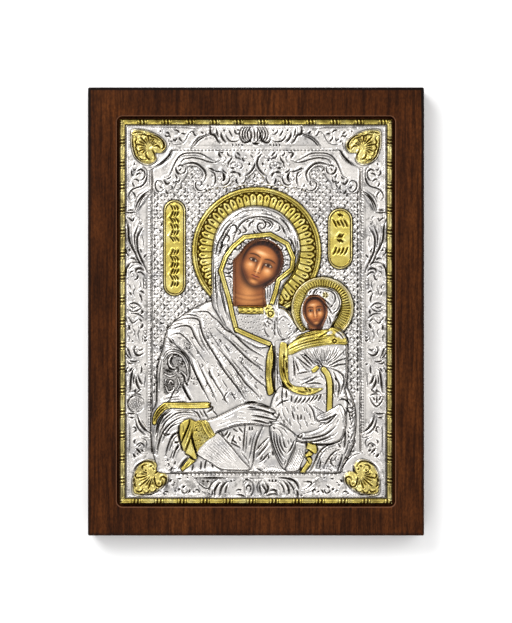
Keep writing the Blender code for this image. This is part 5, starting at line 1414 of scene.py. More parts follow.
def scatter_curls(outline, count, size, seed, dark=0.62):
    """Pricks small curls evenly over a shape, each turned its own way."""
    shape = np.array(outline, float)
    low, span = shape.min(0), np.ptp(shape, axis=0)
    path = through(outline, True)[:-1]
    for i in range(seed, seed + count):
        x = low[0] + span[0] * ((i * 0.6180340) % 1)
        y = low[1] + span[1] * ((i * 0.7548777) % 1)
        crossings = [
            (a[1] > y) != (b[1] > y) and x < a[0] + (b[0] - a[0]) * (y - a[1]) / (b[1] - a[1])
            for a, b in zip(path, np.roll(path, -1, axis=0))
        ]
        cell = int(round((y + sheet_height / 2) / spacing)), int(round((x + sheet_width / 2) / spacing))
        if sum(crossings) % 2 == 0 or oxide_and_shade[cell] > 0.45:
            continue
        facing, turn = 2.4 * i, 1 if i % 2 else -1
        curl = [(x + size * t * math.cos(facing + turn * 3.6 * t),
                 y + size * t * math.sin(facing + turn * 3.6 * t)) for t in (0.25, 0.5, 0.75, 1.0, 1.25)]
        engrave(curl, 0.36, 0.16, dark, lift=0.08)


scatter_curls([(-24, 0), (-38, -6), (-46, -14), (-30, -24), (-20, -44), (-8, -48), (4, -46), (4, -26),
               (-8, -17)], 180, 0.9, 7, 0.7)

# Skirt and lap.
for points in (
    [(-5.9, -61), (-6.3, -66), (-7, -75)],
    [(3.5, -61.8), (1.5, -66), (0, -70), (-1, -75), (-1.5, -80), (-2.5, -84)],
    [(6.6, -67.4), (2, -72), (-0.5, -75)], [(6.6, -71), (2.5, -75.5), (0, -78.6)],
    [(7, -75.5), (4, -79), (1.5, -81)],
    [(-40.6, -64.4), (-43.6, -65.4), (-45.6, -68), (-47.4, -73), (-48.6, -77.6)],
    [(-41.4, -71.2), (-43, -74), (-44.8, -79)], [(45, -69), (39, -71), (34, -75), (31.5, -80), (29, -85.5)],
    [(45.5, -73.5), (42, -75), (38.5, -79), (36, -83.6)], [(47.6, -64), (47.6, -69.6), (46.8, -74)],
    [(46.4, -76.4), (45.2, -80.6), (43.6, -86)]
):
    fold(points, reach=1.5, rise=0.42, width=0.52, depth=0.42, ends=(0.5, 0.3))
chase([
    [(-20.4, -64.6), (-14.6, -70.6), (-8, -79)], [(-9.6, -61.8), (-6.8, -65)],
    [(-19, -64), (-17, -66.4), (-14.6, -63.6)], [(-13.5, -64.6), (-15.4, -68)],
    [(-11.4, -66), (-13, -70.2)], [(-14.4, -70), (-11, -71.4), (-8, -73.2)],
    [(-12.6, -62.4), (-9.8, -64.4)], [(-13, -68.4), (-10, -70.6)], [(-3.5, -61.4), (-3.4, -63.8)],
    [(-2.1, -61.4), (-2, -63.8)], [(-17.8, -67.4), (-16.4, -69.6)], [(-9.4, -66.4), (-8.2, -69.4)],
    [(41, -77.4), (40, -80.6), (41.6, -83)], [(34.6, -79), (34, -84)], [(-29.2, -80), (-29.6, -84.4)],
    [(-26.8, -80), (-27.4, -83.8)], [(-23.6, -81.4), (-23, -83.6)], [(-33.4, -81.6), (-34.2, -85)],
    [(-20.6, -82.4), (-18, -84)], [(-41, -69.4), (-43.4, -70.4)], [(-46, -65.8), (-49.6, -65.4)],
    [(-8.6, -80.4), (-5.6, -83.6), (-2.6, -84.4)], [(-47, -81), (-46.4, -82.6)],
    [(-44.6, -83), (-45.8, -85.4)], [(0.6, -84), (3.2, -85.6)], [(-43, -80), (-43.6, -82)],
    [(3.6, -77), (2.4, -79.6)], [(8.6, -74.4), (9.4, -77.4)], [(6.6, -76.8), (7, -78.8)],
    [(44.4, -70.8), (45, -73)], [(50, -51.2), (51.2, -51.6), (52.6, -50.6)], [(51.4, -52.6), (52.4, -51.6)],
    [(49, -53), (50.4, -54), (52.2, -53.2)], [(50.2, -55.6), (51.4, -55.8), (52.2, -54.9)],
    [(50.8, -61), (51.6, -59.4)], [(49.9, -62.1), (50.7, -62.7)], [(48.9, -64), (50, -65)],
    [(49.2, -66), (49.8, -67.5)], [(51.7, -65.8), (51.1, -68)], [(49.8, -69.5), (50.6, -70.5)],
    [(47.1, -77.5), (48.5, -78.3), (50.2, -77)], [(50, -57.8), (51, -57.4)]
], **sharp)
chase([
    [(-4.6, -64), (-5, -70), (-5.4, -76)], [(0.8, -63.4), (-1.4, -68.6), (-2.8, -75.6), (-4.4, -81.6)],
    [(5.4, -69.6), (1.4, -74.4)], [(-8.4, -75), (-4.6, -79.6), (-3.4, -83)], [(-2.4, -66), (-3.6, -72)],
    [(38, -73), (34.4, -78), (32.4, -84)], [(43.6, -77), (41.6, -80)],
    [(53.4, -68), (52, -72), (50.4, -75.4)], [(-42, -66.4), (-44.4, -69.6), (-46, -74.4)],
    [(-50.6, -66), (-52.2, -72), (-53.2, -77)], [(-46.8, -78.6), (-47.6, -80.4)],
    [(-44, -74), (-46, -79.4)], [(46, -67.4), (45.4, -71)], [(38.6, -84), (40.8, -85.6)],
    [(49.6, -70.6), (48.6, -74), (47, -77.4)]
], **faint)
stipple([(2, -82.6), (14, -82.8), (20, -84), (14, -85.8), (2, -85.8)], pitch=1.2, fade=0.3)
stipple([(-48.6, -76), (-44.8, -79), (-42.4, -85), (-46, -86), (-50, -81)], pitch=1.4, fade=0.3)
stipple([(33, -76), (42, -72.4), (46.4, -76), (42.4, -84.6), (33, -85)], pitch=1.5, fade=0.3)

# The under-sleeve's round folds, below a broad gilded hem at the elbow.
for points in (
    [(-46.2, -52.6), (-49.8, -55.2), (-52.4, -59.4), (-53.6, -66)],
    [(-37, -56), (-41, -57), (-45.4, -59.6), (-49.2, -63.6), (-51.6, -69), (-53, -74)],
    [(-45, -54.4), (-48.4, -57), (-50.6, -60.4)], [(-33.8, -52.8), (-31.5, -54.2), (-29.5, -57.6)],
    [(-28.4, -52.2), (-27.2, -54.6), (-25.6, -57)],
    [(-33.4, -54.4), (-38, -53.8), (-42.6, -54.6), (-46.4, -57.4)],
    [(-40.6, -59.6), (-44.8, -61.4), (-48.4, -65)]
):
    fold(points, reach=1.2, rise=0.42, width=0.5, depth=0.42, side=-1, ends=(0.4, 0.5))
chase([
    [(-32.6, -52.4), (-38, -52.6), (-43.6, -52.8)],
    [(-31.6, -56.4), (-36, -55), (-40.8, -55.4), (-45, -58)], [(-39.4, -58), (-43.6, -59.8), (-47, -63)],
    [(-30.6, -52.6), (-28.4, -56.4)], [(-48.6, -59), (-51.2, -64.6), (-52, -69)],
    [(-52, -62), (-53.4, -69)], [(-46, -62.4), (-48.6, -66), (-50, -70)]
], **faint)

lay([(-25.2, -48.5), (-24.4, -49.8), (-25.4, -51.6), (-36, -51.9), (-46.4, -51.9), (-50.2, -54.4),
     (-52.6, -57.4), (-53.6, -60.4), (-55.4, -60), (-55, -56), (-53.4, -52.6), (-50, -49.4), (-47.4, -48.5),
     (-36, -48.6)], 2.5, edge=0.6, gold=1.0, dark=0.9)
chase([[(-47.4, -49.7), (-40, -49.4), (-33, -49.5), (-26, -49.4)]], **faint)
chase([[(-47.2, -51.2), (-50.6, -53), (-53.2, -56.4), (-54.4, -59)],
       [(-48, -49.6), (-51.6, -52.4), (-54.2, -56.4)],
       [(-24.4, -49), (-24.9, -50.4), (-23.2, -51.6), (-26, -54.2)]], width=0.7, depth=0.4, dark=0.9,
      lift=0.2)
engrave([(-23.4, -52.4), (-20.5, -56)], 0.5, 0.3, 0.9)
# Fine punched dots over the curved left end of the hem, with painted shade darkening it.
stipple([(-46.8, -49.4), (-51, -51.4), (-54.2, -55.4), (-55, -59.6), (-53.4, -59), (-51.4, -55.6),
         (-47, -51.6)], pitch=1.2, dark=0.7, fade=0.3, tint=0.36)
chase([[(-45.4, -52.9), (-49.4, -55.6), (-51.8, -60), (-53.2, -65)],
       [(-41.2, -64.7), (-43.6, -65.6), (-45.4, -68)], [(-41.2, -71.7), (-42.8, -74)],
       [(-41.6, -70), (-43.6, -69.8)], [(-36.2, -77.9), (-38.4, -80.2), (-41.2, -84)]], **broad)
chase([[(-49.8, -65), (-48.6, -66.3), (-47.2, -66.1), (-46, -65.2)],
       [(-29.8, -77.2), (-24.6, -80.2), (-18.6, -84)], [(-45.6, -56.4), (-48.6, -59.4), (-50.6, -63)]],
      **sharp)


# ---------------------------------------------------------------- silver cover: the mother's veil
# The veil covers head and shoulders: a smooth outer turn round a close hood, hemmed in gold, with scrolls
# over the brow. It is chased at the neck with a gilded collar and a stippled yoke.
veil = [
    (-23.7, 5), (-23.9, 20), (-23.5, 33), (-21.4, 43), (-16.2, 50.6), (-8.6, 55.4), (0.5, 56.8), (9.6, 55),
    (17, 50), (22, 42.6), (24, 34), (22.6, 27), (19.6, 20.4), (15, 13.4), (12.8, 8), (12.4, 2), (14.8, -1),
    (19, -3.4), (19.6, -8.6), (15.4, -13.2), (12.2, -18), (7, -19), (1.6, -19.4), (-5, -16.4), (-12, -12),
    (-17.4, -6.6), (-21.2, -0.6)
]
lay(veil, 2.9, edge=2.8, dark=0.75)
for points in (
    [(-12.8, 34), (-11.4, 40.4), (-8.6, 46), (-4, 49.4), (2, 50.6), (9, 49), (14, 45), (16.5, 39)],
    [(-21, 6), (-21.6, 16), (-21.4, 24)], [(-17.6, 30), (-18.8, 24), (-19.2, 14), (-17.6, 4), (-15, -5)],
    [(-19.2, 31), (-17.4, 38), (-13, 45)], [(18.6, 39), (20.4, 33), (20.2, 27)],
):
    fold(points, reach=1.8, rise=0.38, width=0.52, depth=0.4, ends=(0.4, 0.3))
chase([
    [(-18.8, 38), (-16.2, 43.8), (-11.6, 48.6)],
    [(-14.6, 44.6), (-11.4, 46.2), (-10.2, 43.2), (-12.4, 41.6)],
    [(-15.4, 36.6), (-14.2, 39.4), (-16.2, 41.4)], [(-7.4, 46), (-5.2, 43), (-7.4, 41.8)],
    [(-4, 44.4), (-2.8, 47.4), (-0.6, 48.4)], [(12.6, 50.4), (16.4, 46.2), (18.6, 41.4)],
    [(10.4, 42.6), (12.6, 43.8), (12, 46.4)], [(20.4, 40), (21.4, 34.4), (20, 28)],
    [(17.4, 39.6), (19, 37), (18.6, 33.6)], [(14.4, 44.6), (15.2, 41.8)],
    [(-21.8, 30), (-20.4, 36), (-17.4, 42)], [(-19.8, 29.4), (-18.8, 33.4), (-16.2, 36)],
    [(-9.6, 44.4), (-8.2, 42.4), (-9.6, 40.6)], [(-5.4, 47.6), (-3.4, 48.8)],
    [(4.2, 49.6), (7.4, 48.4), (9.4, 46.2)], [(6.4, 44.8), (7.6, 46.2), (6.2, 47.8), (4.4, 47.2)],
    [(-1.8, 43.2), (-0.4, 41.8)], [(-19.6, 33.6), (-18, 35.4), (-18.8, 38)],
    [(-16.6, 31.6), (-14.8, 34), (-15.6, 36)], [(22, 38), (22.6, 33)]
], **sharp)
for turn in (1, -1):
    curl = [(3.0 + turn * (0.4 + r * math.cos(a)), 45.8 + turn * r * math.sin(a))
            for a, r in zip(np.linspace(0.4, 5.2, 8), np.linspace(0.5, 4.0, 8))]
    engrave(curl, 0.55, 0.34, 1.0, lift=0.24)
chase([
    [(-9.6, 50.8), (-4.8, 53.6), (1, 54.4), (8.4, 53.2)], [(-12.6, 49.4), (-8, 52.8), (-3, 54.9)],
    [(3, 52.4), (8, 51.6), (12.4, 49)], [(-2, 51.8), (-6, 50.8), (-9.6, 48.2)],
    [(6, 54.8), (12, 52.4), (16.4, 48.4)], [(-20.6, 40), (-17, 46), (-12.4, 50.4)],
    [(-0.6, 43.4), (1.8, 41.9), (4.8, 42.2)], [(7.6, 43.6), (9, 46), (7.8, 48.6)],
    [(-2, 46.2), (-1.4, 48.6), (1, 50)], [(-22.8, 28), (-22.9, 18), (-22.6, 8)],
    [(-20, 27), (-20.4, 18), (-19.4, 9)], [(-16.8, 3), (-18.2, 12), (-18, 19)],
    [(-15.8, -2), (-17.2, 5), (-17.8, 10)], [(-20.6, 12), (-20.8, 4), (-19.6, -1)],
    [(12, 7), (13.4, 12), (17, 17)], [(10.6, 2), (11.4, 6)], [(19.6, 25), (17, 20.4), (13.4, 16)],
    [(21.6, 30), (20.8, 26)], [(-13.8, -6), (-15.6, 0)], [(-18.8, -2), (-16.4, -7)]
], **faint)
for i in range(9):
    y = 9 + 2.6 * i
    engrave([(-22.6, y), (-21.4, y + 1.6), (-19.6, y + 2.4)], 0.36, 0.16, 0.5, lift=0.08)
scatter_curls([(-22, 28), (-20, 42), (-10, 53), (2, 55), (14, 51), (22, 40), (22, 30), (18, 34), (12, 47),
               (0, 50), (-10, 44), (-16, 34)], 90, 0.9, 11, 0.7)
scatter_curls([(-17, 6), (-19, 22), (-14, 30), (-12.4, 22), (-11.8, 6)], 40, 0.9, 5, 0.7)
chase([
    [(-17.4, 21.4), (-14.8, 20.4), (-12.2, 21.8)], [(-16.6, 23.4), (-14, 22.6), (-12.2, 24.2)],
    [(-15.8, 25.8), (-13.4, 25.2), (-12, 26.4)], [(-15, 28.4), (-13, 27.6)],
    [(-16.4, 18.4), (-14, 18.8), (-12.4, 17.4)], [(-14.4, 30.6), (-12.6, 30)],
    [(-12.6, 32.4), (-10.8, 33.2)], [(13.6, 22.6), (15.6, 24.6), (18.2, 25)],
    [(14.6, 25.4), (16, 27.4), (18.2, 27.6)], [(15.6, 29.6), (17.4, 30.4)], [(14.8, 32.4), (16.8, 33.4)],
    [(11.6, 19.4), (13.4, 20.8), (15.6, 21)]
], **sharp)
chase([[(5.8, 13.4), (6.2, 9), (5.9, 4.6)], [(7.2, 15.2), (7.6, 10), (6.8, 5)], [(8.8, 16.4), (8.8, 12)],
       [(5, 11), (5, 6)], [(-12.2, 14), (-12.6, 9)], [(-13.6, 16.4), (-13.4, 10.4)]], **faint)


def window_cap(outline, gap, pitch, first, last):
    """A row of small pearls just outside part of a window."""
    path = np.array(outline)
    lengths = np.concatenate([[0], np.cumsum(np.hypot(*np.diff(path, axis=0).T))])
    for travelled in np.arange(lengths[-1] * first, lengths[-1] * last, pitch):
        i = min(np.searchsorted(lengths, travelled), len(path) - 1)
        step = path[i] - path[i - 1]
        outward = np.array([step[1], -step[0]]) / np.hypot(*step)
        x, y = path[i] + outward * gap
        bead(x, y, 0.62, 0.4, 0.9)


window_cap(mother_window, 1.25, 1.65, 0.0, 0.62)
for start, end in (((-9.9, 33.9), (-8.7, 35.2)), ((-5.9, 37.5), (-4.3, 38.3)), ((8, 37.7), (9.6, 37)),
                   ((12.1, 35), (13.2, 33.9))):
    emboss([start, end], 1.9, 0.7, ends=(1, 1), outline=0.9)


def ribbon(points, width=2.6, rise=0.55, gold=1.0, rims=True, smooth=True):
    """A flat band with bevelled edges, gilded or plain, with a fine line inside each edge."""
    path = through(points) if smooth else np.array(points, float)
    window, distance, _, side = near(path, width / 2 + 1.0)
    half = width / 2
    inside = distance < half
    profile = rise * np.sqrt(np.clip((half - distance) / 0.35, 0, 1))
    if rims:
        profile -= 0.5 * rise * np.exp(-((distance / 0.3) ** 2))
    chasing[window] = np.where(inside, profile, chasing[window])
    gilding[window] = np.where(inside, gold, gilding[window])
    line = np.clip(1.6 * np.exp(-(((distance - half - 0.12) / 0.34) ** 2)) - 0.2, 0, 1)
    inner = 0.7 * np.exp(-(((side * distance - 0.15) / 0.26) ** 2)) * rims
    oxide_and_shade[window] = np.where(inside, np.maximum(0.9 * line, inner), np.maximum(oxide_and_shade[window], 0.9 * line))


veil_hem = [(-10.4, -10.2), (-12.5, -2.4), (-14.6, 7.2), (-18.9, 21.6), (-16.2, 29.2), (-12.4, 34.4),
            (-6, 39.8), (7.6, 41.2), (16.6, 36.2), (19.8, 28.6), (19.2, 22.6), (12, 16.8), (10.4, 10),
            (7.6, 1.6)]
ribbon(veil_hem, 2.4, smooth=False)

# Collar, yoke and the knot of the veil.
yoke = [(-10, 3), (4.8, 3), (7.2, -8), (7.4, -15.2), (0, -12.6), (-9, -9.2)]
stipple(yoke, pitch=1.45, fade=0.3, tint=0.08)
collar = [(-9.8, 3.1), (4.6, 3.1), (5.2, -1), (-2, -1.5), (-9.2, -1)]
lay(collar, 2.75, edge=0.6, gold=1.0, smooth=False)
for x in (-8.5, -5.4, -2.3, 0.8, 3.5):
    emboss([(x - 0.7, 0.9), (x + 0.7, 0.9)], 2.2, 0.45, ends=(0.9, 0.9), outline=0.8)
engrave([(-9.4, -0.4), (-4, -0.9), (4.6, -0.5)], 0.4, 0.16, 0.6)
ribbon([(-10.2, -9.8), (-4, -12.6), (1.6, -15), (7, -17.2)], 2.5)
knot = [(4.6, 3.2), (9.6, 3.2), (10.4, -2), (10.2, -8), (9.8, -12), (8.4, -14.8), (6.4, -13.2), (4.6, -9.6),
        (4.1, -4)]
lay(knot, 3.1, edge=1.5, dark=0.4)
engrave(oval(7.8, -1.2, 1.3, 1.3, np.linspace(0, 5.5, 8)), 0.46, 0.3, 1.0, closed=True)
chase([
    [(5.4, 0.4), (6.2, 1.8), (7.2, 0.9)], [(8.2, 0.8), (9.2, 1.6), (9.8, 0.2)], [(4.7, -0.6), (5.8, -1.8)],
    [(6, -2.9), (7, -3.5)], [(6.8, 3.3), (8, 3.9), (9.2, 2.9)],
    [(4.6, -4.6), (5.6, -3.7), (7, -4), (8.2, -4.6), (9.2, -6.2)], [(9.9, -4.8), (10, -8), (9.7, -10.8)],
    [(6.1, -5.5), (7.2, -6.4), (8.3, -6.9)], [(6.1, -7.4), (7.4, -8)], [(4.2, -6), (5, -7.4), (5.6, -8.6)],
    [(4.2, -9.2), (5.2, -11.6), (7, -13.6)], [(9.7, -10.4), (10.2, -13)], [(6.6, -4.6), (5.6, -6)],
    [(8.8, -8.4), (8.5, -10)]
], width=0.42, depth=0.28, dark=0.9, lift=0.2)
part, distance = near(np.array([[6.6, 1.6], [7.8, -1.2]]), 2.5)[:2]
gilding[part] = np.maximum(gilding[part], soft_step(2.5 - distance, 0.0, 0.5))
shoulder = [(12, 1.8), (15.4, 1.4), (18, -1.6), (20.2, -5), (22.4, -8), (20.6, -11.6), (16, -15),
            (13, -13.6), (11.6, -9), (11.2, -3)]
lay(shoulder, 3.2, edge=1.6, dark=0.5)
chase([
    [(12.2, -5.8), (13, -4), (14.6, -2.9), (16.2, -3.4), (17.4, -5)],
    [(11.2, -5.6), (10.8, -4.4), (12, -2.8)], [(14, -4.8), (15.6, -4.6)], [(17, -7.6), (18.2, -6.4)],
    [(18.2, -8.4), (19.6, -7.2)], [(14.4, -8), (15.2, -8)], [(16, -11.4), (16.8, -11)],
    [(14.6, -2.2), (15.8, -2.6)], [(11.4, -8.6), (11.7, -11.4), (13, -13.4), (15, -14.4)],
    [(12.6, -9), (12.8, -11.4), (13.8, -12.8)], [(17.6, -9.6), (19, -9)], [(12.4, -1), (12.6, -2.6)],
    [(16.6, -13.4), (19.4, -11)], [(19.6, -12.8), (20.4, -12.2)]
], width=0.42, depth=0.22, dark=0.7, lift=0.16)
lay([(13, -15.8), (16.4, -14.6), (20.8, -11.2), (24, -8.4), (29, -9.2), (33, -9.4), (27, -11), (20, -14.2),
     (16.4, -18)], 3.3, edge=0.7, dark=0.7)
engrave([(15.6, -15.8), (20.4, -12.4), (25.6, -9.8)], 0.42, 0.24, 0.8)


# ---------------------------------------------------------------- silver cover: linen sleeve and falling hem
# The mother's linen undersleeve in fine narrow folds, and a narrow gilded hem that falls between mother and
# child, with a plain turned-back lining beside it.
under_sleeve = [(-32, -75.6), (-28, -69.8), (-21.4, -64.2), (-14.4, -70.8), (-7.6, -79), (-3.2, -84.4),
                (-12, -84.8), (-19, -84.2), (-25, -80.6)]
lay(under_sleeve, 3.1, edge=0.9, dark=0.6)
for i in range(10):
    t = (i + 0.5) / 10
    start = np.array([-30.4 + 9.2 * t, -75.8 + 9.8 * t])
    end = np.array([-18.0 + 12.6 * t, -84.0 + 1.0 * t])
    end = end + (start - end) * (0.12, 0.34, 0.0, 0.22)[i % 4]
    middle = (start + end) / 2 + (0.3, 0.5 * (t - 0.3))
    engrave([start, middle, end], 0.36, 0.14, (0.26, 0.46, 0.22)[i % 3], ends=(0.7, 0.4), lift=0.12)

strip = [(8.6, -17.6), (6.6, -21), (5.6, -25), (5.2, -31), (5.3, -38), (6.4, -44.6), (9.6, -43.2),
         (9, -38.5), (8.5, -33), (9.2, -28), (9.4, -22.6)]
lay(strip, 3.1, edge=0.6, gold=1.0, dark=0.95)
engrave([(8.7, -19), (9.5, -24), (9.8, -27), (8.8, -34), (9.2, -40), (10, -42.8)], 0.66, 0.4, 0.85,
        ends=(0.6, 0.8), lift=0.1)
chase([[(7.6, -22), (7, -28), (6.9, -35), (7.6, -42)], [(8.4, -21), (8.2, -27)], [(5.9, -28), (5.9, -36)]],
      width=0.4, depth=0.2, dark=0.6)
lay([(10.2, -16.6), (13.8, -16.2), (13.2, -26), (13.4, -34), (14.4, -42.2), (10.4, -42.8), (10, -34),
     (10.4, -26)], 3.0, edge=0.6, dark=0.5)
fold([(11.4, -19), (11.2, -28), (11.6, -41)], reach=0.8, rise=0.3, width=0.42, depth=0.3)
chase([[(12, -35), (13.4, -39.6), (15.6, -43.4)], [(10.8, -22), (11.8, -24)], [(11, -31), (12, -34)]],
      **faint)


# ---------------------------------------------------------------- silver cover: the child
# The child sits on the mother's arm: a draped lap and legs, a mantle hemmed in gold round the shoulders, a
# sash, and a close veil in its own small halo.
lap = [(10, -44), (13.5, -40), (20, -42.5), (30, -43.5), (38, -41), (46, -40), (48.8, -46), (48.6, -54),
       (44, -62), (36, -67.2), (26, -68.4), (16, -67.2), (9.4, -63), (7.4, -56), (8, -49)]
lay(lap, 3.1, edge=3.0)
for points in (
    [(27.4, -49.3), (29.4, -51.6), (30.6, -54), (31.4, -58.8)], [(14.6, -39.5), (13.8, -45), (14.2, -51)],
    [(44.6, -46), (47.4, -47), (50.4, -49.6)], [(11.2, -51), (14, -48.4), (18, -47.4)],
):
    fold(points, reach=1.4, rise=0.4, width=0.5, depth=0.36, ends=(0.4, 0.3))
chase([
    [(33.6, -43.2), (32.2, -46), (30.6, -48.2)], [(31.6, -44.4), (30.2, -46.8), (28.8, -48.6)],
    [(29.2, -45.4), (28, -47.2), (26.8, -48.8)], [(26.8, -45.8), (25.6, -47.6), (24.4, -49.2)],
    [(24.6, -45.8), (23.4, -47.6), (22.4, -49.2)], [(22.6, -45.4), (21.4, -47.4), (20.6, -49.2)],
    [(35.2, -42.4), (34.4, -45.4), (33.4, -48)], [(19, -44.8), (18.9, -48.6)], [(16.4, -42), (16.2, -46.8)],
    [(24.1, -55), (24.1, -58)], [(19, -53), (19.8, -55.6), (20.4, -58)], [(22, -55), (22.6, -58.5)],
    [(12.6, -54), (11.4, -57.6)]
], **sharp)
chase([
    [(32.4, -51), (35.4, -53.4), (38.4, -54.2)], [(33, -53.4), (36.4, -55.2), (40, -55)],
    [(26.4, -51), (27.4, -54.4)], [(34.6, -60), (37.6, -57.6), (40.4, -56.4)], [(33.4, -61.4), (36, -59.6)],
    [(21.6, -50.6), (22.4, -52.6)], [(17.8, -57), (18.4, -61)], [(14.6, -57), (15.4, -61.8)],
    [(26.8, -58.4), (27.4, -62)], [(11, -61.4), (14, -60), (18, -62.4)], [(23.4, -61), (24, -63.4)],
    [(11.6, -52.6), (13.4, -57), (17.6, -61.4)], [(13.6, -51.6), (15.4, -56.6), (19.6, -61.6)],
    [(16, -50.8), (17.4, -54.6)], [(19.6, -50.4), (20.8, -54)], [(25.4, -50.6), (26, -53.4)],
    [(21.4, -57.6), (24.4, -62)], [(18.6, -50), (19.6, -52.4)], [(12, -58.6), (15.6, -62.6)],
    [(25.6, -55.4), (26.4, -60)], [(28.4, -53.6), (29.2, -58)], [(30.6, -50), (33.4, -52.6)],
    [(35.6, -47.4), (37.4, -50)], [(41.6, -43.4), (42.4, -46.4)], [(11.4, -45.4), (10.8, -48.6)],
    [(28.6, -59.6), (31.4, -60.4)]
], **faint)

# White cloth hanging from under the child.
drop = [(7.8, -60.6), (7.4, -66), (8.4, -71.6), (10.6, -77.4), (15, -84.6), (17.6, -79.4), (20.2, -74),
        (21.6, -69.4), (21.4, -66), (14, -60.6)]
lay(drop, 2.7, edge=1.4, dark=0.75)
fold([(7.8, -62.6), (8.2, -68), (10.4, -75), (13.4, -81)], reach=1.0, rise=0.35, width=0.6, depth=0.4)
chase([
    [(9.4, -64), (10, -70), (12.2, -76), (14.6, -80.6)],
    [(10.8, -65), (11.6, -71), (13.4, -75.4), (15.4, -78)],
    [(12.4, -66.4), (13.2, -71.4), (15, -74.6), (16.6, -75.8)], [(16.8, -76), (18.6, -73.4), (20.6, -69)],
    [(14.6, -68.4), (15.2, -71.6), (16.4, -73)], [(8.8, -61.4), (10.4, -63)]
], **sharp)
chase([
    [(9.4, -61.2), (12.2, -63.2), (14.6, -66.8)], [(11, -60.8), (14.4, -62.6), (17, -66)],
    [(13, -60.6), (16.8, -62.4), (19.6, -65.4)], [(16, -62), (19.4, -64.4), (20.8, -67.2)],
    [(17, -68.4), (17.4, -71.4)], [(18.6, -67.6), (18.8, -70.6)], [(13.8, -65.4), (14.4, -69)],
    [(11.4, -78), (14.4, -82.6)], [(16.2, -79.4), (15.2, -82.4)]
], **faint)
striped = [(21.8, -69.6), (26.4, -70.6), (26.2, -75.6), (24.6, -80.4), (22.6, -85), (15.8, -85),
           (18.6, -79.6), (20.8, -74)]
lay(striped, 2.5, edge=0.7, dark=0.5)
for i in range(6):
    t = (i + 0.5) / 6
    engrave([(22.0 + 4.2 * t, -70.6 - t), (20.6 + 5.2 * t, -76.4), (16.6 + 5.6 * t, -84.2)], 0.36, 0.2,
            (0.7, 0.4)[i % 2], ends=(0.7, 0.5), lift=0.14)

halo(*child_halo)
body = [(17.6, -15), (22, -11.6), (28, -9.6), (36, -8.6), (43, -8), (47.6, -12), (49, -18), (49.2, -28),
        (48.8, -36), (46.6, -41.6), (38, -43.6), (28, -45), (20, -43.6), (16, -39), (15.4, -28)]
lay(body, 3.1, edge=2.4, dark=0.55)
knee = (36.0, -30.0)
for i in range(17):
    angle = math.radians(40 + 6.4 * i)
    inner, outer = 2.0 + 1.5 * (i % 3), (11.4, 9.0, 10.6)[i % 3] / math.sin(angle)
    bend = 0.010 * (i - 8)
    engrave([
        (knee[0] + inner * math.cos(angle), knee[1] + inner * math.sin(angle)),
        (knee[0] + 0.5 * (inner + outer) * math.cos(angle + bend),
         knee[1] + 0.5 * (inner + outer) * math.sin(angle + bend)),
        (knee[0] + outer * math.cos(angle), knee[1] + outer * math.sin(angle))
    ], 0.42, 0.26, (0.62, 0.85, 0.5)[i % 3], ends=(1.0, 0.3), lift=0.2)
for points in (
    [(38, -30), (43, -31.5), (46, -34), (47, -38), (45, -45)],
    [(41, -32), (42.5, -35), (44.4, -40), (43.4, -47)], [(24.6, -39), (28.6, -37.2), (33, -34.4)],
    [(27, -38.7), (32, -38.2), (36, -39)], [(22.4, -33.4), (25.6, -32.6), (29.2, -32.3)],
    [(21, -24), (25.4, -27.4), (29.4, -30.4)]
):
    fold(points, reach=1.3, rise=0.42, width=0.5, depth=0.4, ends=(0.4, 0.3))
chase([
    [(23.2, -22.4), (26.4, -25.4), (29.8, -29)], [(25.6, -22), (28.4, -25.2), (31.4, -28.6)],
    [(24.2, -22.8), (27, -23.8), (28.4, -24.6)], [(20.6, -26), (22, -29.6), (23, -32.6)],
    [(32.8, -28), (34.6, -29.8)], [(34.4, -27.4), (35.6, -29.6)], [(42.2, -35.4), (43, -36.8)],
    [(19.8, -24.4), (20.4, -29), (20.8, -36)], [(39, -29), (44, -26.4), (48.4, -25)],
    [(40, -29.8), (44.6, -28.4), (48.8, -28)]
], **sharp)
chase([
    [(22.4, -25.8), (25.4, -29.4), (27.6, -31.4)], [(22.6, -35.8), (26.4, -36), (30.4, -34.4)],
    [(45.6, -32.8), (48, -35.4)], [(26.4, -30.6), (28.4, -31.6)], [(33.6, -32.4), (36.2, -36.4)],
    [(31.4, -36), (34.6, -34.6)], [(40.4, -35), (41.4, -40), (41, -46)], [(46.4, -20.4), (47.4, -24)],
    [(21.6, -37.8), (24, -37.6)], [(42.8, -38.4), (42.8, -43.4)], [(28.4, -40), (33, -39.6)]
], **faint)


def facet(points, level, slope, edge=0.45, gold=1.0, dark=0.6):
    """A flat turned-back piece of cloth, which tilts across its width."""
    lay(points, level, edge=edge, gold=gold, dark=dark, smooth=False)
    path = np.array(points + points[:1], float)
    part = near(path, 0.6)[0]
    inside = enclosed(path[:-1], part)
    middle = path[:-1].mean(0)
    lean = slope[0] * (across[part] - middle[0]) + slope[1] * (up[part] - middle[1])
    form[part] += np.where(inside, lean, 0)


facet([(30.2, -32.8), (29.4, -31.2), (32.6, -28.6), (34, -30), (32, -32.4)], 3.6, (0.05, 0.02))

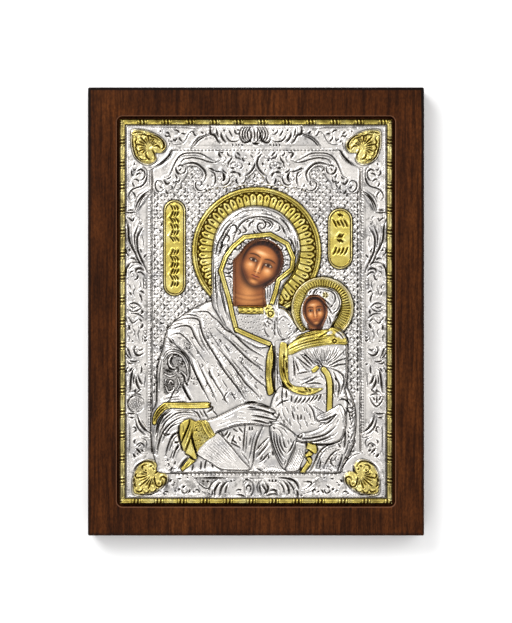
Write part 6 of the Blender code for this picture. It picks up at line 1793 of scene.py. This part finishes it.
mantle = [(17, -18.4), (20, -15.4), (24, -12.4), (29, -10.4), (34, -9.4), (38, -8.9), (41.5, -8.4),
          (45, -9.9), (47.6, -13), (48.9, -17.5), (42, -17.6), (33, -18.6), (25, -20.4), (18.6, -23.2),
          (16.6, -22)]
lay(mantle, 3.6, edge=0.9, gold=1.0, dark=0.6)
for points in ([(18, -17.5), (24, -14), (30, -12.4), (36, -11)],
               [(17.6, -20.4), (24, -17.4), (32, -15.4), (39, -14.2)],
               [(33, -14.2), (36.4, -12.4), (39.4, -10.4)], [(41.4, -9.8), (44.6, -12), (47, -15.2)],
               [(20.6, -15.2), (26.4, -12.2), (33, -10.8)]):
    fold(points, reach=1.1, rise=0.42, width=0.48, depth=0.34, dark=0.85, ends=(0.5, 0.3))
chase([[(22.6, -16.8), (28, -14.6), (33.4, -13.4)], [(36.6, -13.4), (39.8, -12.8), (42.6, -13.4)],
       [(40.4, -11.4), (43.2, -14)], [(20.4, -20.6), (26, -18.2), (33, -16.6), (40, -15.8)],
       [(44.6, -16.6), (48.2, -16.4)], [(37.4, -9.8), (39.4, -9.6)]], **faint)
# Painted highlights: the gilding is left off at three spots on the mantle, so that they show pale.
for x, y, reach in ((43.6, -12.4, 1.8), (38.6, -11.6, 1.3), (45.6, -13.8, 1.2)):
    part, distance = near(np.array([[x, y], [x + 1.2, y + 0.4]]), reach)[:2]
    gilding[part] *= 1 - 0.9 * soft_step(reach - distance, 0.0, 0.8)
bead(41.9, -15.8, 0.8, 0.5, 1.0)
engrave([(42.95, -15.8), (41.9, -14.75), (40.85, -15.8), (41.9, -16.85)], 0.42, 0.3, 1.0, closed=True)
engrave([(18.6, -22.6), (25, -19.9), (33, -18), (42, -17), (48.6, -16.9)], 0.4, 0.2, 0.5)

# The sash: a gilded band that falls from the shoulder and turns under the child.
sash = [(13.4, -16.4), (12.4, -20), (12.2, -27), (12.6, -33), (14.2, -38), (17.6, -41.6), (21.4, -43.8),
        (26, -44.7), (31, -44.2), (35.8, -41.2), (30.4, -40.8), (25, -40.3), (20, -39.4), (17.6, -36.6),
        (17.2, -30), (17, -22), (16.4, -17.4)]
lay(sash, 3.5, edge=0.8, gold=1.0, dark=0.6)
for points in ([(15.2, -17.6), (14.8, -24), (14.9, -31), (16.4, -37), (19.6, -40.6)],
               [(13.2, -24), (13.4, -31), (14.8, -37)]):
    fold(points, reach=1.0, rise=0.35, width=0.46, depth=0.3, dark=0.8)
chase([[(14.8, -23.4), (15.5, -25)], [(14.3, -30), (14.7, -33)], [(26, -40.8), (27.6, -42.4)],
       [(27.8, -41), (29.2, -42.6)], [(14.2, -37.8), (15.4, -40)], [(16.6, -38.2), (19.4, -40.4)],
       [(16.2, -26.4), (16.6, -31)]], **broad)
chase([[(20, -41), (25, -42.8), (31, -42.8)], [(22, -42.4), (27, -43.8)], [(30.4, -42), (34, -41.4)]],
      **faint)
lay([(17.6, -23.6), (19.6, -24), (19.9, -30), (19.7, -36.4), (17.9, -36.2), (17.5, -30)], 3.4, edge=0.6,
    dark=0.45)
ribbon([(36.2, -31), (38, -33.4), (39, -36.6), (39.4, -41), (39.2, -53)], 3.1, rims=False)
chase([[(37.4, -36), (37.9, -42), (37.7, -49.6)], [(40.8, -36), (41, -42), (40.8, -49.6)]], width=0.5,
      depth=0.3, dark=0.95)

child_veil = [(25.8, 7.4), (27.2, 10.6), (29.6, 12.5), (33, 13.6), (38, 13.3), (42, 12), (44.6, 9),
              (45.8, 5.5), (45.4, 1), (43.6, -3), (41.5, -6.5), (39.6, -8.8), (36, -9.6), (28, -9.4),
              (24.4, -6.6), (23.4, 0)]
lay(child_veil, 3.6, edge=1.6, dark=0.8)
for points in (
    [(33.5, 12), (37.5, 11.5), (40.2, 10.6), (42, 8.6), (42.2, 6), (41.4, 4.2), (40, 2.6)],
    [(34.2, 7.8), (36.8, 6), (39.2, 3.8), (40, 3)], [(36, 5), (38.6, 1.8), (40, -0.6), (41, -1.4)],
    [(43.6, 9), (44.6, 5), (43.8, 1.4), (41.6, -0.8), (40.4, -2)], [(26.8, 8.2), (30.2, 8.5), (34, 8.6)],
    [(38.6, -2.4), (39.6, -5), (39.4, -7.4)],
):
    fold(points, reach=1.0, rise=0.38, width=0.46, depth=0.36, ends=(0.45, 0.35))
chase([[(30.2, 8.4), (31.5, 11), (34, 12.6)], [(34.2, 9.6), (35, 10.6)], [(41, 3.4), (40, 2.4)],
       [(42, -5.6), (41.2, -7.4)], [(28.4, 9.4), (29.6, 11.4)], [(38.4, 12.4), (41.4, 11.2)],
       [(44.9, 3), (44.4, -0.4), (42.6, -3.4)]], **sharp)
chase([[(32, 9.4), (33.2, 11.2)], [(37.4, 3.6), (39, 1.4)], [(40.6, 8.6), (40.8, 6.4)],
       [(42.8, 1.8), (41.6, 0.4)], [(37.8, -4), (38.2, -7)], [(43.4, -1.2), (42.4, -3.6)]], **faint)
part, distance = near(np.array([[37.0, 8.8], [37.1, 8.8]]), 2.0)[:2]
gilding[part] = np.maximum(gilding[part], 0.7 * soft_step(2.0 - distance, 0.0, 0.8))
for i in range(4):
    angle = (i + 0.5) * math.pi / 2
    engrave([(37.0 + 0.3 * math.cos(angle), 8.8 + 0.3 * math.sin(angle)),
             (37.0 + 1.7 * math.cos(angle), 8.8 + 1.7 * math.sin(angle))], 0.5, 0.3, 0.95, lift=0.3)
fold([(20, -14), (26, -11.5), (32, -9.5), (36, -8.8)], reach=1.2, rise=0.4, width=0.5, depth=0.36)


# ---------------------------------------------------------------- silver cover: the hands
# Both of the mother's hands are smooth and polished, with long fingers parted by fine dark lines. The right
# one comes out of a cuff of gilded brocade, whose lining is turned back in folds on both sides.
right_hand = [
    (-27.4, -59), (-21, -56.2), (-14, -52.9), (-8, -50), (-3, -48.9), (2, -49.1), (6.2, -50.5),
    (9.8, -52.6), (10.4, -54), (8.8, -54.8), (11.2, -57), (10.6, -58.6), (7.8, -59.2), (8.6, -60.8),
    (4.6, -61.2), (-2, -60.4), (-8, -60.8), (-14, -62.2), (-20, -64.4), (-25, -66.6)
]
lay(right_hand, 3.9, edge=1.7, dark=0.8)
engrave([(-5.6, -48.7), (-2, -48.5), (1.2, -49)], 0.8, 0.4, 1.0)
chase([[(1, -49.8), (4, -50.4), (6.6, -51.2)], [(-4.5, -52.4), (2, -52.5), (9.6, -54.7)],
       [(-4.6, -51), (-0.5, -51.5)], [(-2.8, -55.2), (3, -56.2), (10.6, -58)],
       [(-2.6, -57.8), (2, -58.6), (6.8, -60)]], width=0.62, depth=0.46, dark=1.0, ends=(0.4, 0.8),
      lift=0.26)
chase([
    [(-9.6, -53.6), (-5.6, -54.4)], [(-10.4, -56.6), (-5.8, -57)], [(-18, -57.4), (-12, -55)],
    [(-17, -61.4), (-10, -58.8), (-5, -58.6)], [(10, -53.9), (11.2, -55.2)], [(-20.6, -60.6), (-14, -58.4)],
    [(3.4, -54.4), (7.6, -55.6)], [(4, -57.6), (8.4, -58.8)]
], width=0.42, depth=0.2, dark=0.55, lift=0.14)

left_hand = [
    (33.4, -55.4), (38, -53.4), (42, -51), (45, -49.6), (47.4, -53), (48.2, -59), (47.4, -64.4),
    (45.4, -68.6), (40, -70.8), (34, -71), (28, -70.4), (23.6, -69.8), (21.4, -69.2), (22.2, -66.8),
    (24.2, -65), (30, -63.8), (34.4, -61.8), (36.6, -59.6), (33.4, -58.8), (32, -57)
]
lay(left_hand, 3.9, edge=1.6, dark=0.7)
chase([
    [(24.5, -68), (30, -67.5), (36, -66), (40, -63.6), (43, -61)],
    [(24.2, -69.8), (31, -69.4), (38, -67.4), (42, -65.4)], [(42.6, -55), (40, -58), (36.6, -60.6)],
    [(33.2, -58.6), (37, -57.8), (41, -56), (42.7, -55)],
    [(30, -71), (36, -71.2), (41, -70.6), (44.8, -69)], [(22.2, -66.4), (23.6, -67.4), (25, -65.6)]
], width=0.6, depth=0.46, dark=1.0, ends=(0.7, 0.4), lift=0.26)
chase([
    [(26, -66.4), (31.4, -65.6), (36.4, -63.6), (39.4, -61)], [(34, -57), (38, -55.6), (42.6, -52.8)],
    [(33.6, -55.8), (37.6, -54.6), (41.6, -52.4)], [(44.4, -52.4), (46.4, -56.4), (46.6, -62)],
    [(40, -67.4), (43.6, -64.4)], [(44.4, -57.4), (43, -60.2)], [(37.6, -61.6), (40.4, -60)],
    [(27, -68.9), (32, -68.4)], [(36.4, -69.4), (41.6, -67.8)]
], width=0.42, depth=0.2, dark=0.55, lift=0.14)
for points in ([(46.4, -50), (49.6, -53.6), (50.6, -60)], [(43.4, -47.6), (47.8, -47.2), (51.2, -51.4)]):
    fold(points, reach=1.2, rise=0.3, width=0.45, depth=0.3)

# The cuff and the folds of its lining.
cuff = [(-32.6, -59), (-28.6, -58), (-25.6, -58.8), (-24, -62), (-22.4, -64.6), (-21.8, -66.2), (-26, -69),
        (-30, -73), (-31.6, -75), (-33.6, -70.4), (-34, -64)]
lay(cuff, 3.3, edge=0.8, gold=1.0, dark=0.2)
stipple([(-33, -60), (-29.4, -59.4), (-27.6, -63.4), (-24.4, -67.6), (-30, -72.8), (-31.8, -74.4),
         (-33.6, -69)], pitch=1.25, depth=0.3, dark=1.0, fade=0.3, tint=0.26)
for points in ([(-27, -59.6), (-25.4, -63), (-22.8, -66.4)], [(-29, -59.4), (-27.4, -63.2), (-24.8, -67.4)]):
    emboss(points, 1.0, 0.4, ends=(0.8, 0.8), outline=0.55)
chase([[(-33, -64.6), (-31, -62.4)], [(-31.8, -58.8), (-30, -59.4)], [(-26.2, -60.4), (-24.2, -64.6)]],
      **faint)
facet([(-40.8, -60.4), (-38.6, -58.2), (-35.4, -57.2), (-35.8, -60.2), (-37.8, -65.2), (-40, -70.6),
       (-41.1, -65)], 3.6, (0.14, 0.02))
facet([(-35.2, -57), (-32.2, -58.8), (-33.4, -62.6), (-34.8, -66.9), (-37.7, -75), (-38.8, -74.6),
       (-40, -70.8), (-37.6, -65), (-35.6, -60)], 3.5, (-0.14, 0.03), dark=0.35)
facet([(-34.8, -67), (-33.4, -72), (-31.2, -78.7), (-33.2, -79.2), (-38, -75.6), (-36.7, -71.4)], 3.4,
      (0.12, 0.05), dark=0.35)
facet([(-35.6, -78), (-33, -79.5), (-31.6, -79.6), (-36, -83), (-39.4, -85.6), (-40.4, -84),
       (-37.4, -80.4)], 2.9, (-0.10, 0.06))
chase([
    [(-35.8, -60.4), (-37.8, -65), (-40, -70.2)], [(-38, -76), (-35.4, -77.4), (-33, -79)],
    [(-34.9, -67.2), (-36.2, -70.8), (-38, -75)],
    [(-41.3, -60.8), (-41.5, -65), (-40.4, -70.6), (-39.2, -74.6)],
    [(-33.9, -67.6), (-32.9, -72), (-31.8, -75.6)]
], width=0.55, depth=0.4, dark=0.95, ends=(0.6, 0.6), lift=0.1)
chase([[(-38.8, -60.4), (-39, -65)], [(-34.4, -60.2), (-35.8, -65), (-38, -71.6)],
       [(-34.6, -69.8), (-33.6, -74.6)], [(-34.6, -80.2), (-37.6, -83.4)]], width=0.4, depth=0.2, dark=0.5)
facet([(27, -70.3), (28.6, -70.1), (30.2, -70.8), (32.1, -71), (32.8, -73.2), (32.6, -75.6), (31.6, -76.3),
       (29.6, -74.9), (28.4, -74), (26.7, -73.4)], 3.2, (-0.12, 0.04), dark=0.3)
facet([(28.3, -74.1), (30.6, -76), (29.8, -77.2), (27.6, -77.7), (26.6, -77.9), (25.8, -76.8)], 3.1,
      (0.12, 0.04), dark=0.3)
facet([(27.3, -77.7), (29.2, -77.5), (30.2, -79.7), (29.6, -81.5), (27.4, -84.4), (26.4, -86.2),
       (23.4, -86.2), (24.8, -83.2), (26.9, -80.4)], 3.0, (-0.10, 0.03), dark=0.3)
chase([
    [(27.4, -70.2), (26.8, -72.4)], [(32.2, -71), (32.9, -73.4), (32.9, -75.6)],
    [(28.3, -74.1), (29.4, -74.9), (30.8, -76.2)], [(28.2, -74.3), (26, -76.9)],
    [(27.2, -78.1), (28.9, -77.5), (30.3, -79.8)], [(27, -80.6), (25, -83.4), (23.3, -85.9)],
    [(29.7, -81.6), (27.8, -83.9), (26.4, -86)], [(25.3, -77.6), (27, -79), (28.6, -81.6)],
    [(28.4, -70), (31.4, -70.9)]
], width=0.5, depth=0.36, dark=1.0, lift=0.1)


# ---------------------------------------------------------------- silver cover: cut, finish and mesh
# The chased net is trimmed to the two face windows, whose edges are turned down onto the painted sheet, and
# laid out as six neighbouring panels of one sheet, each closed on its underside.
def blurred(field, reach):
    """A field smoothed over a reach in millimetres."""
    result = field
    size = max(int(reach * 3 / spacing), 1)
    weights = np.exp(-0.5 * (np.arange(-size, size + 1) * spacing / reach) ** 2)
    weights /= weights.sum()
    for axis in (0, 1):
        padded = np.pad(result, [(size, size) if a == axis else (0, 0) for a in (0, 1)], mode="edge")
        result = sum(w * np.take(padded, range(i, i + field.shape[axis]), axis) for i,
                     w in enumerate(weights))
    return result


beating = np.random.default_rng(5)


def unevenness(reach):
    """Hand-beaten unevenness over a reach in millimetres, about 1 high."""
    field = blurred(beating.normal(size=across.shape), reach)
    return field / field.std()


# Grime gathers in patches, more on the border and less on gilding, cloth and the floors of the plates.
beaten = unevenness(0.45)
patches = unevenness(0.28) + 0.9 * unevenness(0.9) + 0.6 * unevenness(3.0)
figure = soft_step(form, 1.6, 2.0) * (1 - gilding)
grime = 0.34 - 0.12 * gilding - 0.23 * figure + 0.14 * on_border
grime = grime * soft_step(patches, -0.2, 3.0) * (1 - 0.8 * smooth_floor)
oxide_and_shade = np.maximum(oxide_and_shade, grime * (1 - np.clip(oxide_and_shade, 0, 1)) + 0.9 * oxide_and_shade)
height = form + chasing - 0.22 * blurred(oxide_and_shade, 0.5) + 0.016 * beaten
height = 0.7 * height + 0.3 * blurred(height, 0.2)
narrow_hollow = np.clip((blurred(height, 0.6) - height) * 1.5, 0, 1)
broad_hollow = np.clip((blurred(height, 2.2) - height) * 0.3, 0, 0.3)
oxide_and_shade = np.clip(np.maximum(oxide_and_shade, (narrow_hollow + broad_hollow) * 0.8), 0, 1)

# The ground of the sheet stands a little off the painted sheet, and its rim at each window dips towards it.
stand_off = 1.0
window_paths = [np.array(outline) for outline in (mother_window, child_window)]
in_window = np.zeros(across.shape, bool)
to_window = np.full(across.shape, 9.0)
for path in window_paths:
    closed_path = np.vstack([path, path[:1]])
    part, distance = near(closed_path, 3.0)[:2]
    inside = enclosed(path, part)
    in_window[part] |= inside
    to_window[part] = np.minimum(to_window[part], np.where(inside, -distance, distance))
turned_down = soft_step(to_window, -0.1, 1.1)
height = (height + stand_off) * (0.35 + 0.65 * turned_down) - stand_off
ground_height = cover_low.z / MM + stand_off

slope_y, slope_x = np.gradient(height, spacing)
upward = np.dstack([-slope_x, -slope_y, np.ones(height.shape)])
upward /= np.linalg.norm(upward, axis=2, keepdims=True)


def sheet_panel(name, first_column, last_column, first_row, last_row):
    """One panel of the sheet as a closed mesh, with its gilding, and its oxide with painted shade."""
    wide, tall = last_column - first_column, last_row - first_row
    bpy.ops.mesh.primitive_grid_add(x_subdivisions=wide, y_subdivisions=tall, size=1.0)
    panel = bpy.context.object
    mesh = panel.data
    column, row = grid_numbers(panel, wide, tall)
    column, row = column + first_column, row + first_row
    shaped = np.column_stack([across[row, column], up[row, column], height[row, column] + ground_height])

    # Places close to a window's outline move onto it, and the faces further in are taken out.
    snap = spacing * 0.75
    close = np.nonzero(np.abs(to_window[row, column]) < snap)[0]
    for path in window_paths:
        closed_path = np.vstack([path, path[:1]])
        for index in close:
            point = shaped[index, :2]
            a, b = closed_path[:-1], closed_path[1:]
            t = np.clip(((point - a) * (b - a)).sum(1) / ((b - a) ** 2).sum(1), 0, 1)
            foot = a + t[:, None] * (b - a)
            gap = np.hypot(*(point - foot).T)
            if gap.min() < snap:
                shaped[index, :2] = foot[gap.argmin()]
    mesh.vertices.foreach_set("co", (shaped * MM).ravel())
    for label, values in (("gilding", gilding), ("oxide_and_shade", oxide_and_shade)):
        attribute = mesh.attributes.new(label, "FLOAT", "POINT")
        attribute.data.foreach_set("value", values[row, column].astype(np.float32))
    direction = mesh.attributes.new("surface", "FLOAT_VECTOR", "POINT")
    direction.data.foreach_set("vector", upward[row, column].ravel())

    bpy.ops.object.mode_set(mode="EDIT")
    bpy.ops.mesh.select_all(action="DESELECT")
    shape = bmesh.from_edit_mesh(mesh)
    shape.verts.ensure_lookup_table()
    inner = to_window[row, column] < -spacing * 0.2
    for vertex, gone in zip(shape.verts, inner):
        vertex.select = bool(gone)
    shape.select_flush(True)
    bmesh.update_edit_mesh(mesh)
    if inner.any():
        bpy.ops.mesh.delete(type="VERT")
        bpy.ops.mesh.select_all(action="SELECT")
        bpy.ops.mesh.delete_loose(use_verts=True, use_edges=True, use_faces=False)
    bpy.ops.object.mode_set(mode="OBJECT")
    close_below(panel, cover_low.z)
    flat_layout(panel)
    finish_piece(panel, name, silver, "parcel_gilt_silver", "silver_cover")
    keep_surface(panel)


def keep_surface(panel):
    """Shades the front of a panel by the whole sheet's surface, so that no seam shows between panels."""
    mesh = panel.data
    mesh.shade_smooth()
    corner = np.empty(len(mesh.loops), int)
    mesh.loops.foreach_get("vertex_index", corner)
    direction = read_triples(mesh.attributes["surface"].data, "vector")
    counts = np.empty(len(mesh.polygons), int)
    mesh.polygons.foreach_get("loop_total", counts)
    facing = np.repeat(read_triples(mesh.polygons, "normal"), counts, axis=0)
    front = facing[:, 2] > 0.12
    mesh.normals_split_custom_set(np.where(front[:, None], direction[corner], facing))
    mesh.attributes.remove(mesh.attributes["surface"])


silver, nodes, links, shader = new_material("parcel_gilt_silver", 0.3, 1.0)
gilt = nodes.new("ShaderNodeAttribute")
gilt.attribute_name = "gilding"
tarnish_and_shade = nodes.new("ShaderNodeAttribute")
tarnish_and_shade.attribute_name = "oxide_and_shade"
# The second attribute darkens the metal, both where oxide lies in the hollows and where shade is painted.
cloud = noise_on(nodes, 130.0, (1.0, 1.0, 1.0), 4.0, 0.6)
speck = noise_on(nodes, 1400.0, (1.0, 1.0, 1.0), 2.0, 0.6)
silver_colour = colour_ramp(
    nodes, links, cloud, (0.30, (0.50, 0.485, 0.48)), (0.48, (0.68, 0.65, 0.62)), (0.70, (0.82, 0.78, 0.74))
)
gold_colour = colour_ramp(
    nodes, links, cloud, (0.30, (0.46, 0.36, 0.072)), (0.50, (0.64, 0.52, 0.13)), (0.70, (0.80, 0.71, 0.28))
)
metal = mix_colours(nodes, links, gilt.outputs["Fac"], silver_colour, gold_colour)
dark_metal = mix_colours(nodes, links, gilt.outputs["Fac"], (0.020, 0.016, 0.012), (0.040, 0.020, 0.0015))
tarnish_and_shade_level = new_range(nodes, links, tarnish_and_shade.outputs["Fac"], 0.06, 0.85, 0.0, 1.0)
links.new(mix_colours(nodes, links, tarnish_and_shade_level, metal, dark_metal), shader.inputs["Base Color"])
links.new(new_range(nodes, links, speck, 0.3, 0.7, 0.22, 0.40), shader.inputs["Roughness"])
fine_bump(nodes, links, shader, speck, 0.18, 0.00012)

# The seams run through both windows, so that the rim of each panel is one closed loop.
column_cuts = (0, columns // 3, 2 * columns // 3, columns)
row_cuts = (0, int((sheet_height / 2 + 4.5) / spacing), rows)
for i, level_name in enumerate(("lower", "upper")):
    for j, side_name in enumerate(("left", "middle", "right")):
        sheet_panel(f"cover_{level_name}_{side_name}", *column_cuts[j:j + 2], *row_cuts[i:i + 2])


# ---------------------------------------------------------------- floor, light and camera
# A plain pale floor, a broad white light overhead that fades towards the horizon, a soft lamp from the upper
# left, and a camera that looks straight down on the icon as it lies.
floor_material, nodes, links, shader = new_material("pale_floor", 0.9)
pale = noise_on(nodes, 6.0, (1.0, 1.0, 1.0), 2.0)
floor_colour = colour_ramp(nodes, links, pale, (0.3, (0.93, 0.93, 0.93)), (0.7, (0.96, 0.96, 0.96)))
links.new(floor_colour, shader.inputs["Base Color"])
bpy.ops.mesh.primitive_plane_add(size=12.0, location=(0.0, 0.0, 0.0))
floor = bpy.context.object
floor.name = "floor"
floor.data.materials.append(floor_material)

bpy.context.scene.view_settings.view_transform = "Standard"
world = bpy.data.worlds.new("studio")
bpy.context.scene.world = world
world.use_nodes = True
nodes, links = world.node_tree.nodes, world.node_tree.links
sky = nodes["Background"]
place = nodes.new("ShaderNodeTexCoord")
towards = nodes.new("ShaderNodeVectorMath")
towards.operation = "DOT_PRODUCT"
towards.inputs[1].default_value = Vector((-0.14, 0.18, 0.97)).normalized()
links.new(place.outputs["Generated"], towards.inputs[0])
glow = colour_ramp(
    nodes, links, towards.outputs["Value"], (0.0, (0.04, 0.04, 0.043)), (0.35, (0.20, 0.203, 0.21)),
    (0.62, (0.56, 0.56, 0.57)), (0.82, (0.84, 0.84, 0.835)), (1.0, (0.99, 0.98, 0.96))
)
links.new(glow, sky.inputs["Color"])
sky.inputs["Strength"].default_value = 1.0

for name, place, size, power in (
    ("lamp_upper_left", Vector((-0.55, 0.60, 0.90)), 0.6, 9.0),
    ("lamp_right", Vector((0.75, 0.25, 0.85)), 0.6, 3.5),
    ("lamp_below", Vector((-0.10, -0.80, 0.85)), 0.6, 3.5),
):
    bpy.ops.object.light_add(type="AREA", location=place)
    lamp = bpy.context.object
    lamp.name = name
    lamp.data.size = size
    lamp.data.energy = power
    lamp.rotation_euler = place.to_track_quat("Z", "Y").to_euler()

camera_data = bpy.data.cameras.new("camera")
camera = bpy.data.objects.new("camera", camera_data)
bpy.context.scene.collection.objects.link(camera)
bpy.context.scene.camera = camera
camera_data.sensor_fit = "VERTICAL"
camera_data.sensor_height = 36.0
camera_data.lens = 129.6
view_height = 0.3334
camera.location = (0.0, 0.0, board_high.z + view_height * camera_data.lens / camera_data.sensor_height)
